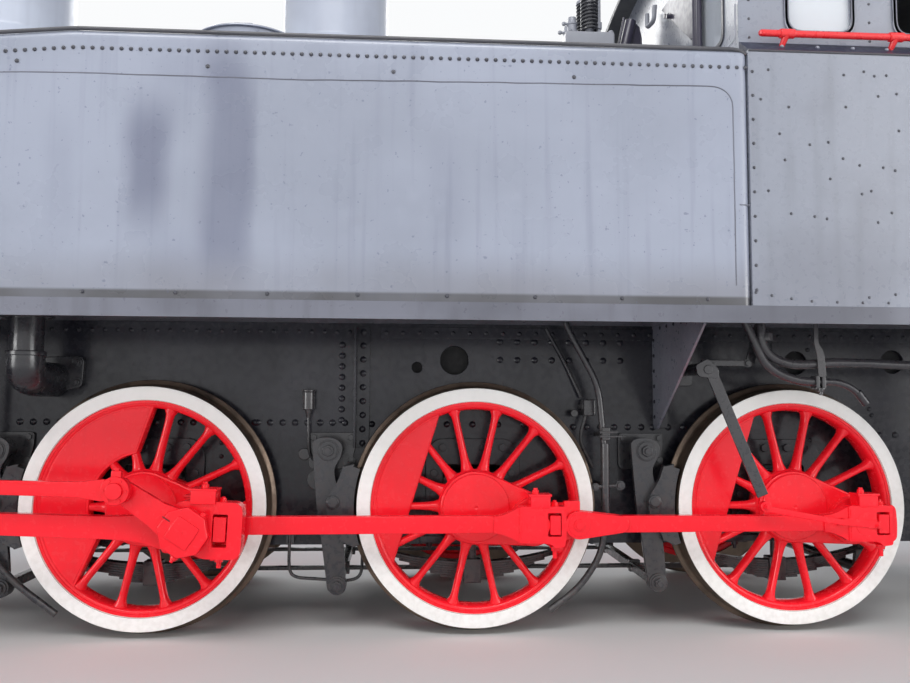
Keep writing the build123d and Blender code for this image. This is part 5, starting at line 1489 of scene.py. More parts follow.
@dataclass
class ReturnCrank(OneSide):
    """The return crank, clamped on the end of the driving crank's pin."""

    NEAR = -1.152
    FAR = -1.194
    PIN_UP = 0.124

    def dress(self) -> None:
        """Makes the clamp, the arm, the eccentric pin and its bolts."""
        x, z = self.side.pin(DRIVE_X)
        shape = self.shape(x, z, self.side.crank)
        lead = radians(103)
        px = -CRANK_R + self.PIN_UP * cos(lead)
        pz = self.PIN_UP * sin(lead)
        arm = degrees(atan2(pz, px))
        along = Vector((px, 0, pz)).normalized()
        across = Vector((-along.z, 0, along.x))

        def spot(out: float, up: float) -> Pair:
            """A place along and across the crank."""
            there = along * out - across * up
            return there.x, there.z

        reach = hypot(px, pz)
        outline = [spot(*p) for p in ((0.06, -0.075), (0.06, 0.078), (0.14, 0.06),
            (reach - 0.03, 0.05), (reach + 0.036, 0.034), (reach + 0.052, 0.0),
            (reach + 0.036, -0.034), (reach - 0.03, -0.05), (0.14, -0.06))]
        shape.plate(outline, self.NEAR, self.FAR + 0.008, 0.004)
        clamp = ring(0, 0, 0.114, 8, arm + 22.5)
        shape.plates((clamp, self.NEAR, self.FAR, 0.007, 3),
            (softened([(*p, 0.012) for p in ring(0, 0, 0.079, 4, arm + 45)]), self.FAR + 0.002,
            self.FAR - 0.006, 0.003), (ring(0, 0, 0.006, 16), self.FAR, self.FAR - 0.0075, 0.001))
        slit0, slit1 = spot(0.073, 0.012), spot(0.112, 0.012)
        foot = spot(-0.03, -0.108)
        shape.bolt((foot[0], -1.173, foot[1]), (across.x, 0, across.z), 0.015, 0.014, 0.012)
        head = spot(-0.03, 0.108)
        shape.bolt((head[0], -1.173, head[1]), (-across.x, 0, -across.z), 0.015, 0.014)
        shape.plate(ring(px, pz, 0.052, 36), self.NEAR, self.FAR, 0.004)
        shape.rods(((px, self.FAR + 0.01, pz), (px, -1.262, pz), 0.026, 32, 0.003),
            ((px, -1.252, pz), (px, -1.266, pz), 0.036, 32, 0.004))
        shape.piece(f"return_crank_{self.word}", "rod_red", [f"return_crank_{self.word}"],
            f"main_rod_{self.word}")
        # A near-black bar in the clamp's split: painted shade in the slit.
        slit = self.shape(x, z, self.side.crank)
        slit.bar((slit0[0], self.FAR - 0.0005, slit0[1]), (slit1[0], self.FAR - 0.0005, slit1[1]),
            0.004, 0.0035, 0.0)
        slit.piece(f"return_crank_slit_{self.word}", "hole_black", (), f"main_rod_{self.word}")


def dress_rods() -> None:
    """Makes the rods and return cranks of both sides."""
    for side in Side:
        CouplingRods(side).dress()
        MainRod(side).dress()
        ReturnCrank(side).dress()


# Side tanks and cab


TANK_TOP = 2.699
TANK_KINK = -1.265
TANK_FALL = tan(radians(5.3))
TANK_FRONT = -2.98
CAB_FRONT = 1.65
CAB_LEDGE = 2.698
CAB_WALL_Y = 1.35
# Centre along X, height, radius and depth of each dent in the left tank's side
DENTS = ((-1.136, 2.049, 0.02, 0.004), (-1.058, 2.059, 0.024, 0.005), (-1.503, 1.919, 0.02, 0.004),
    (-1.41, 1.908, 0.026, 0.004), (-1.02, 1.874, 0.03, 0.004), (-0.117, 1.964, 0.045, 0.006),
    (-0.061, 1.874, 0.035, 0.005), (0.158, 2.034, 0.035, 0.005), (0.223, 1.927, 0.04, 0.006),
    (0.286, 2.002, 0.028, 0.005), (0.351, 1.843, 0.045, 0.005), (0.181, 1.818, 0.03, 0.004),
    (0.12, 1.96, 0.022, 0.004), (0.3, 1.9, 0.02, 0.004), (0.609, 2.035, 0.026, 0.006),
    (0.666, 1.966, 0.06, 0.005), (1.003, 2.096, 0.05, 0.004), (1.157, 2.135, 0.04, 0.004),
    (1.311, 2.036, 0.05, 0.004), (1.244, 1.969, 0.035, 0.004), (-0.641, 2.017, 0.07, 0.004),
    (-0.519, 2.106, 0.06, 0.004), (-1.248, 1.794, 0.045, 0.004), (0.02, 2.21, 0.09, 0.004),
    (-2.3, 2.05, 0.07, 0.005), (-2.62, 1.86, 0.04, 0.005), (0.95, 1.78, 0.06, 0.003))


def tank_top(x: float) -> float:
    """The height of a tank's top at a place along it."""
    return TANK_TOP - max(0.0, TANK_KINK - x) * TANK_FALL


@dataclass
class SideTank(OneSide):
    """A side tank of thin plate, hollow inside, with its filler and its seams."""

    INNER = -0.75
    EDGE = 0.028
    CORNER = 0.036
    FILLER = (-0.6, -1.09)
    DENT_SHARE, DENT_REACH = 0.8, 9.0

    def hollow(self, x: float, z: float) -> float:
        """How far the outer face lies inside its flat place.

        Args:
            x: The place along the tank.
            z: Its height.

        Returns:
            The depth in metres.
        """
        seed = 3.0 if self.side is Side.LEFT else 11.0
        away = min(1.0, max(0.0, (z - 1.6) / 0.12), max(0.0, (2.6 - z) / 0.12),
            max(0.0, (x - TANK_FRONT - 0.05) / 0.1), max(0.0, (CAB_FRONT - 0.05 - x) / 0.1))
        slow = noise.noise(Vector((x * 1.1, z * 1.3, seed)))
        quick = noise.noise(Vector((x * 4.3, z * 4.9, seed + 5.0)))
        depth = 0.0022 * (slow + 0.5) + 0.0008 * (quick + 0.4)
        for cx, cz, radius, deep in DENTS:
            place = cx if self.side is Side.LEFT else -1.2 - cx
            far = ((x - place) ** 2 + (z - cz) ** 2) / radius ** 2
            if far < self.DENT_REACH:
                depth += self.DENT_SHARE * deep * exp(-far)
        return depth * away

    def section(self, x: float) -> list[Point]:
        """The plate's section at a place: up the outer face, over the edge and back inside.

        Args:
            x: The place along the tank.

        Returns:
            The section's points.
        """
        near_end = max(0.0, self.CORNER - min(x - TANK_FRONT, CAB_FRONT - x))
        back = self.CORNER - sqrt(max(0.0, self.CORNER ** 2 - near_end ** 2))
        face = -TANK_FACE + back
        top = tank_top(x)
        outer = [FOOTPLATE_TOP + (top - self.EDGE - FOOTPLATE_TOP) * i / 76 for i in range(77)]
        points = [(x, face + self.hollow(x, z), z) for z in outer]
        for turn in (18, 36, 54, 72, 90):
            t = radians(turn)
            points.append((x, face + self.EDGE * (1 - cos(t)), top - self.EDGE * (1 - sin(t))))
        points.append((x, face + 0.085, top))
        points.append((x, face + 0.085, top - 0.008))
        points.append((x, face + 0.035, top - 0.012))
        points.append((x, face + 0.018, top - 0.035))
        points.append((x, face + 0.018, FOOTPLATE_TOP))
        return points

    def shell(self) -> None:
        """Makes the plates."""
        shape = self.shape()
        ends = [0.0, 0.001, 0.004, 0.009, 0.016, 0.025, self.CORNER]
        count = 310
        inner = [TANK_FRONT + self.CORNER + (CAB_FRONT - TANK_FRONT - 2 * self.CORNER) * i / count
            for i in range(1, count)]
        stations = ([TANK_FRONT + e for e in ends] + inner + [CAB_FRONT - e
            for e in reversed(ends)])
        shape.loft([self.section(x) for x in stations])
        fx, fy = self.FILLER
        shape.slab([(TANK_KINK, -1.372), (CAB_FRONT - 0.004, -1.372),
            (CAB_FRONT - 0.004, self.INNER), (TANK_KINK, self.INNER)], lambda x,
            y: (x, y, TANK_TOP - 0.01), (0, 0, 0.0095), 0.0, [ring(fx, fy, 0.226, 48)])
        shape.slab([(TANK_FRONT + 0.004, -1.372), (TANK_KINK, -1.372), (TANK_KINK, self.INNER),
            (TANK_FRONT + 0.004, self.INNER)], lambda x, y: (x, y, tank_top(x) - 0.01),
            (0, 0, 0.0095), 0.0)
        shape.plate([(TANK_FRONT, FOOTPLATE_TOP), (CAB_FRONT, FOOTPLATE_TOP), (CAB_FRONT, TANK_TOP),
            (TANK_KINK, TANK_TOP), (TANK_FRONT, tank_top(TANK_FRONT))], self.INNER,
            self.INNER - 0.008, 0.001)
        out = -TANK_FACE + self.CORNER
        shape.boxes(((TANK_FRONT, out, FOOTPLATE_TOP),
            (TANK_FRONT + 0.008, self.INNER, tank_top(TANK_FRONT)), 0.001),
            ((CAB_FRONT - 0.008, out, FOOTPLATE_TOP), (CAB_FRONT, self.INNER, TANK_TOP), 0.001))
        shape.turned([(0.221, -0.255), (0.221, 0.086), (0.224, 0.09), (0.232, 0.09), (0.235, 0.086),
            (0.235, 0.014), (0.268, 0.011), (0.268, 0.0), (0.23, 0.0), (0.23, -0.255)],
            (fx, fy, TANK_TOP), Axis.Z, 64)
        shape.turned([(0.0, -0.262), (0.229, -0.262), (0.229, -0.254), (0.0, -0.254)],
            (fx, fy, TANK_TOP), Axis.Z, 48)
        self.place(shape, "side_tank", "tank_grey", "side_tanks")

    def rows(self) -> None:
        """Makes the rivets along the edges, the sparse ones and the filler's bolts."""
        shape = self.shape()
        low = 0.083
        slope = run((TANK_FRONT + 0.06, -TANK_FACE, tank_top(TANK_FRONT + 0.06) - low),
            (TANK_KINK, -TANK_FACE, TANK_TOP - low), 0.04)
        level = run((TANK_KINK + 0.04, -TANK_FACE, TANK_TOP - low),
            (CAB_FRONT - 0.012, -TANK_FACE, TANK_TOP - low), 0.04)
        shape.rivet_rows(([*slope, *level], OUT, 0.0095, 0.8),
            ([(x, -TANK_FACE + 0.001, 2.55) for x in (-2.27, -1.493, -0.706, 0.082, 0.869)], OUT,
            0.01, 0.7),
            (run((TANK_FRONT + 0.28, -TANK_FACE, 1.58), (CAB_FRONT - 0.2, -TANK_FACE, 1.58), 0.394),
            OUT, 0.009, 0.8))
        for end, way in ((TANK_FRONT, -1), (CAB_FRONT, 1)):
            if way < 0:
                shape.rivet_rows((run((end, -1.4, 1.6), (end, -1.4, tank_top(end) - 0.05), 0.05),
                    (way, 0, 0), 0.009),
                    (run((end, -0.8, 1.6), (end, -0.8, tank_top(end) - 0.05), 0.05), (way, 0, 0),
                    0.009), (run((end, -1.35, 1.6), (end, -0.85, 1.6), 0.05), (way, 0, 0), 0.009))
        for wall in (-1.355, -0.775):
            shape.rivet_rows((run((TANK_KINK, wall, TANK_TOP), (CAB_FRONT - 0.03, wall, TANK_TOP),
                0.05), UP, 0.009), (run((TANK_FRONT + 0.03, wall, tank_top(TANK_FRONT + 0.03)),
                (TANK_KINK - 0.05, wall, tank_top(TANK_KINK - 0.05)), 0.05), (-TANK_FALL, 0, 1),
                0.009))
        fx, fy = self.FILLER
        for px, py in ring(fx, fy, 0.252, 16):
            shape.bolt((px, py, TANK_TOP + 0.011), UP, 0.011, 0.009)
        # These rivet heads and filler bolts are near-black: painted shade.
        self.place(shape, "tank_rivets", "rivet_dark")

    def seams(self) -> None:
        """Makes the weld along the upper strake and the bead round the top edge."""
        welds = self.shape()
        path = [(-2.9, 2.352), (-1.559, 2.502), (-1.307, 2.507), (-0.316, 2.504), (0.6, 2.517),
            (1.431, 2.527)]
        path += arc(1.488, 2.437, 0.09, 90, 0, 5) + [(1.578, 2.2), (1.578, 1.8), (1.578, 1.62)]
        line = curved([(x, -TANK_FACE + 0.0002, z) for x, z in path], 0.05)
        fine: list[Point] = []
        for a, b in zip(line, line[1:]):
            for spot in run(a, b, 0.02)[:-1]:
                stir = noise.noise(spot * 9.0)
                sunk = self.hollow(spot.x, spot.z)
                fine.append((spot.x + 0.001 * stir, spot.y + sunk, spot.z + 0.002 * stir))
        welds.tubes((fine, 0.0028, 6),
            ([(1.6, -TANK_FACE, 1.999), (1.646, -TANK_FACE + 0.004, 1.999)], 0.003, 6))
        self.place(welds, "tank_welds", "valance_grey")
        bead = self.shape()
        y = -TANK_FACE + 0.004
        bead.tube([(TANK_FRONT + 0.02, y + 0.03, tank_top(TANK_FRONT) + 0.002),
            (TANK_FRONT + 0.06, y, tank_top(TANK_FRONT + 0.06) + 0.002),
            (TANK_KINK, y, TANK_TOP + 0.002), (CAB_FRONT - 0.045, y, TANK_TOP + 0.001),
            (CAB_FRONT - 0.004, y + 0.012, TANK_TOP - 0.018)], 0.009, 12, 0.04)
        # The bead is near-black: painted shade under its round.
        self.place(bead, "tank_bead", "bead_dark")

    def lid(self) -> None:
        """Makes the filler's lid with its hinge and handle."""
        shape = self.shape()
        fx, fy = self.FILLER
        z = TANK_TOP + 0.09
        shape.turned([(0.0, 0.024), (0.07, 0.023), (0.17, 0.018), (0.215, 0.013), (0.238, 0.012),
            (0.246, 0.006), (0.247, 0.001), (0.0, 0.001)], (fx, fy, z), Axis.Z, 64)
        shape.box((fx - 0.055, fy + 0.16, z + 0.003), (fx + 0.055, fy + 0.272, z + 0.016), 0.003)
        shape.rod((fx - 0.062, fy + 0.276, z + 0.002), (fx + 0.062, fy + 0.276, z + 0.002), 0.011,
            20, 0.002)
        shape.tube([(fx - 0.05, fy - 0.16, z + 0.01), (fx - 0.05, fy - 0.16, z + 0.04),
            (fx + 0.05, fy - 0.16, z + 0.04), (fx + 0.05, fy - 0.16, z + 0.01)], 0.007, 12, 0.02)
        shape.piece(f"tank_lid_{self.word}", "tank_grey", [f"tank_lid_{self.word}"],
            f"tank_lid_{self.word}")

    def dress(self) -> None:
        """Makes the tank's pieces."""
        self.shell()
        self.rows()
        self.seams()
        self.lid()


# Places of the small rivets on the cab's lower panel
PANEL_RIVETS = ((1.741, 2.61), (2.087, 2.596), (2.18, 2.614), (2.228, 2.595), (2.284, 2.6),
    (1.704, 2.475), (1.831, 2.443), (2.092, 2.45), (2.243, 2.503), (2.329, 2.516), (1.787, 2.321),
    (2.334, 2.348), (1.923, 2.275), (2.008, 2.288), (1.808, 2.204), (2.073, 2.216), (2.148, 2.187),
    (2.256, 2.179), (2.311, 2.167), (2.012, 2.123), (1.73, 2.064), (2.155, 2.058), (2.198, 2.072),
    (1.83, 1.964), (1.937, 1.953), (1.992, 1.944), (2.289, 1.976), (2.225, 1.932), (2.52, 2.56),
    (2.7, 2.59), (2.88, 2.53), (2.45, 2.39), (2.62, 2.33), (2.81, 2.36), (2.56, 2.16), (2.76, 2.13),
    (2.9, 2.19), (2.48, 1.99), (2.69, 1.95), (2.86, 1.98), (3.8, 2.56), (3.92, 2.4), (3.81, 2.2),
    (3.93, 2.01), (3.8, 1.86))
BOTTOM_RIVETS = ((1.664, 1.613), (1.735, 1.601), (1.823, 1.588), (1.914, 1.578), (2.029, 1.575),
    (2.144, 1.574), (2.261, 1.574), (2.294, 1.612), (2.174, 1.598), (2.378, 1.574), (2.495, 1.574),
    (2.612, 1.574), (2.729, 1.574), (2.846, 1.574), (2.963, 1.574), (3.77, 1.574), (3.887, 1.574),
    (4.004, 1.574))
SIDE_WINDOWS = ((1.885, 2.18), (2.4, 2.88))
WINDOW_SILL, WINDOW_HEAD = 2.838, 3.298
DOORWAY = (3.05, 3.69)


@dataclass
class CabSide(OneSide):
    """What one side of the cab carries: rivets, window frames, rails and mouldings."""

    def rivets(self) -> None:
        """Makes the rivets of the panels and the bolts along the ledge."""
        shape = self.shape()
        shape.rivets([(x, -TANK_FACE, z) for x, z in (*PANEL_RIVETS, *BOTTOM_RIVETS)], OUT, 0.0068,
            0.75)
        for x in (1.668, 3.03, 3.712, 4.032):
            shape.rivets(run((x, -TANK_FACE, 1.624), (x, -TANK_FACE, 2.6), 0.108), OUT, 0.0075, 0.8)
        shape.rivets(run((1.782, -1.398, CAB_LEDGE + 0.005), (4.0, -1.398, CAB_LEDGE + 0.005),
            0.094), UP, 0.011, 0.7)
        for x in (1.7, 2.27, 2.975):
            shape.rivets(run((x, -CAB_WALL_Y, 2.8), (x, -CAB_WALL_Y, 3.42), 0.09), OUT, 0.007)
        shape.rivets(run((1.7, -CAB_WALL_Y, 3.435), (4.0, -CAB_WALL_Y, 3.435), 0.09), OUT, 0.007)
        # These rivet heads are near-black: painted shade.
        self.place(shape, "cab_rivets", "rivet_dark")

    def frames(self) -> None:
        """Makes the window frames, their gaskets and the dark angle along the ledge."""
        frames, dark = self.shape(), self.shape()
        for x0, x1 in SIDE_WINDOWS:
            hole = rectangle(x0, x1, WINDOW_SILL, WINDOW_HEAD, 0.062)
            outer = rectangle(x0 - 0.02, x1 + 0.02, WINDOW_SILL - 0.018, WINDOW_HEAD + 0.02, 0.078)
            frames.plate(outer, -CAB_WALL_Y + 0.001, -CAB_WALL_Y - 0.009, 0.003, holes=[hole])
            lip = rectangle(x0 - 0.006, x1 + 0.006, WINDOW_SILL - 0.006, WINDOW_HEAD + 0.006, 0.066)
            dark.plate(lip, -CAB_WALL_Y - 0.006, -CAB_WALL_Y - 0.0115, 0.0015, holes=[hole])
        self.place(frames, "window_frames", "cab_grey")
        # The two boxes on and above the ledge take the darker valance grey as painted shade along
        # it.
        dark.boxes(((1.652, -1.356, CAB_LEDGE), (4.048, -CAB_WALL_Y, CAB_LEDGE + 0.05), 0.002),
            ((1.652, -1.418, CAB_LEDGE - 0.001), (4.048, -1.352, CAB_LEDGE + 0.006), 0.002))
        self.place(dark, "ledge_angle", "valance_grey")
        edge = self.shape()
        edge.tubes(([(1.652, -1.449, CAB_LEDGE - 0.001), (DOORWAY[0] - 0.01, -1.449,
            CAB_LEDGE - 0.001)], 0.006, 10),
            ([(DOORWAY[1] + 0.01, -1.449, CAB_LEDGE - 0.001), (4.046, -1.449, CAB_LEDGE - 0.001)],
            0.006, 10))
        x0, x1 = DOORWAY
        for x in (x0 - 0.004, x1 + 0.004):
            edge.boxes(((x - 0.012, -1.452, 1.58), (x + 0.012, -1.446, CAB_LEDGE), 0.002),
                ((x - 0.012, -1.353, CAB_LEDGE), (x + 0.012, -1.346, 3.3), 0.002))
        # The ledge's edge and the strips beside the doorway are near-black: painted shade.
        self.place(edge, "cab_edges", "bead_dark")

    def rails(self) -> None:
        """Makes the long handrail with its leaning posts, and the two beside the doorway."""
        shape = self.shape()
        y, z = -1.41, 2.796
        shape.tube([(1.73, y, z), (2.99, y, z)], 0.0155, 20)
        shape.rivet_rows(([(1.731, y, z)], FORE, 0.0155, 0.8), ([(2.989, y, z)], AFT, 0.0155, 0.8))
        for x in (1.85, 2.36, 2.89):
            shape.rod((x - 0.034, y, z), (x + 0.034, y, z), 0.0215, 28, 0.004)
            shape.rod((x - 0.006, y, z - 0.01), (x - 0.02, y + 0.03, z - 0.066), 0.017, tip=0.01)
            shape.rod((x - 0.02, y + 0.028, z - 0.062), (x - 0.026, -1.36, CAB_LEDGE + 0.012), 0.01,
                16, tip=0.01)
            shape.rod((x - 0.026, -1.35, CAB_LEDGE + 0.014), (x - 0.026, -1.362, CAB_LEDGE + 0.014),
                0.024, 20, 0.002)
        for x in (DOORWAY[0] - 0.026, DOORWAY[1] + 0.026):
            shape.tube([(x, -1.424, CAB_LEDGE + 0.004), (x, -1.424, 3.3), (x, -1.424, 3.335),
                (x, -1.352, 3.335)], 0.014, 16, 0.035)
            for foot in (CAB_LEDGE + 0.01, 3.335):
                if foot < 3.0:
                    shape.rod((x, -1.424, foot - 0.01), (x, -1.424, foot + 0.006), 0.027, 24, 0.002)
                else:
                    shape.rod((x, -1.346, foot), (x, -1.358, foot), 0.027, 24, 0.002)
        self.place(shape, "cab_rails", "handrail_red", "handrails")

    def door(self) -> None:
        """Makes the low door's stiffeners, hinges and latch."""
        x0, x1 = DOORWAY
        shape = self.shape()
        shape.box((x0 + 0.006, -1.45, 1.604), (x1 - 0.006, -1.426, 2.64), 0.006)
        shape.plate(rectangle(x0 + 0.05, x1 - 0.05, 1.66, 2.59, 0.03), -1.4495, -1.4545, 0.002,
            holes=[rectangle(x0 + 0.075, x1 - 0.075, 1.685, 2.565, 0.02)])
        shape.rivet_rows((run((x0 + 0.028, -1.45, 1.64), (x0 + 0.028, -1.45, 2.61), 0.097), OUT,
            0.007), (run((x1 - 0.028, -1.45, 1.64), (x1 - 0.028, -1.45, 2.61), 0.097), OUT, 0.007))
        for z in (1.78, 2.48):
            shape.box((x1 - 0.16, -1.458, z - 0.02), (x1 - 0.008, -1.449, z + 0.02), 0.003)
            shape.rod((x1 - 0.01, -1.456, z - 0.04), (x1 - 0.01, -1.456, z + 0.04), 0.009)
        shape.box((x0 + 0.02, -1.46, 2.3), (x0 + 0.1, -1.449, 2.33), 0.003)
        shape.rod((x0 + 0.085, -1.455, 2.315), (x0 + 0.085, -1.48, 2.315), 0.007)
        shape.box((x0 + 0.07, -1.484, 2.25), (x0 + 0.1, -1.476, 2.325), 0.003)
        shape.piece(f"cab_door_{self.word}", "cab_grey", [f"cab_door_{self.word}"],
            f"cab_door_{self.word}")

    def dress(self) -> None:
        """Makes the side's pieces."""
        self.rivets()
        self.frames()
        self.rails()
        self.door()


# Frames, and what hangs on them


@dataclass
class FramePlate(OneSide):
    """The rivets, strips and bolts on the outside of one frame plate."""

    BIG = 0.0185
    SMALL = 0.0125

    def rows(self, shape: Shape) -> None:
        """Adds the rivet rows.

        Args:
            shape: What they are added to.
        """
        y = -FRAME_FACE

        def row(x0: float, z0: float, x1: float, z1: float, pitch: float, radius: float,
                rise: float = 0.0) -> None:
            """Adds one row of rivets."""
            shape.rivets(run((x0, y - rise, z0), (x1, y - rise, z1), pitch), OUT, radius, 0.62)

        strip = 0.012
        row(-4.9, 1.492, -0.138, 1.492, 0.065, self.SMALL)
        row(0.05, 1.49, 5.0, 1.49, 0.087, self.SMALL, strip)
        for z in (1.448, 1.354):
            row(0.644, z, 1.281, z, 0.085, self.BIG)
        row(-1.778, 1.024, -1.583, 1.024, 0.06, self.BIG)
        row(-1.54, 1.024, -0.614, 1.024, 0.062, self.BIG)
        row(-0.6, 1.024, -0.157, 1.024, 0.0633, self.BIG)
        row(0.1, 1.018, 0.9, 1.018, 0.135, self.BIG)
        row(0.955, 1.006, 1.39, 1.006, 0.072, self.BIG)
        row(1.45, 1.006, 1.7, 1.006, 0.072, self.BIG)
        row(2.682, 0.968, 2.771, 0.968, 0.089, self.BIG)
        row(2.631, 1.106, 2.645, 1.073, 0.05, self.SMALL)
        row(-0.175, 1.038, -0.175, 1.425, 0.057, self.BIG)
        row(-0.067, 0.921, -0.067, 1.493, 0.07, self.BIG, strip)
        for x in (-0.019, -0.778, -0.874, 2.3, 3.3, 3.7, -4.1, -3.9, -2.28):
            if x in (-0.778, -0.874):
                row(x, 0.785, x, 0.92, 0.067, self.SMALL)
            elif x == -0.019:
                row(x, 1.018, x, 1.018, 0.1, self.BIG)
            else:
                row(x, 0.86, x, 1.42, 0.075, self.SMALL)

    def stays(self, shape: Shape) -> None:
        """Adds the angle strips, the horn stays and their bolts.

        Args:
            shape: What they are added to.
        """
        y = -FRAME_FACE
        shape.boxes(((0.02, y - 0.012, 1.461), (5.1, y + 0.002, 1.522), 0.003),
            ((-0.135 + 0.03, y - 0.012, 0.9), (-0.032, y + 0.002, 1.522), 0.003),
            ((-0.112, y - 0.06, 0.9), (-0.1, y + 0.002, 1.522), 0.003),
            ((2.1, y - 0.006, 1.37), (2.14, y, 1.46), 0.002))
        for axle_x in (DRIVE_X, SECOND_X, THIRD_X):
            shape.plate(softened([(axle_x - 0.235, 0.45, 0.02), (axle_x - 0.152, 0.45, 0.01),
                (axle_x - 0.152, 0.812, 0.02), (axle_x + 0.152, 0.812, 0.02),
                (axle_x + 0.152, 0.45, 0.01), (axle_x + 0.235, 0.45, 0.02),
                (axle_x + 0.245, 0.88, 0.05), (axle_x + 0.19, 0.945, 0.04),
                (axle_x - 0.19, 0.945, 0.04), (axle_x - 0.245, 0.88, 0.05)]), y + 0.002, y - 0.022,
                0.004)
            for dx in (-0.155, -0.06, 0.06, 0.155):
                shape.bolt((axle_x + dx, y - 0.022, 0.9), OUT, 0.023, 0.016)
            for z in (0.55, 0.66, 0.77):
                for dx in (-0.198, 0.198):
                    shape.bolt((axle_x + dx, y - 0.022, z), OUT, 0.022, 0.016)
            shape.box((axle_x - 0.27, y - 0.03, 0.418), (axle_x + 0.27, y + 0.03, 0.452), 0.004)
            for dx in (-0.22, 0.22):
                shape.bolt((axle_x + dx, y, 0.418), DOWN, 0.018, 0.02, 0.02)

    def dress(self) -> None:
        """Makes the plate's rivets and stays as one piece."""
        shape = self.shape()
        self.rows(shape)
        self.stays(shape)
        self.place(shape, "frame_rivets", "frame_black")
        # Near-black discs set inside the frame plate's holes: painted shade behind the holes.
        shade_discs = self.shape()
        for x, z, radius in ((0.405, 1.35, 0.074), (0.211, 1.312, 0.028), (2.231, 1.35, 0.062),
                (2.768, 1.36, 0.062)):
            shade_discs.plate(ring(x, z, radius + 0.02, 32), 0.03 - FRAME_FACE, 0.036 - FRAME_FACE, 0.0)
        self.place(shade_discs, "hole_blanks", "hole_black")
        self.gusset()

    def gusset(self) -> None:
        """Makes the flange and rivets of the bracket under the footplate."""
        shape = self.shape()
        x = 1.46
        shape.boxes(((x, -0.66, 1.003), (x + 0.055, -FRAME_FACE, 1.522), 0.003),
            ((x, -1.378, 1.5), (x + 0.055, -FRAME_FACE, 1.537), 0.003))
        for z in (1.06, 1.14, 1.22, 1.3, 1.38, 1.46):
            shape.rivet_rows(([(x + 0.032, -0.66, z)], OUT, 0.011), ([(x - 0.006, -0.64, z)], FORE,
                0.011))
        for y in (-0.75, -0.86, -0.97, -1.08, -1.19, -1.3):
            shape.rivets([(x - 0.006, y, 1.518)], FORE, 0.011)
        self.place(shape, "gusset_flange", "frame_black")


@dataclass
class Brake(OneSide):
    """The brake hanger, block and pins in front of one coupled wheel.

    Attributes:
        x: The axle's place.
    """

    x: float

    def hanger(self, shape: Shape) -> None:
        """Adds the hanger with its pins, in a frame whose origin is the axle's centre.

        Args:
            shape: What it is added to.
        """
        px, pz = -0.728, 0.272
        outline = [(px - 0.08, pz + 0.046, 0.02), (px - 0.067, pz - 0.133, 0.1),
            (px - 0.053, pz - 0.293, 0.1), (px - 0.033, pz - 0.4, 0.1),
            (px - 0.004, pz - 0.61, 0.1), (px + 0.006, pz - 0.69, 0.03),
            (px + 0.09, pz - 0.7, 0.03), (px + 0.094, pz - 0.6, 0.05),
            (px + 0.082, pz - 0.462, 0.1), (px + 0.062, pz - 0.3, 0.1),
            (px + 0.052, pz - 0.19, 0.05), (px + 0.024, pz - 0.092, 0.05),
            (px + 0.066, pz - 0.03, 0.03), (px + 0.072, pz + 0.034, 0.03),
            (px + 0.022, pz + 0.068, 0.03), (px - 0.05, pz + 0.064, 0.02)]
        shape.plates((softened(outline), -0.735, -0.762, 0.003),
            (softened([(px - 0.11, pz + 0.085, 0.02), (px - 0.11, pz - 0.1, 0.03),
            (px + 0.1, pz - 0.1, 0.03), (px + 0.13, pz + 0.02, 0.03),
            (px + 0.13, pz + 0.085, 0.02)]), -0.61, -0.628, 0.003))
        shape.rods(((px, -0.62, pz), (px, -0.766, pz), 0.052, 36, 0.003),
            ((px, -0.762, pz), (px, -0.772, pz), 0.046, 36, 0.003))
        shape.bolt((px, -0.772, pz), OUT, 0.03, 0.018, 0.012, False)
        for dx, dz in ((-0.085, 0.06), (0.105, 0.06), (0.105, -0.055)):
            shape.bolt((px + dx, -0.628, pz + dz), OUT, 0.017, 0.012)
        shape.rods(((px + 0.028, -0.7, pz - 0.25), (px + 0.028, -0.812, pz - 0.25), 0.034, 32,
            0.008),
            ((px + 0.028, -0.806, pz - 0.25), (px + 0.028, -0.818, pz - 0.25), 0.026, 24, 0.006),
            ((px + 0.052, -0.7, pz - 0.655), (px + 0.052, -0.772, pz - 0.655), 0.046, 32, 0.003),
            ((px + 0.052, -0.77, pz - 0.655), (px + 0.052, -0.78, pz - 0.655), 0.037, 32, 0.003))
        shape.bolt((px + 0.052, -0.78, pz - 0.655), OUT, 0.026, 0.016, 0.01, False)

    def block(self, shape: Shape) -> None:
        """Adds the block that bears on the tread, with its pad.

        Args:
            shape: What it is added to.
        """
        px, pz = -0.728, 0.272
        r = TREAD_R + 0.042
        top, low = degrees(asin(0.208 / r)), degrees(asin(0.19 / r))
        tread = arc(0, 0, r, 180 - top, 180 + low, 16)
        back = softened([(px + 0.078, pz - 0.452, 0.01), (px + 0.06, pz - 0.405, 0.03),
            (px - 0.004, pz - 0.3, 0.04), (px + 0.0, pz - 0.222, 0.04),
            (px + 0.05, pz - 0.154, 0.04), (px + 0.08, pz - 0.064, 0.012)])
        shape.plate(tread + back, -0.762, -0.8, 0.004)
        inner, outer = TREAD_R + 0.006, TREAD_R + 0.044
        shape.plate(arc(0, 0, outer, 162, 198, 14) + arc(0, 0, inner, 198, 162, 14), -0.728, -0.8,
            0.003)

    def dress(self) -> None:
        """Makes the brake of this wheel and the beam to the other side."""
        shape = self.shape(self.x, WHEEL_Z)
        self.hanger(shape)
        self.block(shape)
        if self.side is Side.LEFT:
            shape.bar((-0.676, -0.73, -0.383), (-0.676, 0.73, -0.383), 0.046, 0.046, 0.005)
            for y in (-0.3, 0.3):
                shape.box((-0.7, y - 0.02, -0.415), (-0.64, y + 0.02, -0.351), 0.004)
        axle = {DRIVE_X: "drive", SECOND_X: "second", THIRD_X: "third"}[self.x]
        shape.piece(f"brake_{axle}_{self.word}", "gear_black", ["brake_gear"])


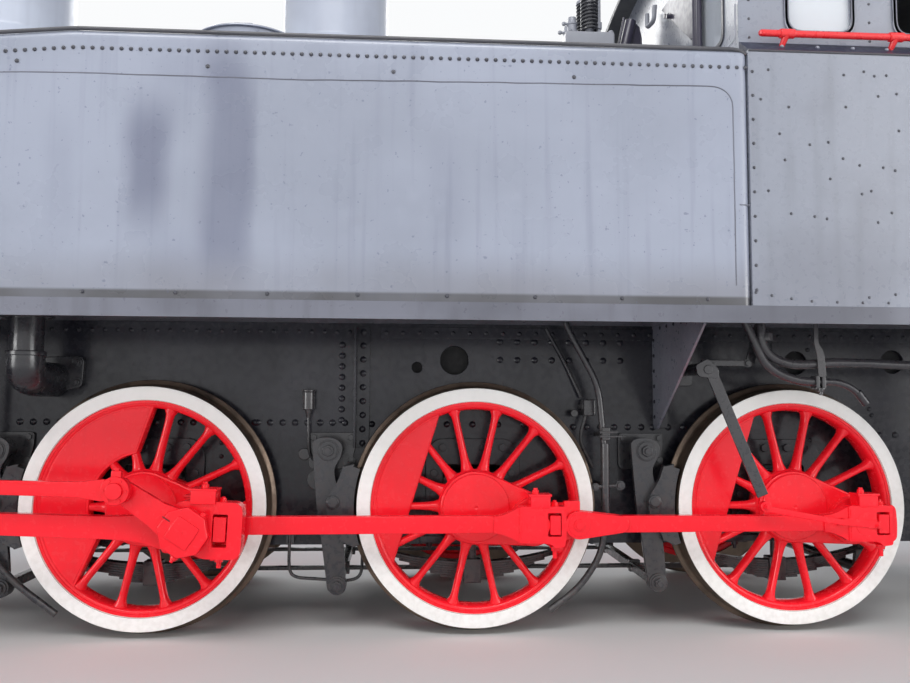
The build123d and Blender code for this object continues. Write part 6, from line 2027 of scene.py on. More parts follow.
def brake_pull() -> None:
    """Makes the rods between the brake beams."""
    shape = Shape()
    z = WHEEL_Z - 0.383
    for y in (-0.3, 0.3):
        shape.bar((DRIVE_X - 0.65, y, z), (THIRD_X - 0.69, y, z), 0.045, 0.018, 0.003)
        for x in (DRIVE_X, SECOND_X, THIRD_X):
            shape.rod((x - 0.676, y - 0.04, z), (x - 0.676, y + 0.04, z), 0.018, 20)
    shape.box((THIRD_X - 0.7, -0.32, z - 0.012), (2.62, -0.28, z + 0.012), 0.003)
    shape.rod((2.6, -0.5, z + 0.02), (2.6, 0.5, z + 0.02), 0.03, 28)
    for y in (-0.5, 0.5):
        shape.bar((2.6, y, z), (2.6, y * 1.16, 0.62), 0.05, 0.03, 0.004)
    shape.piece("brake_pull_rods", "gear_black")


@dataclass
class Suspension(OneSide):
    """The axle box and leaf spring of one wheel.

    Attributes:
        x: The axle's place.
        z: The axle's height.
        coupled: Whether the wheel is a coupled one, with its spring under the box.
    """

    x: float
    z: float
    coupled: bool = True

    def box(self, shape: Shape) -> None:
        """Adds the axle box with its flanges and cap.

        Args:
            shape: What it is added to.
        """
        up = 0.15 if self.coupled else 0.307
        down = 0.15 if self.coupled else 0.12
        hole = ring(0, 0, 0.0905, 32)
        shape.plate(rectangle(-0.13, 0.13, -down, up, 0.012), -0.56, -0.64, 0.006, holes=[hole])
        for y0, y1 in ((-0.552, -0.572), (-0.618, -0.642)):
            shape.plate(rectangle(-0.15, 0.15, -down + 0.02, up - 0.02, 0.012), y0, y1, 0.003,
                holes=[hole])
        shape.box((-0.05, -0.63, up - 0.004), (0.05, -0.57, up + 0.022), 0.004)

    def leaves(self, shape: Shape) -> None:
        """Adds the leaf spring, its buckle and its hangers.

        Args:
            shape: What they are added to.
        """
        base, thick, count = -0.3, 0.0115, 8
        if not self.coupled:
            base = 0.33
        for k in range(count):
            half = 0.48 - 0.053 * k
            rise = 0.072 * (half / 0.48) ** 2
            z0 = base - thick * k
            line = [(x, z0 + rise * (x / half) ** 2) for x in (half * (i / 8 - 1)
                for i in range(17))]
            outline = line + [(x, z - thick * 0.93) for x, z in reversed(line)]
            shape.plate(outline, -0.565, -0.625, 0.0015)
        shape.box((-0.045, -0.634, base - count * thick - 0.012), (0.045, -0.556, base + 0.016),
            0.005)
        shape.rod((0, -0.595, base + 0.012),
            (0, -0.595, base + 0.16 if self.coupled else base + 0.02), 0.022, 20)
        for x in (-0.47, 0.47):
            shape.rod((x, -0.595, base + 0.045), (x, -0.595, base + 0.15), 0.012, 16)
            shape.box((x - 0.025, -0.632, base + 0.052), (x + 0.025, -0.558, base + 0.075), 0.004)
            shape.bolt((x, -0.595, base + 0.075), UP, 0.018, 0.016, washer=False)
            shape.box((x - 0.035, -0.625, base + 0.145), (x + 0.035, -0.565, base + 0.18), 0.005)

    def dress(self) -> None:
        """Makes the axle box and its spring."""
        shape = self.shape(self.x, self.z)
        self.box(shape)
        self.leaves(shape)
        name = f"spring_{round(self.x * 10) + 50}_{self.word}"
        shape.piece(name, "gear_black", ["axleboxes_and_springs"])


@dataclass
class SidePipes(OneSide):
    """The pipes along one side of the frame: sanding, heating, balance and lubrication."""

    def sand(self) -> None:
        """Makes the sand pipes with their sleeves, clamps and brackets."""
        shape = self.shape()
        for axle_x, line in ((DRIVE_X, ((-0.82, 0.92), (-0.82, -0.1), (-0.6, -0.35), (-0.4, -0.5))),
                (SECOND_X, ((0.455, 0.92), (0.48, 0.86), (0.621, 0.604), (0.654, 0.228),
                (0.64, -0.22), (0.52, -0.4), (0.37, -0.505)))):
            shape.tube([(axle_x + x, -0.79, WHEEL_Z + z) for x, z in line], 0.0165, 16, 0.09)
        x = SECOND_X + 0.652
        shape.rod((x + 0.001, -0.79, 0.93), (x + 0.001, -0.79, 0.52), 0.0225, 24, 0.003)
        for z, reach in ((0.986, 0.06), (0.965, 0.078)):
            shape.box((x - 0.032, -0.822, z - 0.005), (x + reach, -0.76, z + 0.005), 0.002)
        shape.box((x - 0.02, -0.818, 0.945), (x + 0.02, -0.765, 1.01), 0.005)
        shape.rod((x - 0.055, -0.795, 0.713), (x + 0.085, -0.795, 0.722), 0.01, 16, 0.002)
        shape.bolts(((x + 0.075, -0.8, 0.721), OUT, 0.019, 0.012),
            ((x - 0.05, -0.8, 0.714), OUT, 0.015, 0.012))
        for z in (0.72, 0.97):
            shape.box((x - 0.012, -0.79, z - 0.012), (x + 0.012, -FRAME_FACE, z + 0.012), 0.003)
        self.place(shape, "sand_pipes", "gear_black", "sand_pipes")

    def heating(self) -> None:
        """Makes the two pipes under the cab, with the hanger strap and its clamp."""
        shape = self.shape()
        y = -1.0
        shape.tubes(([(1.876, y, 1.53), (1.876, y, 1.435), (1.915, y, 1.362), (2.01, y, 1.323),
            (2.123, y, 1.323), (2.222, y, 1.333), (2.42, y, 1.331), (2.626, y, 1.322),
            (3.2, y, 1.322)], 0.0225, 20, 0.05), ([(1.8, y, 1.53), (1.85, y, 1.418),
            (1.889, y, 1.33), (1.966, y, 1.272), (2.07, y, 1.241), (2.17, y, 1.239)], 0.021, 20,
            0.06), ([(2.15, y, 1.2385), (2.255, y, 1.241), (2.34, y, 1.205), (2.396, y, 1.138)],
            0.0165, 20, 0.05))
        shape.rods(((2.355, y, 1.19), (2.4, y, 1.133), 0.0205, 24, 0.003),
            ((2.165, y, 1.239), (2.192, y, 1.24), 0.027, 24, 0.002))
        for dx in (-0.016, 0.014):
            shape.box((2.16 + dx - 0.009, y - 0.03, 1.205), (2.16 + dx + 0.009, y + 0.03, 1.268),
                0.003)
        shape.bolt((2.162, y - 0.02, 1.206), DOWN, 0.017, 0.016, 0.016)
        shape.plate(softened([(2.128, 1.538, 0), (2.152, 1.538, 0), (2.15, 1.425, 0.02),
            (2.178, 1.385, 0.03), (2.186, 1.262, 0.01), (2.146, 1.262, 0.01), (2.142, 1.37, 0.03),
            (2.128, 1.42, 0.02)]), y - 0.024, y - 0.031, 0.002)
        shape.rod((1.905, y, 1.475), (1.905, y, 1.437), 0.03, 6, 0.003)
        shape.tube([(3.2, y, 1.322), (3.24, y, 1.322), (3.26, y + 0.03, 1.322), (3.26, -FRAME_FACE,
            1.322)], 0.0225, 16, 0.03)
        self.place(shape, "heating_pipes", "pipe_black", "heating_pipes")

    def balance(self) -> None:
        """Makes the water pipe that comes down from the tank, its elbow and its flange."""
        shape = self.shape()
        x, y, z = -1.632, -0.92, 1.235
        shape.rods(((x, y, 1.54), (x, y, 1.31), 0.077, 40),
            ((x, y, 1.54), (x, y, 1.518), 0.12, 40, 0.003),
            ((x, y, 1.362), (x, y, 1.338), 0.09, 40, 0.004))
        shape.tube([(x, y, 1.345), (x, y, z), (x + 0.016, -0.63, z)], 0.085, 28, 0.12)
        fx, fz = -1.585, 1.24
        shape.plate(hull((fx - 0.06, fz - 0.048, 0.028), (fx + 0.09, fz + 0.086, 0.03),
            (fx + 0.088, fz - 0.018, 0.028), (fx - 0.07, fz + 0.05, 0.06), steps=24), -FRAME_FACE,
            -0.64, 0.005)
        for bx, bz in ((-1.497, 1.323), (-1.494, 1.222), (-1.64, 1.184)):
            shape.rod((bx, -0.636, bz), (bx, -0.648, bz), 0.026, 28, 0.003)
            shape.bolt((bx, -0.648, bz), OUT, 0.017, 0.012, 0.008, False)
        self.place(shape, "balance_pipe", "gear_black", "balance_pipes")

    def oil(self) -> None:
        """Makes the oil cups with their thin pipes, and the small cock boxes."""
        shape = self.shape()
        for x, z, foot in ((-0.339, 1.136, -0.262), (-1.94, 1.136, -1.862)):
            shape.rod((x, -0.655, z - 0.045), (x, -0.655, z + 0.045), 0.031, 28, 0.004)
            shape.rod((x, -0.655, z + 0.045), (x, -0.655, z + 0.056), 0.034, 28, 0.003)
            shape.rod((x, -0.655, z - 0.045), (x, -0.655, z - 0.085), 0.02, 20, tip=0.01)
            shape.box((x - 0.012, -0.66, z - 0.012), (x + 0.012, -FRAME_FACE, z + 0.012), 0.002)
            shape.tube([(x, -0.655, z - 0.08), (x + 0.004, -0.65, z - 0.26),
                (x + 0.02, -0.64, 0.845), (foot - 0.01, -0.64, 0.8)], 0.0075, 10, 0.06)
            shape.rods(((x - 0.02, -FRAME_FACE, 0.865), (x - 0.02, -0.632, 0.865), 0.03, 28, 0.004),
                ((x + 0.045, -FRAME_FACE, 0.735), (x + 0.045, -0.622, 0.735), 0.052, 36, 0.004))
        x = 1.085
        shape.boxes(((x - 0.025, -0.73, 1.065), (x + 0.035, -0.64, 1.15), 0.008),
            ((x - 0.03, -0.7, 1.1), (x + 0.03, -FRAME_FACE, 1.125), 0.004))
        shape.rod((x - 0.065, -0.66, 1.078), (x - 0.065, -0.69, 1.078), 0.019, 24, 0.003)
        shape.tubes(([(x - 0.01, -0.7, 1.065), (x - 0.035, -0.7, 0.985), (x - 0.04, -0.7, 0.93),
            (x + 0.03, -0.68, 0.8)], 0.009, 10, 0.05),
            ([(x - 0.2, -0.622, 1.52), (x - 0.1, -0.622, 1.34), (x - 0.02, -0.64, 1.16)], 0.01, 10,
            0.06))
        self.place(shape, "oil_pipes", "gear_black")

    def cable(self) -> None:
        """Makes the thin loop of pipe that hangs low between the wheels."""
        shape = self.shape()
        shape.tube([(-0.42, -0.66, 0.52), (-0.424, -0.66, 0.3), (-0.4, -0.66, 0.255),
            (-0.12, -0.66, 0.235), (-0.06, -0.66, 0.26), (-0.055, -0.66, 0.5)], 0.008, 10, 0.05)
        shape.box((-0.5, -0.7, 0.5), (-0.3, -0.6, 0.52), 0.003)
        shape.bar((-0.52, -0.7, 0.515), (-0.34, -0.7, 0.545), 0.02, 0.02, 0.003)
        shape.boxes(((-0.44, -0.66, 0.42), (-0.4, -0.6, 0.52), 0.003),
            ((-0.075, -0.66, 0.44), (-0.035, -0.6, 0.52), 0.003))
        self.place(shape, "low_pipe", "gear_black")

    def dress(self) -> None:
        """Makes this side's pipes."""
        self.sand()
        self.heating()
        self.balance()
        self.oil()
        self.cable()


@dataclass
class Recorder:
    """The speed recorder's drive on the left side, a flat bar with a red link."""

    TOP = (1.59, 1.293)
    LOW = (1.855, 0.665)

    def dress(self) -> None:
        """Makes the bar, the link to the coupling rod's arm and the bearing on the frame."""
        (tx, tz), (lx, lz) = self.TOP, self.LOW
        shape = Shape()
        shape.bar((tx + 0.02, -1.052, tz - 0.02), (lx - 0.008, -1.052, lz + 0.03), 0.012, 0.054,
            0.002)
        shape.plate(softened([(tx - 0.06, tz + 0.02, 0.01), (tx - 0.05, tz - 0.035, 0.02),
            (tx + 0.05, tz - 0.045, 0.02), (tx + 0.055, tz + 0.0, 0.02),
            (tx + 0.0, tz + 0.055, 0.02)]), -1.044, -1.06, 0.003)
        shape.rod((tx, -FRAME_FACE, tz), (tx, -1.066, tz), 0.022, 28, 0.003)
        shape.boxes(((1.6, -0.95, 1.315), (1.84, -0.93, 1.345), 0.003),
            ((1.6, -0.97, 1.3), (1.66, -0.61, 1.33), 0.003))
        shape.bar((1.842, -0.94, 1.325), (1.895, -0.94, 1.52), 0.012, 0.045, 0.002)
        shape.bolt((1.83, -0.95, 1.33), OUT, 0.016, 0.012)
        shape.plate(rectangle(tx - 0.07, tx + 0.07, tz - 0.07, tz + 0.07, 0.02), -FRAME_FACE,
            -0.632, 0.003)
        shape.piece("recorder_bar", "gear_black", ["recorder_drive"])
        red = Shape()
        x, z = Side.LEFT.pin(THIRD_X)
        red.bar((lx, -1.057, lz - 0.03), (x - 0.117, -1.051, z + 0.01), 0.008, 0.026, 0.002)
        red.rod((lx, -1.04, lz - 0.02), (lx, -1.072, lz - 0.02), 0.026, 28, 0.003)
        red.bolt((lx, -1.072, lz - 0.02), OUT, 0.015, 0.01, 0.008, False)
        red.piece("recorder_link", "rod_red")


def dress_sides() -> None:
    """Makes what stands on both sides: tanks, cab sides, frames, brakes, springs and pipes."""
    for side in Side:
        SideTank(side).dress()
        CabSide(side).dress()
        FramePlate(side).dress()
        for x in (DRIVE_X, SECOND_X, THIRD_X):
            Brake(side, x).dress()
            Suspension(side, x, WHEEL_Z).dress()
        for x in (LEAD_X, TRAIL_X):
            Suspension(side, x, CARRIER_Z, False).dress()
        SidePipes(side).dress()
    brake_pull()
    Recorder().dress()
    for node, finish in (("cab_sides", "cab_grey"), ("main_frames", "frame_black"),
            ("footplate", "valance_grey")):
        soft_copy(node, 0.003, finish)


# Cylinders, motion and valve gear


LINK_X, CHEST_Z = -2.52, 1.118
SPINDLE_X = -3.21
CYLINDER_Y, CHEST_Y = -1.09, -1.06
CYLINDER_FRONT, CYLINDER_REAR = -4.3, -3.4
MOTION_X = -2.29
BAR_LOW, BAR_HIGH = 0.823, 0.893


def rods_meet(first: Pair, first_length: float, second: Pair, second_length: float) -> Pair:
    """Where two rods pinned at given places meet, on the lower side of the line between them.

    Args:
        first: The first rod's fixed pin.
        first_length: Its length.
        second: The second rod's fixed pin.
        second_length: Its length.

    Returns:
        The meeting point's x and z.
    """
    dx, dz = second[0] - first[0], second[1] - first[1]
    span = hypot(dx, dz)
    along = (first_length ** 2 - second_length ** 2 + span ** 2) / (2 * span)
    off = sqrt(first_length ** 2 - along ** 2)
    return (first[0] + (along * dx + off * dz) / span, first[1] + (along * dz - off * dx) / span)


def slope_of(start: Pair, end: Pair) -> tuple[float, float]:
    """The length of the line between two places, and its angle in degrees."""
    dx, dz = end[0] - start[0], end[1] - start[1]
    return hypot(dx, dz), degrees(atan2(dz, dx))


@dataclass
class ValveGear(OneSide):
    """The eccentric rod, link, radius rod, lever and spindle of one side."""

    NEAR = -1.208
    FAR = -1.248
    TAIL = 0.333
    ROD = 1.4
    LEVER = 0.695
    UNION = 0.33
    ARM_DROP = 0.175
    ECCENTRIC = 0.124
    AHEAD = 103.0

    def __post_init__(self) -> None:
        """Works out where the pins lie at rest."""
        turn = radians(self.side.crank + self.AHEAD)
        self.eccentric = (DRIVE_X + self.ECCENTRIC * cos(turn), WHEEL_Z + self.ECCENTRIC
            * sin(turn))
        self.foot = rods_meet((LINK_X, CHEST_Z), self.TAIL, self.eccentric, self.ROD)
        pin_x, pin_z = self.side.pin(DRIVE_X)
        gudgeon = pin_x - sqrt(MAIN_ROD ** 2 - (pin_z - WHEEL_Z) ** 2)
        self.top = (SPINDLE_X, CHEST_Z + 0.06)
        self.arm = (gudgeon, WHEEL_Z - self.ARM_DROP)
        self.knee = rods_meet(self.top, self.LEVER, self.arm, self.UNION)

    def eccentric_rod(self) -> None:
        """Makes the red rod from the return crank to the link's foot."""
        length, slope = slope_of(self.foot, self.eccentric)
        shape = self.shape(*self.foot, slope)
        shape.plate(softened([(-0.044, -0.03, 0.02), (0.1, -0.036, 0.02), (0.16, -0.026, 0.02),
            (length - 0.16, -0.033, 0.02), (length - 0.04, -0.05, 0.02),
            (length - 0.04, 0.05, 0.02), (length - 0.16, 0.033, 0.02), (0.16, 0.026, 0.02),
            (0.1, 0.036, 0.02), (-0.044, 0.03, 0.02)]), -1.214, -1.241, 0.004, 3)
        for z in (-0.02, 0.02):
            shape.plate(rectangle(0.2, length - 0.22, z - 0.003, z + 0.003, 0.002), -1.238, -1.2435,
                0.001)
        shape.plates((ring(length, 0, 0.062, 40), self.NEAR, self.FAR - 0.002, 0.004),
            (ring(length, 0, 0.036, 32), self.FAR, self.FAR - 0.01, 0.003))
        for px, pz in ring(length, 0, 0.048, 6):
            shape.bolt((px, self.FAR - 0.002, pz), OUT, 0.007, 0.005, washer=False)
        shape.box((length - 0.022, -1.24, 0.054), (length + 0.022, -1.214, 0.086), 0.004)
        shape.rod((length, -1.227, 0.086), (length, -1.227, 0.098), 0.01, 6, 0.001)
        shape.plate(ring(0, 0, 0.044, 32), self.NEAR + 0.004, self.FAR, 0.003)
        shape.bolt((0, self.FAR, 0), OUT, 0.024, 0.014, 0.006)
        self.place(shape, "eccentric_rod", "rod_red", "valve_gear")

    def link(self, shape: Shape) -> None:
        """Adds the curved slotted link with its die block, trunnion and tail.

        Args:
            shape: What it is added to.
        """
        radius, half = 0.69, 0.2
        reach = degrees(asin(half / radius))
        slot = reach - 3.6
        x = LINK_X - radius
        outline = arc(x, CHEST_Z, radius + 0.048, -reach, reach, 24) \
            + arc(x, CHEST_Z, radius - 0.048, reach, -reach, 24)
        hole = arc(x, CHEST_Z, radius + 0.02, -slot, slot, 20) \
            + arc(x, CHEST_Z, radius - 0.02, slot, -slot, 20)
        shape.plate(outline, self.NEAR, self.FAR, 0.003, holes=[hole])
        shape.plate(rectangle(LINK_X - 0.024, LINK_X + 0.018, CHEST_Z - 0.105, CHEST_Z - 0.02,
            0.004), self.NEAR + 0.006, self.FAR + 0.004, 0.003)
        fx, fz = self.foot
        shape.plate([(LINK_X - 0.05, CHEST_Z - 0.165), (LINK_X + 0.04, CHEST_Z - 0.165),
            (fx + 0.038, fz), (fx - 0.038, fz)], self.NEAR, self.FAR, 0.004)
        for end in (-1, 1):
            spot = (LINK_X - 0.014, self.FAR, CHEST_Z + end * 0.178)
            shape.bolt(spot, OUT, 0.014, 0.01, 0.005)
        shape.rod((LINK_X, -1.191, CHEST_Z), (LINK_X, -1.296, CHEST_Z), 0.04, 32, 0.003)
        shape.plates((ring(LINK_X, CHEST_Z, 0.062, 36), -1.189, self.NEAR, 0.003),
            (ring(LINK_X, CHEST_Z, 0.062, 36), self.FAR, -1.258, 0.003))

    def levers(self, shape: Shape) -> None:
        """Adds the radius rod, the combination lever and the union link.

        Args:
            shape: What it is added to.
        """
        length, slope = slope_of((LINK_X - 0.012, CHEST_Z - 0.06), (SPINDLE_X, CHEST_Z + 0.042))
        rod = self.shape(LINK_X - 0.012, CHEST_Z - 0.06, slope)
        rod.plate(softened([(-0.03, -0.03, 0.02), (length + 0.03, -0.03, 0.02),
            (length + 0.03, 0.03, 0.02), (length - 0.1, 0.024, 0.02), (0.1, 0.024, 0.02),
            (-0.03, 0.03, 0.02)]), -1.176, -1.202, 0.004)
        for spot in (0.0, length):
            rod.plate(ring(spot, 0, 0.036, 28), -1.172, -1.204, 0.003)
        length, slope = slope_of(self.knee, self.top)
        lever = self.shape(*self.knee, slope)
        lever.plate(hull((0, 0, 0.03), (length, 0, 0.038), steps=32), -1.206, -1.234, 0.004)
        for spot, radius in ((0.0, 0.037), (length - 0.06, 0.03), (length, 0.042)):
            lever.plate(ring(spot, 0, radius, 28), -1.172, -1.2415, 0.003)
            lever.bolt((spot, -1.2415, 0), OUT, 0.5 * radius, 0.01, 0.005)
        length, slope = slope_of(self.knee, self.arm)
        union = self.shape(*self.knee, slope)
        union.plates((hull((0, 0, 0.026), (length, 0, 0.026), steps=28), -1.171, -1.193, 0.004),
            (ring(length, 0, 0.034, 28), -1.163, -1.199, 0.003))
        union.bolt((length, -1.199, 0), OUT, 0.018, 0.008)
        shape.absorb(rod, lever, union)

    def dress(self) -> None:
        """Makes the gear and its bracket."""
        self.eccentric_rod()
        shape = self.shape()
        self.link(shape)
        self.levers(shape)
        shape.rod((CYLINDER_REAR - 0.03, CHEST_Y, CHEST_Z), (SPINDLE_X, CHEST_Y, CHEST_Z), 0.024,
            24)
        shape.box((SPINDLE_X - 0.04, CHEST_Y + 0.03, CHEST_Z - 0.034),
            (SPINDLE_X + 0.04, -1.21, CHEST_Z + 0.034), 0.004)
        for x in (-3.335, -3.262):
            shape.rod((x, CHEST_Y, CHEST_Z), (x + 0.02, CHEST_Y, CHEST_Z), 0.036, 6, 0.002)
        self.place(shape, "valve_gear", "rod_steel", "valve_gear")
        frame_part = self.shape()
        frame_part.plates((softened([(LINK_X - 0.088, CHEST_Z - 0.058, 0.02),
            (MOTION_X, CHEST_Z - 0.058, 0.0), (MOTION_X, CHEST_Z + 0.058, 0.0),
            (LINK_X - 0.088, CHEST_Z + 0.058, 0.02)]), -1.261, -1.289, 0.004),
            (ring(LINK_X, CHEST_Z, 0.06, 32), -1.259, -1.298, 0.004))
        for z in (-0.034, 0.034):
            frame_part.bolt((MOTION_X - 0.05, -1.289, CHEST_Z + z), OUT, 0.013, 0.011)
        self.place(frame_part, "link_bracket", "gear_black", "valve_gear")


@dataclass
class Cylinder(OneSide):
    """One outside cylinder with its steam chest above it."""

    def barrel(self, shape: Shape) -> None:
        """Adds the clad barrel and its two covers.

        Args:
            shape: What it is added to.
        """
        front, rear = CYLINDER_FRONT, CYLINDER_REAR
        spot = (0, CYLINDER_Y, WHEEL_Z)
        shape.turned([(0.0, front - 0.004), (0.249, front - 0.004), (0.255, front + 0.002),
            (0.255, front + 0.034), (0.247, front + 0.04), (0.246, rear - 0.04),
            (0.255, rear - 0.034), (0.255, rear - 0.002), (0.249, rear + 0.002),
            (0.0, rear + 0.002)], spot, Axis.X, 72)
        shape.turned([(0.0, front - 0.055), (0.12, front - 0.054), (0.15, front - 0.046),
            (0.16, front - 0.028), (0.222, front - 0.024), (0.225, front - 0.02), (0.225, front),
            (0.0, front)], spot, Axis.X, 64)
        shape.turned([(0.041, rear), (0.225, rear), (0.225, rear + 0.024), (0.219, rear + 0.029),
            (0.08, rear + 0.03), (0.078, rear + 0.056), (0.07, rear + 0.062),
            (0.041, rear + 0.062)], spot, Axis.X, 64)
        for end, way, count in ((front - 0.024, -1, 16), (rear + 0.029, 1, 14)):
            for py, pz in ring(CYLINDER_Y, WHEEL_Z, 0.196, count):
                shape.bolt((end, py, pz), (way, 0, 0), 0.015, 0.014, 0.006)
        for pz in (WHEEL_Z - 0.067, WHEEL_Z + 0.067):
            shape.bolt((rear + 0.058, CYLINDER_Y, pz), AFT, 0.009, 0.009, 0.004)

    def chest(self, shape: Shape) -> None:
        """Adds the steam chest, its covers and the castings between it and the barrel.

        Args:
            shape: What it is added to.
        """
        front, rear = CYLINDER_FRONT + 0.06, CYLINDER_REAR - 0.06
        spot = (0, CHEST_Y, CHEST_Z)
        shape.turned([(0.0, front), (0.144, front), (0.15, front + 0.006), (0.15, front + 0.03),
            (0.14, front + 0.036), (0.14, rear - 0.036), (0.15, rear - 0.03), (0.15, rear - 0.006),
            (0.144, rear), (0.0, rear)], spot, Axis.X, 56)
        for end, way in ((front, -1), (rear, 1)):
            shape.turned([(0.0, 0.0), (0.115, 0.0), (0.115, 0.022), (0.108, 0.029), (0.0, 0.03)],
                (end, CHEST_Y, CHEST_Z), Axis.X, 48, way)
            for py, pz in ring(CHEST_Y, CHEST_Z, 0.13, 10):
                shape.bolt((end, py, pz), (way, 0, 0), 0.011, 0.01, 0.005)
        low, high = WHEEL_Z + 0.18, CHEST_Z - 0.04
        shape.boxes(((front - 0.018, -0.612, WHEEL_Z - 0.108), (rear - 0.012, CHEST_Y,
            CHEST_Z + 0.095), 0.014),
            ((front + 0.032, CHEST_Y + 0.056, low), (rear - 0.062, CYLINDER_Y - 0.116, high),
            0.018))
        for x in run((front + 0.05, 0, 0), (rear - 0.05, 0, 0), 0.11):
            for z in (WHEEL_Z + 0.3, CHEST_Z + 0.06):
                shape.bolt((x.x, -0.64, z), UP, 0.014, 0.012)
        shape.box((front, -0.612, WHEEL_Z - 0.12), (rear - 0.03, -0.64, CHEST_Z + 0.098), 0.004)

    def drains(self, shape: Shape) -> None:
        """Adds the drain cocks, their pipes and the oil pipe.

        Args:
            shape: What it is added to.
        """
        for x in (CYLINDER_FRONT + 0.1, CYLINDER_REAR - 0.1):
            shape.rod((x, CYLINDER_Y, WHEEL_Z - 0.236), (x, CYLINDER_Y, WHEEL_Z - 0.29), 0.014, 16)
            shape.box((x - 0.02, CYLINDER_Y - 0.018, WHEEL_Z - 0.316),
                (x + 0.02, CYLINDER_Y + 0.018, WHEEL_Z - 0.286), 0.003)
            shape.tube([(x, CYLINDER_Y, WHEEL_Z - 0.3), (x, CYLINDER_Y, WHEEL_Z - 0.345),
                (x - 0.25, CYLINDER_Y, WHEEL_Z - 0.365)], 0.009, 10, 0.04)
        shape.rod((CYLINDER_FRONT + 0.08, CYLINDER_Y - 0.02, WHEEL_Z - 0.302),
            (CYLINDER_REAR + 0.02, CYLINDER_Y - 0.02, WHEEL_Z - 0.302), 0.006, 10)
        shape.tube([(-3.85, CHEST_Y, CHEST_Z + 0.14), (-3.85, CHEST_Y, CHEST_Z + 0.2),
            (-3.85, -0.8, CHEST_Z + 0.24), (-3.85, -0.66, 1.53)], 0.008, 10, 0.06)
        shape.rod((-3.85, CHEST_Y, CHEST_Z + 0.13), (-3.85, CHEST_Y, CHEST_Z + 0.165), 0.018, 6)

    def dress(self) -> None:
        """Makes the cylinder's pieces."""
        shape = self.shape()
        self.barrel(shape)
        self.chest(shape)
        self.place(shape, "cylinder", "cylinder_black", "cylinders")
        small = self.shape()
        self.drains(small)
        for x in (-4.1, -3.85, -3.6):
            small.turned([(0.2465, x - 0.016), (0.2495, x - 0.014), (0.2495, x + 0.014),
                (0.2465, x + 0.016)], (0, CYLINDER_Y, WHEEL_Z), Axis.X, 72)
        self.place(small, "cylinder_fittings", "copper")


@dataclass
class Crosshead(OneSide):
    """A crosshead under its slide bar, with the piston rod and the arm of the valve gear."""

    NEAR = -1.026
    FAR = -1.154
    TOP = 0.953

    def cheeks(self, shape: Shape, x: float) -> None:
        """Adds the two cheek plates, the slippers and the boss between them.

        Args:
            shape: What they are added to.
            x: The gudgeon pin's place.
        """
        outline = softened([(x - 0.149, 0.534, 0.01), (x + 0.06, 0.534, 0.02),
            (x + 0.096, 0.58, 0.03), (x + 0.149, BAR_LOW, 0.03), (x + 0.149, self.TOP, 0.008),
            (x - 0.149, self.TOP, 0.008)])
        window = softened([(x - 0.085, 0.738, 0.02), (x + 0.07, 0.738, 0.02),
            (x + 0.092, 0.8, 0.02), (x - 0.085, 0.8, 0.02)])
        for near, far in ((self.NEAR, self.NEAR - 0.024), (self.FAR + 0.024, self.FAR)):
            shape.plate(outline, near, far, 0.003, holes=[window])
        shape.boxes(((x - 0.149, self.NEAR, 0.534), (x - 0.096, self.FAR, 0.712), 0.004),
            ((x - 0.149, self.NEAR, 0.716), (x + 0.06, self.FAR, BAR_LOW - 0.001), 0.003),
            ((x - 0.149, self.NEAR, BAR_HIGH + 0.001), (x + 0.149, self.FAR, self.TOP), 0.004))
        for place in (-0.11, -0.04, 0.04, 0.11):
            for z in (BAR_HIGH + 0.03, BAR_LOW - 0.03):
                if z > BAR_HIGH or place < 0.05:
                    shape.bolt((x + place, self.FAR, z), OUT, 0.012, 0.006)

    def dress(self) -> None:
        """Makes the crosshead's pieces."""
        name = f"crosshead_{self.word}"
        pin_x, pin_z = self.side.pin(DRIVE_X)
        x = pin_x - sqrt(MAIN_ROD ** 2 - (pin_z - WHEEL_Z) ** 2)
        shape = self.shape()
        self.cheeks(shape, x)
        shape.rod((x, self.NEAR, WHEEL_Z), (x, -1.163, WHEEL_Z), 0.0445, 36, 0.003)
        shape.plates((ring(x, WHEEL_Z, 0.036, 6), -1.15, -1.1655, 0.002),
            ([(x - 0.054, 0.565), (x + 0.054, 0.565), (x + 0.032, 0.42), (x - 0.032, 0.42)], -1.131,
            -1.154, 0.004), (ring(x, 0.443, 0.034, 28), -1.129, -1.157, 0.003))
        shape.rod((x - 0.93, CYLINDER_Y, WHEEL_Z), (x - 0.094, CYLINDER_Y, WHEEL_Z), 0.038, 40)
        shape.rod((x - 0.2, CYLINDER_Y, WHEEL_Z), (x - 0.094, CYLINDER_Y, WHEEL_Z), 0.056, 36,
            tip=0.064)
        shape.box((x - 0.172, CYLINDER_Y - 0.086, WHEEL_Z - 0.02),
            (x - 0.148, CYLINDER_Y + 0.07, WHEEL_Z + 0.02), 0.002)
        for place in (-0.07, 0.07):
            shape.rod((x + place, CYLINDER_Y, self.TOP), (x + place, CYLINDER_Y, self.TOP + 0.022),
                0.016, 20, 0.002)
        shape.piece(name, "rod_steel", [name], name)


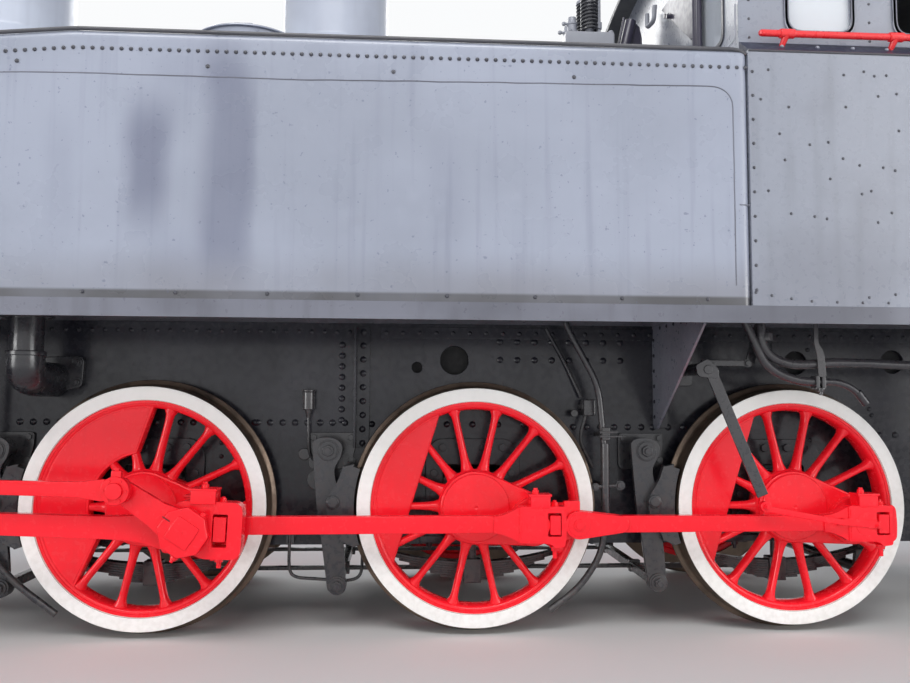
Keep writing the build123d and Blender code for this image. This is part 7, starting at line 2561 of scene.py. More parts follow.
@dataclass
class Motion(OneSide):
    """The slide bar and the bracket that holds its rear end."""

    def dress(self) -> None:
        """Makes the bar and the bracket."""
        bar = self.shape()
        bar.box((-3.37, -1.0515, BAR_LOW), (-2.262, -1.129, BAR_HIGH), 0.003)
        for x in (-3.335, -2.31, -2.285):
            bar.bolt((x, CYLINDER_Y, BAR_HIGH), UP, 0.016, 0.012, 0.008)
        for x in (-3.05, -2.6):
            bar.rod((x, CYLINDER_Y, BAR_HIGH), (x, CYLINDER_Y, BAR_HIGH + 0.024), 0.02, 20, 0.002)
        self.place(bar, "slide_bar", "rod_steel", "motion_brackets")
        shape = self.shape()

        def across(y: float, z: float) -> Point:
            """A place on the bracket's front face."""
            return MOTION_X, y, z

        holes = [softened([(-0.66, 1.43, 0.05), (-0.95, 1.43, 0.05), (-0.95, 1.02, 0.05),
            (-0.66, 1.02, 0.05)]),
            softened([(-1.02, 1.43, 0.04), (-1.18, 1.43, 0.04), (-1.18, 1.22, 0.04),
            (-1.02, 1.22, 0.04)])]
        shape.slab([(-0.612, 0.895), (-0.612, 1.524), (-1.308, 1.524), (-1.308, 1.02),
            (-1.22, 0.895)], across, (0.028, 0, 0), 0.003, holes)
        shape.boxes(((MOTION_X - 0.028, -0.612, 1.512), (MOTION_X + 0.058, -1.308, 1.538), 0.003),
            ((MOTION_X - 0.05, -0.612, 0.92), (MOTION_X + 0.078, -0.626, 1.52), 0.003),
            ((MOTION_X - 0.036, -1.035, 0.894), (MOTION_X + 0.05, -1.145, 0.915), 0.003))
        for z in (1.0, 1.12, 1.24, 1.36, 1.46):
            for x in (-0.034, 0.06):
                shape.bolt((MOTION_X + x, -0.626, z), OUT, 0.014, 0.012, 0.006)
        for y in (-0.72, -0.84, -0.96, -1.08, -1.2):
            shape.bolt((MOTION_X + 0.044, y, 1.512), DOWN, 0.012, 0.01)
        self.place(shape, "motion_bracket", "frame_black", "motion_brackets")


def dress_motion() -> None:
    """Makes the cylinders, crossheads, brackets and valve gear of both sides."""
    for side in Side:
        Cylinder(side).dress()
        Crosshead(side).dress()
        Motion(side).dress()
        ValveGear(side).dress()


# Boiler, smokebox and what stands on them


BOILER_Z, BOILER_R, FIREBOX_R = 2.478, 0.675, 0.69
CROWN_Z = BOILER_Z + FIREBOX_R
SMOKEBOX_FRONT, SMOKEBOX_REAR = -4.45, -3.05
DOOR_R = 0.54


def round_boiler(x: float, radius: float, first: float, last: float, pitch: float) -> list[Point]:
    """Places round the boiler's axis, by angle from +Y towards +Z.

    Args:
        x: The place along the boiler.
        radius: The distance from its axis.
        first: The first angle in degrees.
        last: The last one.
        pitch: The spacing aimed at, in degrees.

    Returns:
        The places.
    """
    count = max(1, round((last - first) / pitch))
    turns = (radians(first + (last - first) * i / count) for i in range(count + 1))
    return [(x, radius * cos(t), BOILER_Z + radius * sin(t)) for t in turns]


@dataclass
class BoilerTop:
    """The boiler, the smokebox and the fittings on them."""

    CHIMNEY_X = -3.75
    DOMES = (-2.14, -0.28)
    DOME_R = 0.31

    def shell(self) -> None:
        """Makes the rivets, plugs and feed pipes of the boiler and the smokebox."""
        soft_copy("boiler", 0.002)
        soft_copy("smokebox", 0.004)
        heads = Shape()
        for x in (SMOKEBOX_FRONT + 0.03, SMOKEBOX_REAR - 0.03, SMOKEBOX_REAR - 0.085):
            for spot in round_boiler(x, FIREBOX_R, -35, 215, 4.6):
                heads.rivets([spot], (0, spot[1], spot[2] - BOILER_Z), 0.011)
        for spot in round_boiler(SMOKEBOX_FRONT, FIREBOX_R - 0.045, 0, 352, 8.0):
            heads.rivets([spot], FORE, 0.012)
        for side in Side:
            for z in (1.6, 1.72, 1.84, 1.96):
                for x in run((-4.2, 0, 0), (-3.54, 0, 0), 0.11):
                    heads.rivets([(x.x, side.sign * 0.58, z)], (0, side.sign, 0), 0.011)
        heads.piece("smokebox_rivets", "smokebox_black")
        plugs = Shape()
        for side in Side:
            for x in (0.7, 1.1, 1.5):
                spot = (x, side.sign * FIREBOX_R, 2.3)
                plugs.rod(spot, (x, side.sign * (FIREBOX_R + 0.02), 2.3), 0.034, 24, 0.002)
                plugs.bolt((x, side.sign * (FIREBOX_R + 0.02), 2.3), (0, side.sign, 0), 0.02, 0.018)
            spot = Vector((-1.72, side.sign * 0.585, 2.815))
            out = Vector((0, side.sign * 0.866, 0.5))
            plugs.rods((spot - out * 0.03, spot + out * 0.04, 0.052, 28, 0.003),
                (spot + out * 0.04, spot + out * 0.12, 0.034, 24, 0.002))
            plugs.bolt(spot + out * 0.12, out, 0.03, 0.024)
        plugs.piece("washout_plugs", "brass")
        feed = Shape()
        for side in Side:
            y = side.sign
            feed.tube([(-1.72, y * 0.655, 2.855), (-1.72, y * 0.7, 2.7), (-1.72, y * 0.715, 2.3),
                (-1.72, y * 0.715, 1.56)], 0.022, 16, 0.08)
        feed.piece("feed_pipes", "copper")

    def door(self) -> None:
        """Makes the smokebox door's fittings and the dogs round it."""
        soft_copy("smokebox_door", 0.004)
        fit = Shape()
        face = SMOKEBOX_FRONT - 0.17
        fit.turned([(0.0, 0.0), (0.03, 0.0), (0.034, 0.012), (0.03, 0.03), (0.0, 0.034)],
            (face, 0, BOILER_Z), Axis.X, 32, -1)
        for turn, reach in ((25, 0.15), (205, 0.06)):
            t = radians(turn)
            end = (face - 0.016, reach * cos(t), BOILER_Z + reach * sin(t))
            fit.rod((face - 0.016, 0, BOILER_Z), end, 0.012, 16, tip=0.009)
            fit.rivets([end], FORE, 0.016, 1.0)
        for z in (-0.23, 0.23):
            for y in (-0.52, -0.44, -0.36):
                fit.bolt((SMOKEBOX_FRONT - 0.066, y, BOILER_Z + z), FORE, 0.013, 0.008)
        fit.piece("door_fittings", "rod_steel", (), "smokebox_door")
        dogs = Shape()
        for spot in round_boiler(SMOKEBOX_FRONT, DOOR_R + 0.048, -60, 150, 30.0):
            if spot[1] < -0.45:
                continue
            inward = (Vector((0, 0, BOILER_Z)) - Vector((0, spot[1], spot[2]))).normalized()
            foot = Vector(spot)
            dogs.rod(foot, foot + Vector((-0.052, 0, 0)), 0.012, 16)
            dogs.bolt(foot + Vector((-0.036, 0, 0)), FORE, 0.018, 0.014, washer=False)
            dogs.bar(foot + Vector((-0.032, 0, 0)) - inward * 0.02, foot + Vector((-0.032, 0, 0))
                + inward * 0.07, 0.026, 0.008)
        dogs.piece("door_dogs", "forged_steel")

    def stacks(self) -> None:
        """Makes the chimney and the two domes."""
        shape = Shape()
        low, crown = BOILER_Z + 0.62, BOILER_Z + FIREBOX_R
        top = 3.508 + 0.668
        shape.turned([(0.182, low), (0.318, low), (0.326, crown + 0.004), (0.286, crown + 0.032),
            (0.24, crown + 0.064), (0.215, crown + 0.108), (0.205, crown + 0.165),
            (0.208, crown + 0.3), (0.225, top - 0.092), (0.24, top - 0.084), (0.268, top - 0.07),
            (0.276, top - 0.04), (0.28, top - 0.012), (0.276, top - 0.003), (0.262, top),
            (0.196, top), (0.182, top - 0.012)], (self.CHIMNEY_X, 0, 0), Axis.Z, 72)
        for px, py in ring(self.CHIMNEY_X, 0, 0.302, 16):
            z = BOILER_Z + sqrt(FIREBOX_R ** 2 - py ** 2)
            shape.bolt((px, py, max(z, crown - 0.06) + 0.016), UP, 0.014, 0.012)
        shape.piece("chimney_casting", "smokebox_black", ["chimney"])
        domes = Shape()
        reach, high = self.DOME_R, 3.808
        foot = BOILER_Z + BOILER_R
        profile = [(0.0, foot - 0.1), (reach + 0.046, foot - 0.09), (reach + 0.049, foot - 0.012),
            (reach + 0.03, foot + 0.024), (reach + 0.01, foot + 0.058), (reach, foot + 0.08),
            (reach, high - 0.17)]
        profile += [(reach - 0.17 * (1 - cos(radians(t))), high - 0.17 * (1 - sin(radians(t))))
            for t in range(10, 91, 10)]
        profile.append((0.0, high))
        for x in self.DOMES:
            domes.turned(profile, (x, 0, 0), Axis.Z, 80)
        domes.piece("dome_casings", "dome_grey", ["domes"])


@dataclass
class CrownFittings:
    """The safety valves and the pipes that show above the left tank."""

    VALVES_X = 1.25

    def valves(self) -> None:
        """Makes the valve casting with its columns and springs."""
        x = self.VALVES_X
        shape = Shape()
        shape.turned([(0.0, -0.06), (0.128, -0.06), (0.13, 0.01), (0.112, 0.04), (0.092, 0.058),
            (0.0, 0.06)], (x, 0, CROWN_Z), Axis.Z, 48)
        shape.box((x - 0.15, -0.105, CROWN_Z + 0.05), (x + 0.15, 0.105, CROWN_Z + 0.205), 0.012)
        for px in (x - 0.12, x + 0.13):
            for py in (-0.085, 0.085):
                shape.bolt((px, py, CROWN_Z + 0.205), UP, 0.014, 0.012)
        for y in (-0.062, 0.062):
            shape.turned([(0.0, 0.0), (0.034, 0.0), (0.034, 0.012), (0.029, 0.016), (0.029, 0.05),
                (0.033, 0.054), (0.033, 0.064), (0.028, 0.068), (0.024, 0.1), (0.0, 0.106)],
                (x - 0.103, y, CROWN_Z + 0.2), Axis.Z, 32)
            shape.rod((x - 0.152, y, CROWN_Z + 0.262), (x - 0.12, y, CROWN_Z + 0.262), 0.008, 12)
            shape.rivets([(x - 0.154, y, CROWN_Z + 0.262)], FORE, 0.014, 1.0)
            shape.rods(((x + 0.062, y, CROWN_Z + 0.2), (x + 0.062, y, CROWN_Z + 0.44), 0.011, 16),
                ((x + 0.062, y, CROWN_Z + 0.235), (x + 0.062, y, CROWN_Z + 0.275), 0.019, 6),
                ((x + 0.003, y, CROWN_Z + 0.2), (x + 0.003, y, CROWN_Z + 0.45), 0.026, 24),
                ((x + 0.003, y, CROWN_Z + 0.44), (x + 0.003, y, CROWN_Z + 0.46), 0.056, 32, 0.004))
        shape.piece("valve_casting", "valve_grey", ["safety_valves"])
        coils = Shape()
        for y in (-0.062, 0.062):
            turns = [tau * k / 20 for k in range(10 * 20 + 1)]
            coils.tube([(x + 0.003 + 0.046 * cos(t), y + 0.046 * sin(t), CROWN_Z + 0.212 + 0.0226
                * t / tau) for t in turns], 0.0085, 10)
        coils.piece("valve_springs", "cylinder_black")

    def pipes(self) -> None:
        """Makes the slanting pipe, the bent pale pipe and the dark plate ahead of the cab."""
        shape = Shape()
        shape.rods(((1.436, -0.02, CROWN_Z - 0.05), (1.522, -0.02, 3.48), 0.034, 24),
            ((1.398, -0.04, CROWN_Z - 0.05), (1.474, -0.04, 3.49), 0.008, 12))
        shape.plate([(1.5, CROWN_Z + 0.02), (1.582, CROWN_Z + 0.02), (1.582, 3.448), (1.56, 3.47),
            (1.528, 3.42)], -0.01, 0.01, 0.003)
        shape.tube([(1.585, 0.0, CROWN_Z), (1.59, 0.0, 3.4), (1.56, 0.0, 3.47)], 0.007, 10, 0.05)
        shape.slab([(-0.3, 3.42), (-0.828, 3.42), (-0.828, 3.03), (-0.79, 3.03)], lambda y,
            z: (1.625, y, z), (0.012, 0, 0), 0.003)
        for y, z in ((-0.42, 3.33), (-0.46, 3.31)):
            shape.bolt((1.625, y, z), FORE, 0.014, 0.022)
        for y, wide in ((-0.846, 0.016), (-0.872, 0.01), (-0.905, 0.014)):
            shape.rod((1.63, y, 2.69), (1.63, y, 3.42), wide, 16)
        shape.piece("crown_pipes", "pipe_violet")
        pale = Shape()
        pale.tubes(([(1.6, -0.1, 3.49), (1.6, -0.1, 3.405), (1.605, -0.22, 3.395),
            (1.605, -0.24, 3.48)], 0.014, 14, 0.035),
            ([(1.575, -1.3, 2.72), (1.64, -1.335, 2.8), (1.642, -1.338, 2.96)], 0.005, 8, 0.02))
        for x in (1.456, 1.572, 1.623):
            pale.bolt((x, -1.0, TANK_TOP), UP, 0.018, 0.022)
        pale.piece("pale_pipes", "valve_grey")

    def dress(self) -> None:
        """Makes all of them."""
        self.valves()
        self.pipes()


# The cab's inside, its ends and the bunker


ROOF_R, ROOF_TOP = 3.558, 3.811


@dataclass
class CabRoom:
    """What shows inside the cab, through its windows and doorways, and on its ends."""

    BACKHEAD = 1.95
    GAUGE_Z = 2.76

    def backhead(self) -> None:
        """Makes the fire door, the gauges, the regulator and the pipes."""
        x = self.BACKHEAD
        iron = Shape()
        iron.plate(softened([(x, 1.62, 0.0), (x, 1.6, 0.0), (x + 0.012, 1.6, 0.0), (x + 0.012, 1.62,
            0.0)]), -0.5, 0.5, 0.002)
        iron.turned([(0.0, 0.0), (0.24, 0.0), (0.24, 0.024), (0.222, 0.032), (0.06, 0.038),
            (0.0, 0.04)], (x, 0, 2.0), Axis.X, 56)
        iron.boxes(((x + 0.034, -0.235, 2.085), (x + 0.046, 0.15, 2.125), 0.003),
            ((x + 0.034, -0.235, 1.875), (x + 0.046, 0.15, 1.915), 0.003))
        iron.rod((x + 0.03, -0.248, 1.85), (x + 0.03, -0.248, 2.15), 0.014, 20)
        iron.tube([(x + 0.045, 0.16, 2.06), (x + 0.11, 0.16, 2.06), (x + 0.11, 0.16, 1.94),
            (x + 0.045, 0.16, 1.94)], 0.009, 12, 0.02)
        iron.box((x, -0.12, self.GAUGE_Z + 0.1), (x + 0.09, 0.12, self.GAUGE_Z + 0.2), 0.01)
        iron.plate(hull((x + 0.11, self.GAUGE_Z + 0.2, 0.017), (x + 0.11, self.GAUGE_Z - 0.14,
            0.015)), 0.018, -0.018, 0.004)
        iron.rod((x + 0.09, 0, self.GAUGE_Z - 0.14), (x + 0.15, 0, self.GAUGE_Z - 0.14), 0.017, 20,
            0.003)
        iron.box((x, -0.03, self.GAUGE_Z - 0.17), (x + 0.12, 0.03, self.GAUGE_Z - 0.11), 0.006)
        iron.piece("backhead_iron", "cast_iron", ["backhead_fittings"])
        bright = Shape()
        dials = Shape()
        for y in (-0.24, 0.0, 0.24):
            bright.turned([(0.0, 0.0), (0.075, 0.0), (0.075, 0.052), (0.07, 0.06), (0.062, 0.06),
                (0.06, 0.05), (0.0, 0.05)], (x, y, self.GAUGE_Z), Axis.X, 40)
            dials.turned([(0.0, 0.0505), (0.059, 0.0505), (0.059, 0.0525), (0.0, 0.0525)],
                (x, y, self.GAUGE_Z), Axis.X, 40)
            bright.tube([(x + 0.02, y, self.GAUGE_Z - 0.07), (x + 0.02, y, 2.6),
                (x + 0.012, y * 0.6, 2.48)], 0.006, 10, 0.04)
        for side in Side:
            y = side.sign * 0.4
            for z in (2.34, 2.62):
                bright.rods(((x, y, z), (x + 0.062, y, z), 0.016, 20, 0.002),
                    ((x + 0.046, y, z - 0.024), (x + 0.046, y, z + 0.024), 0.017, 6))
            bright.rod((x + 0.046, y, 2.36), (x + 0.046, y, 2.6), 0.009, 14)
            bright.tube([(x, side.sign * 0.28, 2.22), (x + 0.05, side.sign * 0.28, 2.22),
                (x + 0.05, side.sign * 0.52, 2.22), (x + 0.05, side.sign * 0.52, 1.62)], 0.012, 12,
                0.05)
        bright.piece("backhead_brass", "brass")
        dials.piece("gauge_dials", "tyre_white")

    def controls(self) -> None:
        """Makes the reverser with its spoked wheel and the seats."""
        soft = Shape()
        y, z = -1.21, 2.221
        soft.boxes(((1.782, y - 0.078, z - 0.063), (2.328, y + 0.078, z + 0.063), 0.012),
            ((1.96, y - 0.05, 1.597), (2.06, y + 0.05, z - 0.06), 0.008))
        for x in (1.8, 1.9, 2.0, 2.1, 2.2, 2.3):
            soft.bolt((x, y - 0.078, z + 0.04), OUT, 0.01, 0.007)
        soft.piece("reverser_box", "gear_black", ["reverser"])
        wheel = Shape()
        rim = [(2.345, y + 0.196 * cos(t), z + 0.196 * sin(t))
            for t in (tau * k / 48 for k in range(49))]
        wheel.tube(rim, 0.0135, 12)
        wheel.rod((2.33, y, z), (2.36, y, z), 0.044, 28, 0.003)
        for k in range(5):
            t = tau * k / 5 + 0.3
            wheel.rod((2.345, y, z), (2.345, y + 0.19 * cos(t), z + 0.19 * sin(t)), 0.012, 14,
                tip=0.009)
        wheel.rod((2.352, y + 0.19, z), (2.36, y + 0.19, z), 0.012, 14)
        wheel.piece("reverser_wheel", "rod_steel")
        seats = Shape()
        for side in Side:
            edge = side.sign
            seats.boxes(((2.562, edge * 0.932, 2.096), (2.958, edge * 1.398, 2.134), 0.014),
                ((2.57, edge * 0.94, 2.077), (2.95, edge * 1.398, 2.096), 0.004),
                ((2.602, edge * 1.332, 1.597), (2.918, edge * 1.398, 2.077), 0.006))
        seats.piece("cab_seat_boards", "seat_wood", ["cab_seats"])

    def frames(self) -> None:
        """Makes the window frames of both cab ends, the roof's gutters and its hatch."""
        soft_copy("cab_front", 0.002, "cab_grey")
        soft_copy("cab_rear", 0.002, "cab_grey")
        shape = Shape()
        for x, step, wy, wz, wide, high in ((1.65, -0.007, 1.0, 3.08, 0.33, 0.42),
                (4.05, 0.007, 0.82, 3.12, 0.42, 0.36)):
            for side in Side:
                y = side.sign * wy
                outer = rectangle(y - wide / 2 - 0.022, y + wide / 2 + 0.022, wz - high / 2 - 0.022,
                    wz + high / 2 + 0.022, 0.06)
                inner = rectangle(y - wide / 2 + 0.001, y + wide / 2 - 0.001, wz - high / 2 + 0.001,
                    wz + high / 2 - 0.001, 0.045)
                shape.slab(outer, lambda a, b, place=x: (place, a, b), (step, 0, 0), 0.002, [inner])
        shape.piece("end_window_frames", "bead_dark")
        roof = Shape()
        for x in (1.56, 2.2, 2.85, 3.5, 4.145):
            turns = [radians(23.5 * i / 12) for i in range(-12, 13)]
            roof.tube([(x, ROOF_R * sin(t), ROOF_TOP - ROOF_R * (1 - cos(t))) for t in turns],
                0.007, 8)
        for side in Side:
            roof.rod((1.545, side.sign * 1.424, 3.5), (4.155, side.sign * 1.424, 3.5), 0.006, 10)
        roof.box((2.55, -0.3, 3.8), (3.15, 0.3, 3.824), 0.006)
        roof.piece("roof_ribs", "roof_grey")
        soft_copy("cab_roof", 0.004)

    def bunker(self) -> None:
        """Makes the coal, the bunker's rivets and beads, and the ladder at its back."""
        soft_copy("coal_bunker", 0.003, "cab_grey")
        heap = bmesh.new()
        bmesh.ops.create_grid(heap, x_segments=44, y_segments=110, size=0.5)
        for vert in heap.verts:
            x, y = 4.07 + 0.9 * (vert.co.x + 0.5), 2.6 * vert.co.y
            away = max(0.0, 1 - (abs(y) / 1.34) ** 2.6)
            rough = 0.045 * noise.noise(Vector((x * 9, y * 9, 1.0))) \
                + 0.03 * noise.noise(Vector((x * 22, y * 22, 4.0)))
            z = 2.34 + 0.3 * away + rough + 0.1 * (x - 4.07)
            vert.co = Vector((x, y, min(z, 2.775)))
        grown = bmesh.ops.extrude_face_region(heap, geom=heap.faces[:])
        for vert in grown["geom"]:
            if isinstance(vert, bmesh.types.BMVert):
                vert.co.z = 1.7
        coal = Shape()
        coal.add(heap)
        coal.piece("coal_heap", "coal")
        shape = Shape()
        rear = 4.99
        for z in (1.62, 2.72):
            shape.rivets(run((rear, -1.28, z), (rear, 1.28, z), 0.055), AFT, 0.009)
        for y in (-1.3, 1.3):
            shape.rivets(run((rear, y, 1.62), (rear, y, 2.72), 0.055), AFT, 0.009)
            for z in (1.62, 2.72):
                shape.rivets(run((4.09, y * 1.33 / 1.3, z), (4.95, y * 1.33 / 1.3, z), 0.055),
                    (0, y, 0), 0.009)
        shape.tube([(4.06, -1.33, 2.79), (4.99, -1.33, 2.79), (4.99, 1.33, 2.79),
            (4.06, 1.33, 2.79)], 0.011, 10, 0.03)
        shape.piece("bunker_rivets", "bead_dark")
        steps = Shape()
        for y in (0.62, 1.02):
            steps.bar((rear + 0.07, y, 1.6), (rear + 0.07, y, 2.76), 0.03, 0.01)
            for z in (1.64, 2.72):
                steps.rod((rear, y, z), (rear + 0.072, y, z), 0.01, 12)
        for z in (1.8, 2.04, 2.28, 2.52):
            steps.rod((rear + 0.07, 0.62, z), (rear + 0.07, 1.02, z), 0.011, 14)
        steps.piece("bunker_ladder", "gear_black")

    def ledges(self) -> None:
        """Makes the dark strip of painted shade and painted reflection over the ledge of each cab
        side.
        """
        for side in Side:
            shape = Shape(side_frame(side, 0, 0))
            # The strip's dark blue is painted shade and a painted reflection on the sloped ledge.
            for x0, x1 in ((1.652, 3.048), (3.692, 4.048)):
                shape.loft([[(x, -1.4495, 2.6985), (x, -1.4475, 2.702), (x, -1.353, 2.776),
                    (x, -1.3505, 2.776), (x, -1.3505, 2.6985)] for x in (x0, x1)], 0.001)
            shape.piece(f"ledge_strip_{side.word}", "ledge_blue")
            heads = Shape(side_frame(side, 0, 0))
            heads.rivets([(x, -1.4, 2.7405) for x in (1.83, 1.995, 2.16, 2.32, 2.48, 2.64, 2.8,
                2.96)], (0, -0.6, 0.8), 0.01, 0.8)
            heads.piece(f"ledge_rivets_{side.word}", "cab_grey")

    def dress(self) -> None:
        """Makes all of it."""
        self.backhead()
        self.controls()
        self.frames()
        self.bunker()
        self.ledges()


# The two ends, and what stands on the footplate


@dataclass
class EngineEnd:
    """A buffer beam with its buffers, coupling and lamps.

    Attributes:
        way: -1 at the front and 1 at the rear.
        name: Its name.
    """

    way: int
    name: str

    FACE = 5.23
    Z = 1.078

    def beam(self) -> None:
        """Makes the beam's rivets and the buffers."""
        w, x = self.way, self.way * self.FACE
        shape = Shape()
        shape.box((w * 5.152, -1.298, 0.87), (x, 1.298, 1.286), 0.006)
        for z in (0.895, 1.261):
            shape.rivets(run((x, -1.26, z), (x, 1.26, z), 0.09), (w, 0, 0), 0.012)
        for y in (-0.6, 0.6):
            shape.rivets(run((x, y, 0.94), (x, y, 1.22), 0.07), (w, 0, 0), 0.012)
        shape.piece(f"beam_{self.name}", "beam_red", ["buffer_beams"])
        buffer = Shape()
        for y in (-0.875, 0.875):
            buffer.turned([(0.0, 0.0), (0.166, 0.0), (0.17, 0.004), (0.17, 0.027), (0.165, 0.031),
                (0.14, 0.034), (0.127, 0.042), (0.119, 0.075), (0.114, 0.2), (0.116, 0.3),
                (0.119, 0.306), (0.119, 0.326), (0.114, 0.331), (0.082, 0.331), (0.081, 0.56),
                (0.096, 0.574), (0.222, 0.586), (0.225, 0.592), (0.225, 0.6), (0.22, 0.605),
                (0.15, 0.614), (0.07, 0.619), (0.0, 0.62)], (x, y, self.Z), Axis.X, 72, w)
            for py, pz in ring(y, self.Z, 0.148, 8):
                buffer.bolt((x + w * 0.031, py, pz), (w, 0, 0), 0.017, 0.015, 0.008)
        buffer.piece(f"buffers_{self.name}", "buffer_black", ["buffers"])

    def coupling(self) -> None:
        """Makes the hook and the screw coupling."""
        w, x, z = self.way, self.way * self.FACE, self.Z
        shape = Shape()
        shape.box((x, -0.13, z - 0.13), (x + w * 0.024, 0.13, z + 0.13), 0.005)
        for y in (-0.098, 0.098):
            for dz in (-0.098, 0.098):
                shape.bolt((x + w * 0.024, y, z + dz), (w, 0, 0), 0.018, 0.015, 0.008)
        outline = softened([(0.024, -0.032, 0.0), (0.12, -0.04, 0.02), (0.2, -0.062, 0.02),
            (0.262, -0.052, 0.03), (0.3, 0.01, 0.03), (0.298, 0.064, 0.014), (0.276, 0.086, 0.012),
            (0.254, 0.072, 0.01), (0.246, 0.02, 0.012), (0.216, -0.006, 0.014),
            (0.184, 0.006, 0.012), (0.16, 0.034, 0.014), (0.024, 0.034, 0.0)])
        shape.plate([(x + w * a, z + b) for a, b in outline], -0.023, 0.023, 0.006, 3)
        px = x + w * 0.13
        shape.rod((px, -0.062, z), (px, 0.062, z), 0.02, 24, 0.003)
        low = z - 0.41
        for side in (-1, 1):
            y = side * 0.046
            shape.plate(hull((px, z, 0.024), (px, z - 0.19, 0.021)), y - 0.011, y + 0.011, 0.003)
            shape.rods(((px, y, z - 0.235), (px, y, low), 0.011, 16),
                ((px, side * 0.06, z - 0.19), (px, side * 0.034, z - 0.19), 0.019, 20))
        shape.rods(((px, -0.062, low), (px, 0.062, low), 0.018, 20, 0.003),
            ((px, -0.062, z - 0.23), (px, 0.062, z - 0.23), 0.017, 20, 0.003),
            ((px, 0, z - 0.17), (px, 0, low + 0.01), 0.015, 18))
        shape.piece(f"coupling_{self.name}", "forged_steel", ["draw_gear"])

    def lamps(self) -> None:
        """Makes the two lamps."""
        w = self.way
        body, lens = Shape(), Shape()
        back, face = w * 5.0, w * 5.14
        for y in (-1.09, 1.09):
            body.boxes(((back, y - 0.089, 1.557), (face, y + 0.089, 1.8), 0.008),
                ((back + w * 0.01, y - 0.095, 1.796), (face + w * 0.004, y + 0.095, 1.808), 0.003))
            body.turned([(0.066, 0.0), (0.08, 0.0), (0.08, 0.036), (0.076, 0.04), (0.068, 0.04),
                (0.066, 0.036)], (face, y, 1.706), Axis.X, 40, w)
            body.rod((back + w * 0.07, y, 1.806), (back + w * 0.07, y, 1.815), 0.04, 28)
            lens.turned([(0.0, 0.004), (0.067, 0.004), (0.067, 0.02), (0.05, 0.028), (0.0, 0.034)],
                (face, y, 1.706), Axis.X, 40, w)
        body.piece(f"lamp_bodies_{self.name}", "lamp_black", ["lamps"])
        lens.piece(f"lamp_lenses_{self.name}", "lamp_glass")

    def dress(self) -> None:
        """Makes all of it."""
        self.beam()
        self.coupling()
        self.lamps()


def dress_footplate_items() -> None:
    """Makes the air pump, the reservoir's straps, the step treads and the ashpan's edges."""
    pump = Shape()
    x, y = -3.95, 1.18
    for radius, low, high in ((0.128, 1.556, 1.936), (0.068, 1.936, 2.076), (0.108, 2.076, 2.416)):
        pump.turned([(0.0, low), (radius, low), (radius, high), (0.0, high)], (x, y, 0), Axis.Z, 48)
    for z in run((0, 0, 1.59), (0, 0, 1.905), 0.032):
        pump.rod((x, y, z.z - 0.005), (x, y, z.z + 0.005), 0.13, 48, 0.001)
    for z, reach, count in ((1.918, 0.126, 10), (2.094, 0.106, 8), (2.398, 0.106, 8)):
        pump.rod((x, y, z - 0.016), (x, y, z + 0.016), reach, 48, 0.002)
        for px, py in ring(x, y, reach - 0.018, count):
            pump.bolt((px, py, z + 0.016), UP, 0.012, 0.01, 0.005)
    pump.piece("pump_body", "gear_black", ["air_pump"])
    pipes = Shape()
    pipes.tubes(([(x + 0.06, y - 0.06, 2.4), (x + 0.06, y - 0.3, 2.4), (x + 0.06, 0.64, 2.4)],
        0.016, 12, 0.05),
        ([(x + 0.1, y, 1.72), (x + 0.22, y, 1.72), (x + 0.22, y, 1.558)], 0.014, 12, 0.05))
    pipes.piece("pump_pipes", "copper")
    soft_copy("air_reservoir", 0.02)
    straps = Shape()
    for place in (3.95, 4.3, 4.65):
        straps.turned([(0.1905, -0.02), (0.194, -0.02), (0.194, 0.02), (0.1905, 0.02)],
            (place, 0, 1.15), Axis.X, 56)
    straps.piece("reservoir_straps", "gear_black")
    treads = Shape()
    for side in Side:
        part = Shape(side_frame(side, 0, 0))
        for step_x in (-4.8, 3.37):
            for z in (0.52, 0.85, 1.18):
                for k in range(9):
                    part.box((step_x - 0.195, -1.232 - 0.022 * k, z + 0.022),
                        (step_x + 0.195, -1.24 - 0.022 * k, z + 0.026), 0.001)
            for edge in (-0.222, 0.222):
                for z in (0.535, 0.865, 1.195):
                    for yy in (-1.27, -1.38):
                        part.bolt((step_x + edge, yy, z), (edge, 0, 0), 0.011, 0.008)
        treads.absorb(part)
    treads.piece("step_treads", "frame_black")
    pan = Shape()
    for y in (-0.44, 0.44):
        out = (0, copysign(1, y), 0)
        pan.rivet_rows((run((0.7, y, 0.86), (1.82, y, 0.86), 0.08), out, 0.01),
            (run((0.89, y, 0.47), (1.67, y, 0.47), 0.08), out, 0.01))
    pan.box((0.86, -0.438, 0.44), (1.7, 0.438, 0.452), 0.002)
    pan.piece("ashpan_rivets", "gear_black")


def dress_body() -> None:
    """Makes the boiler, the cab, the ends and the fittings."""
    top = BoilerTop()
    top.shell()
    top.door()
    top.stacks()
    CrownFittings().dress()
    CabRoom().dress()
    for way, name in ((-1, "front"), (1, "rear")):
        EngineEnd(way, name).dress()
    dress_footplate_items()


# Plain pieces that keep the frame's form


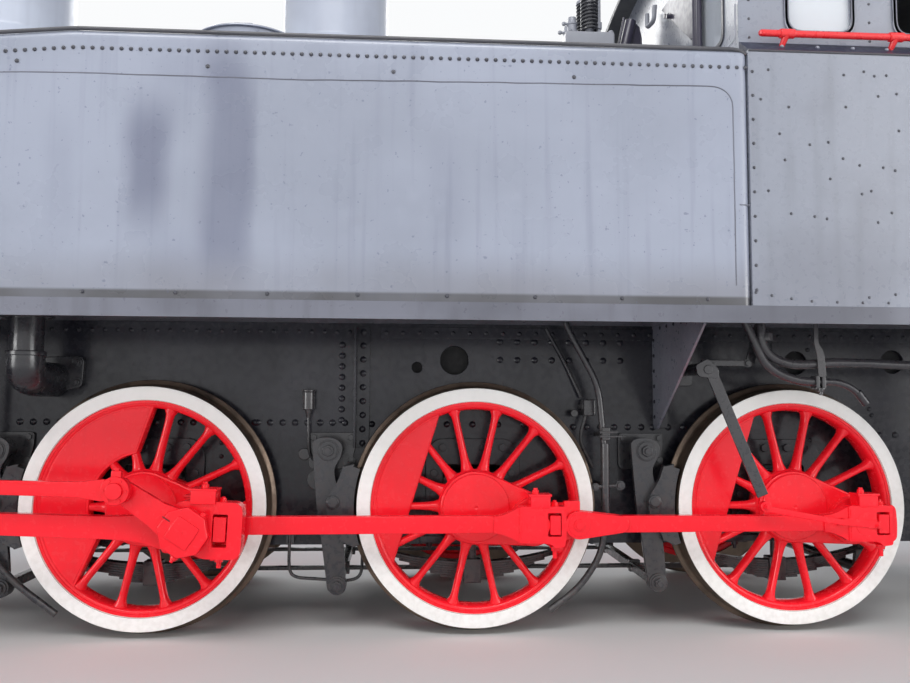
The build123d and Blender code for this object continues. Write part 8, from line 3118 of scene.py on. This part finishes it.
def soft_copy(node: str, bevel: float = 0.004, finish: str | None = None) -> bpy.types.Object:
    """Makes a copy of a frame node with its edges broken, which stands for the node.

    Args:
        node: The node's name.
        bevel: How wide its edges are bevelled.
        finish: A key of FINISHES, or None for the record's slot.

    Returns:
        The copy.
    """
    source = frame["nodes"][node]
    solid = bmesh.new()
    solid.from_mesh(source.data)
    bmesh.ops.remove_doubles(solid, verts=solid.verts, dist=1e-5)
    bmesh.ops.dissolve_limit(solid, angle_limit=radians(0.6), verts=solid.verts, edges=solid.edges)
    bmesh.ops.recalc_face_normals(solid, faces=solid.faces)
    for face in solid.faces:
        face.smooth = True
    for edge in solid.edges:
        edge.smooth = not (len(edge.link_faces) == 2 and edge.calc_face_angle(0.0) > SHARP)
    mesh = bpy.data.meshes.new(f"{node}_soft")
    solid.to_mesh(mesh)
    solid.free()
    copy = place_piece(f"{node}_soft", mesh, source["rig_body"], finish or SLOTS[node], [node])
    rounded = copy.modifiers.new("broken_edges", "BEVEL")
    rounded.width = bevel
    rounded.segments = 2
    rounded.limit_method = "ANGLE"
    rounded.angle_limit = radians(40)
    rounded.use_clamp_overlap = True
    copy.modifiers.move(1, 0)
    return copy


SLOTS: dict[str, str] = {row["node"]: row["material_slot"] for row in RECORD["subparts"]}


# The studio


@dataclass(frozen=True)
class Lamp:
    """A soft light of the studio.

    Attributes:
        place: Where it hangs.
        aim: What it points at.
        size: Its width and height.
        watts: Its power.
        tint: Its colour.
    """

    place: Point
    aim: Point
    size: Pair
    watts: float
    tint: Point = (1.0, 1.0, 1.0)

    def hang(self, name: str) -> None:
        """Puts the light in the scene.

        Args:
            name: The light's name.
        """
        data = bpy.data.lights.new(name, "AREA")
        data.shape = "RECTANGLE"
        data.size, data.size_y = self.size
        data.energy = self.watts
        data.color = self.tint
        lamp = bpy.data.objects.new(name, data)
        bpy.context.scene.collection.objects.link(lamp)
        lamp.location = self.place
        lamp.rotation_euler = (Vector(self.aim) - Vector(self.place)).to_track_quat("-Z",
            "Y").to_euler()


LAMPS = (Lamp((-1.5, -12.0, 13.0), (0.4, -1.0, 1.6), (12.0, 5.0), 1350.0),
    Lamp((0.4, -9.0, 1.15), (0.4, -0.9, 1.3), (14.0, 2.1), 70.0),
    Lamp((-11.0, -8.0, 1.9), (0.0, -1.0, 1.1), (6.0, 3.2), 520.0),
    Lamp((11.0, -8.0, 1.9), (0.0, -1.0, 1.1), (6.0, 3.2), 380.0),
    Lamp((9.0, -9.0, 6.0), (1.5, -1.0, 1.2), (6.0, 5.0), 150.0, (1.0, 0.97, 0.93)),
    Lamp((0.0, 12.0, 9.0), (0.0, 0.0, 2.0), (14.0, 6.0), 850.0))


def make_stage() -> None:
    """Makes the pale floor, the white surroundings and the lights."""
    mesh = bpy.data.meshes.new("floor")
    solid = bmesh.new()
    bmesh.ops.create_grid(solid, x_segments=1, y_segments=1, size=60.0)
    solid.to_mesh(mesh)
    solid.free()
    floor = bpy.data.objects.new("floor", mesh)
    bpy.context.scene.collection.objects.link(floor)
    g = Graph("floor_paint")
    tone = g.mix(g.noise(0.5, 3.0), (0.66, 0.655, 0.64), (0.72, 0.715, 0.7))
    g.surface(Base_Color=tone, Roughness=0.75)
    mesh.materials.append(g.material)
    floor.location.z = -0.001
    bpy.context.scene.view_settings.view_transform = "Standard"
    make_world()
    for i, lamp in enumerate(LAMPS):
        lamp.hang(f"studio_light_{i}")


def make_world() -> None:
    """Makes the surroundings: white to the eye, and a soft vertical gradient as light."""
    world = bpy.data.worlds.new("studio")
    bpy.context.scene.world = world
    world.use_nodes = True
    tree = world.node_tree
    tree.nodes.clear()
    output = tree.nodes.new("ShaderNodeOutputWorld")
    place = tree.nodes.new("ShaderNodeTexCoord")
    split = tree.nodes.new("ShaderNodeSeparateXYZ")
    ramp = tree.nodes.new("ShaderNodeValToRGB")
    glow = tree.nodes.new("ShaderNodeBackground")
    seen = tree.nodes.new("ShaderNodeBackground")
    path = tree.nodes.new("ShaderNodeLightPath")
    pick = tree.nodes.new("ShaderNodeMixShader")
    ramp.color_ramp.elements[0].position = 0.0
    ramp.color_ramp.elements[0].color = (0.1, 0.095, 0.09, 1)
    ramp.color_ramp.elements[1].position = 0.35
    ramp.color_ramp.elements[1].color = (0.8, 0.86, 1.0, 1)
    tree.links.new(place.outputs["Generated"], split.inputs[0])
    tree.links.new(split.outputs[2], ramp.inputs[0])
    tree.links.new(ramp.outputs[0], glow.inputs["Color"])
    glow.inputs["Strength"].default_value = 0.5
    seen.inputs["Color"].default_value = (0.96, 0.97, 0.98, 1)
    seen.inputs["Strength"].default_value = 1.0
    share = path.outputs["Is Camera Ray"]
    for ray in ("Is Glossy Ray", "Is Transmission Ray"):
        total = tree.nodes.new("ShaderNodeMath")
        total.operation = "ADD"
        total.use_clamp = True
        tree.links.new(share, total.inputs[0])
        tree.links.new(path.outputs[ray], total.inputs[1])
        share = total.outputs[0]
    tree.links.new(share, pick.inputs[0])
    tree.links.new(glow.outputs[0], pick.inputs[1])
    tree.links.new(seen.outputs[0], pick.inputs[2])
    tree.links.new(pick.outputs[0], output.inputs["Surface"])


@dataclass(frozen=True)
class Viewpoint:
    """The photograph's camera.

    Attributes:
        place: Where it stands.
        yaw: Degrees turned from +Y towards +X.
        pitch: Degrees upward.
        roll: Degrees of roll.
        lens: Focal length over a 36 mm sensor.
    """

    place: Point = (0.121, -5.053, 1.123)
    yaw: float = 3.69
    pitch: float = 4.18
    roll: float = 0.27
    lens: float = 33.84

    def mount(self) -> None:
        """Makes the scene's camera."""
        yaw, pitch, roll = (radians(a) for a in (self.yaw, self.pitch, self.roll))
        ahead = Vector((sin(yaw) * cos(pitch), cos(yaw) * cos(pitch), sin(pitch)))
        right = Vector((cos(yaw), -sin(yaw), 0))
        up = right.cross(ahead)
        right, up = (right * cos(roll) + up * sin(roll), up * cos(roll) - right * sin(roll))
        data = bpy.data.cameras.new("camera")
        data.sensor_width = 36.0
        data.lens = self.lens
        data.clip_start = 0.05
        data.clip_end = 400.0
        camera = bpy.data.objects.new("camera", data)
        bpy.context.scene.collection.objects.link(camera)
        turn = Matrix((right, up, -ahead)).transposed().to_4x4()
        camera.matrix_world = Matrix.Translation(self.place) @ turn
        bpy.context.scene.camera = camera


def paint_frame() -> None:
    """Gives every frame node that still shows the finish of its slot."""
    for name, node in frame["nodes"].items():
        if node.hide_render:
            continue
        node.data.materials.clear()
        node.data.materials.append(finish_named(SLOTS[name]))


def main() -> None:
    """Dresses the locomotive and sets it in the studio."""
    logging.basicConfig(level=logging.INFO, format="%(name)s: %(message)s")
    random.seed(7)
    dress_axles()
    dress_rods()
    dress_sides()
    dress_motion()
    dress_body()
    paint_frame()
    make_stage()
    Viewpoint().mount()


if __name__ == "__main__":
    main()
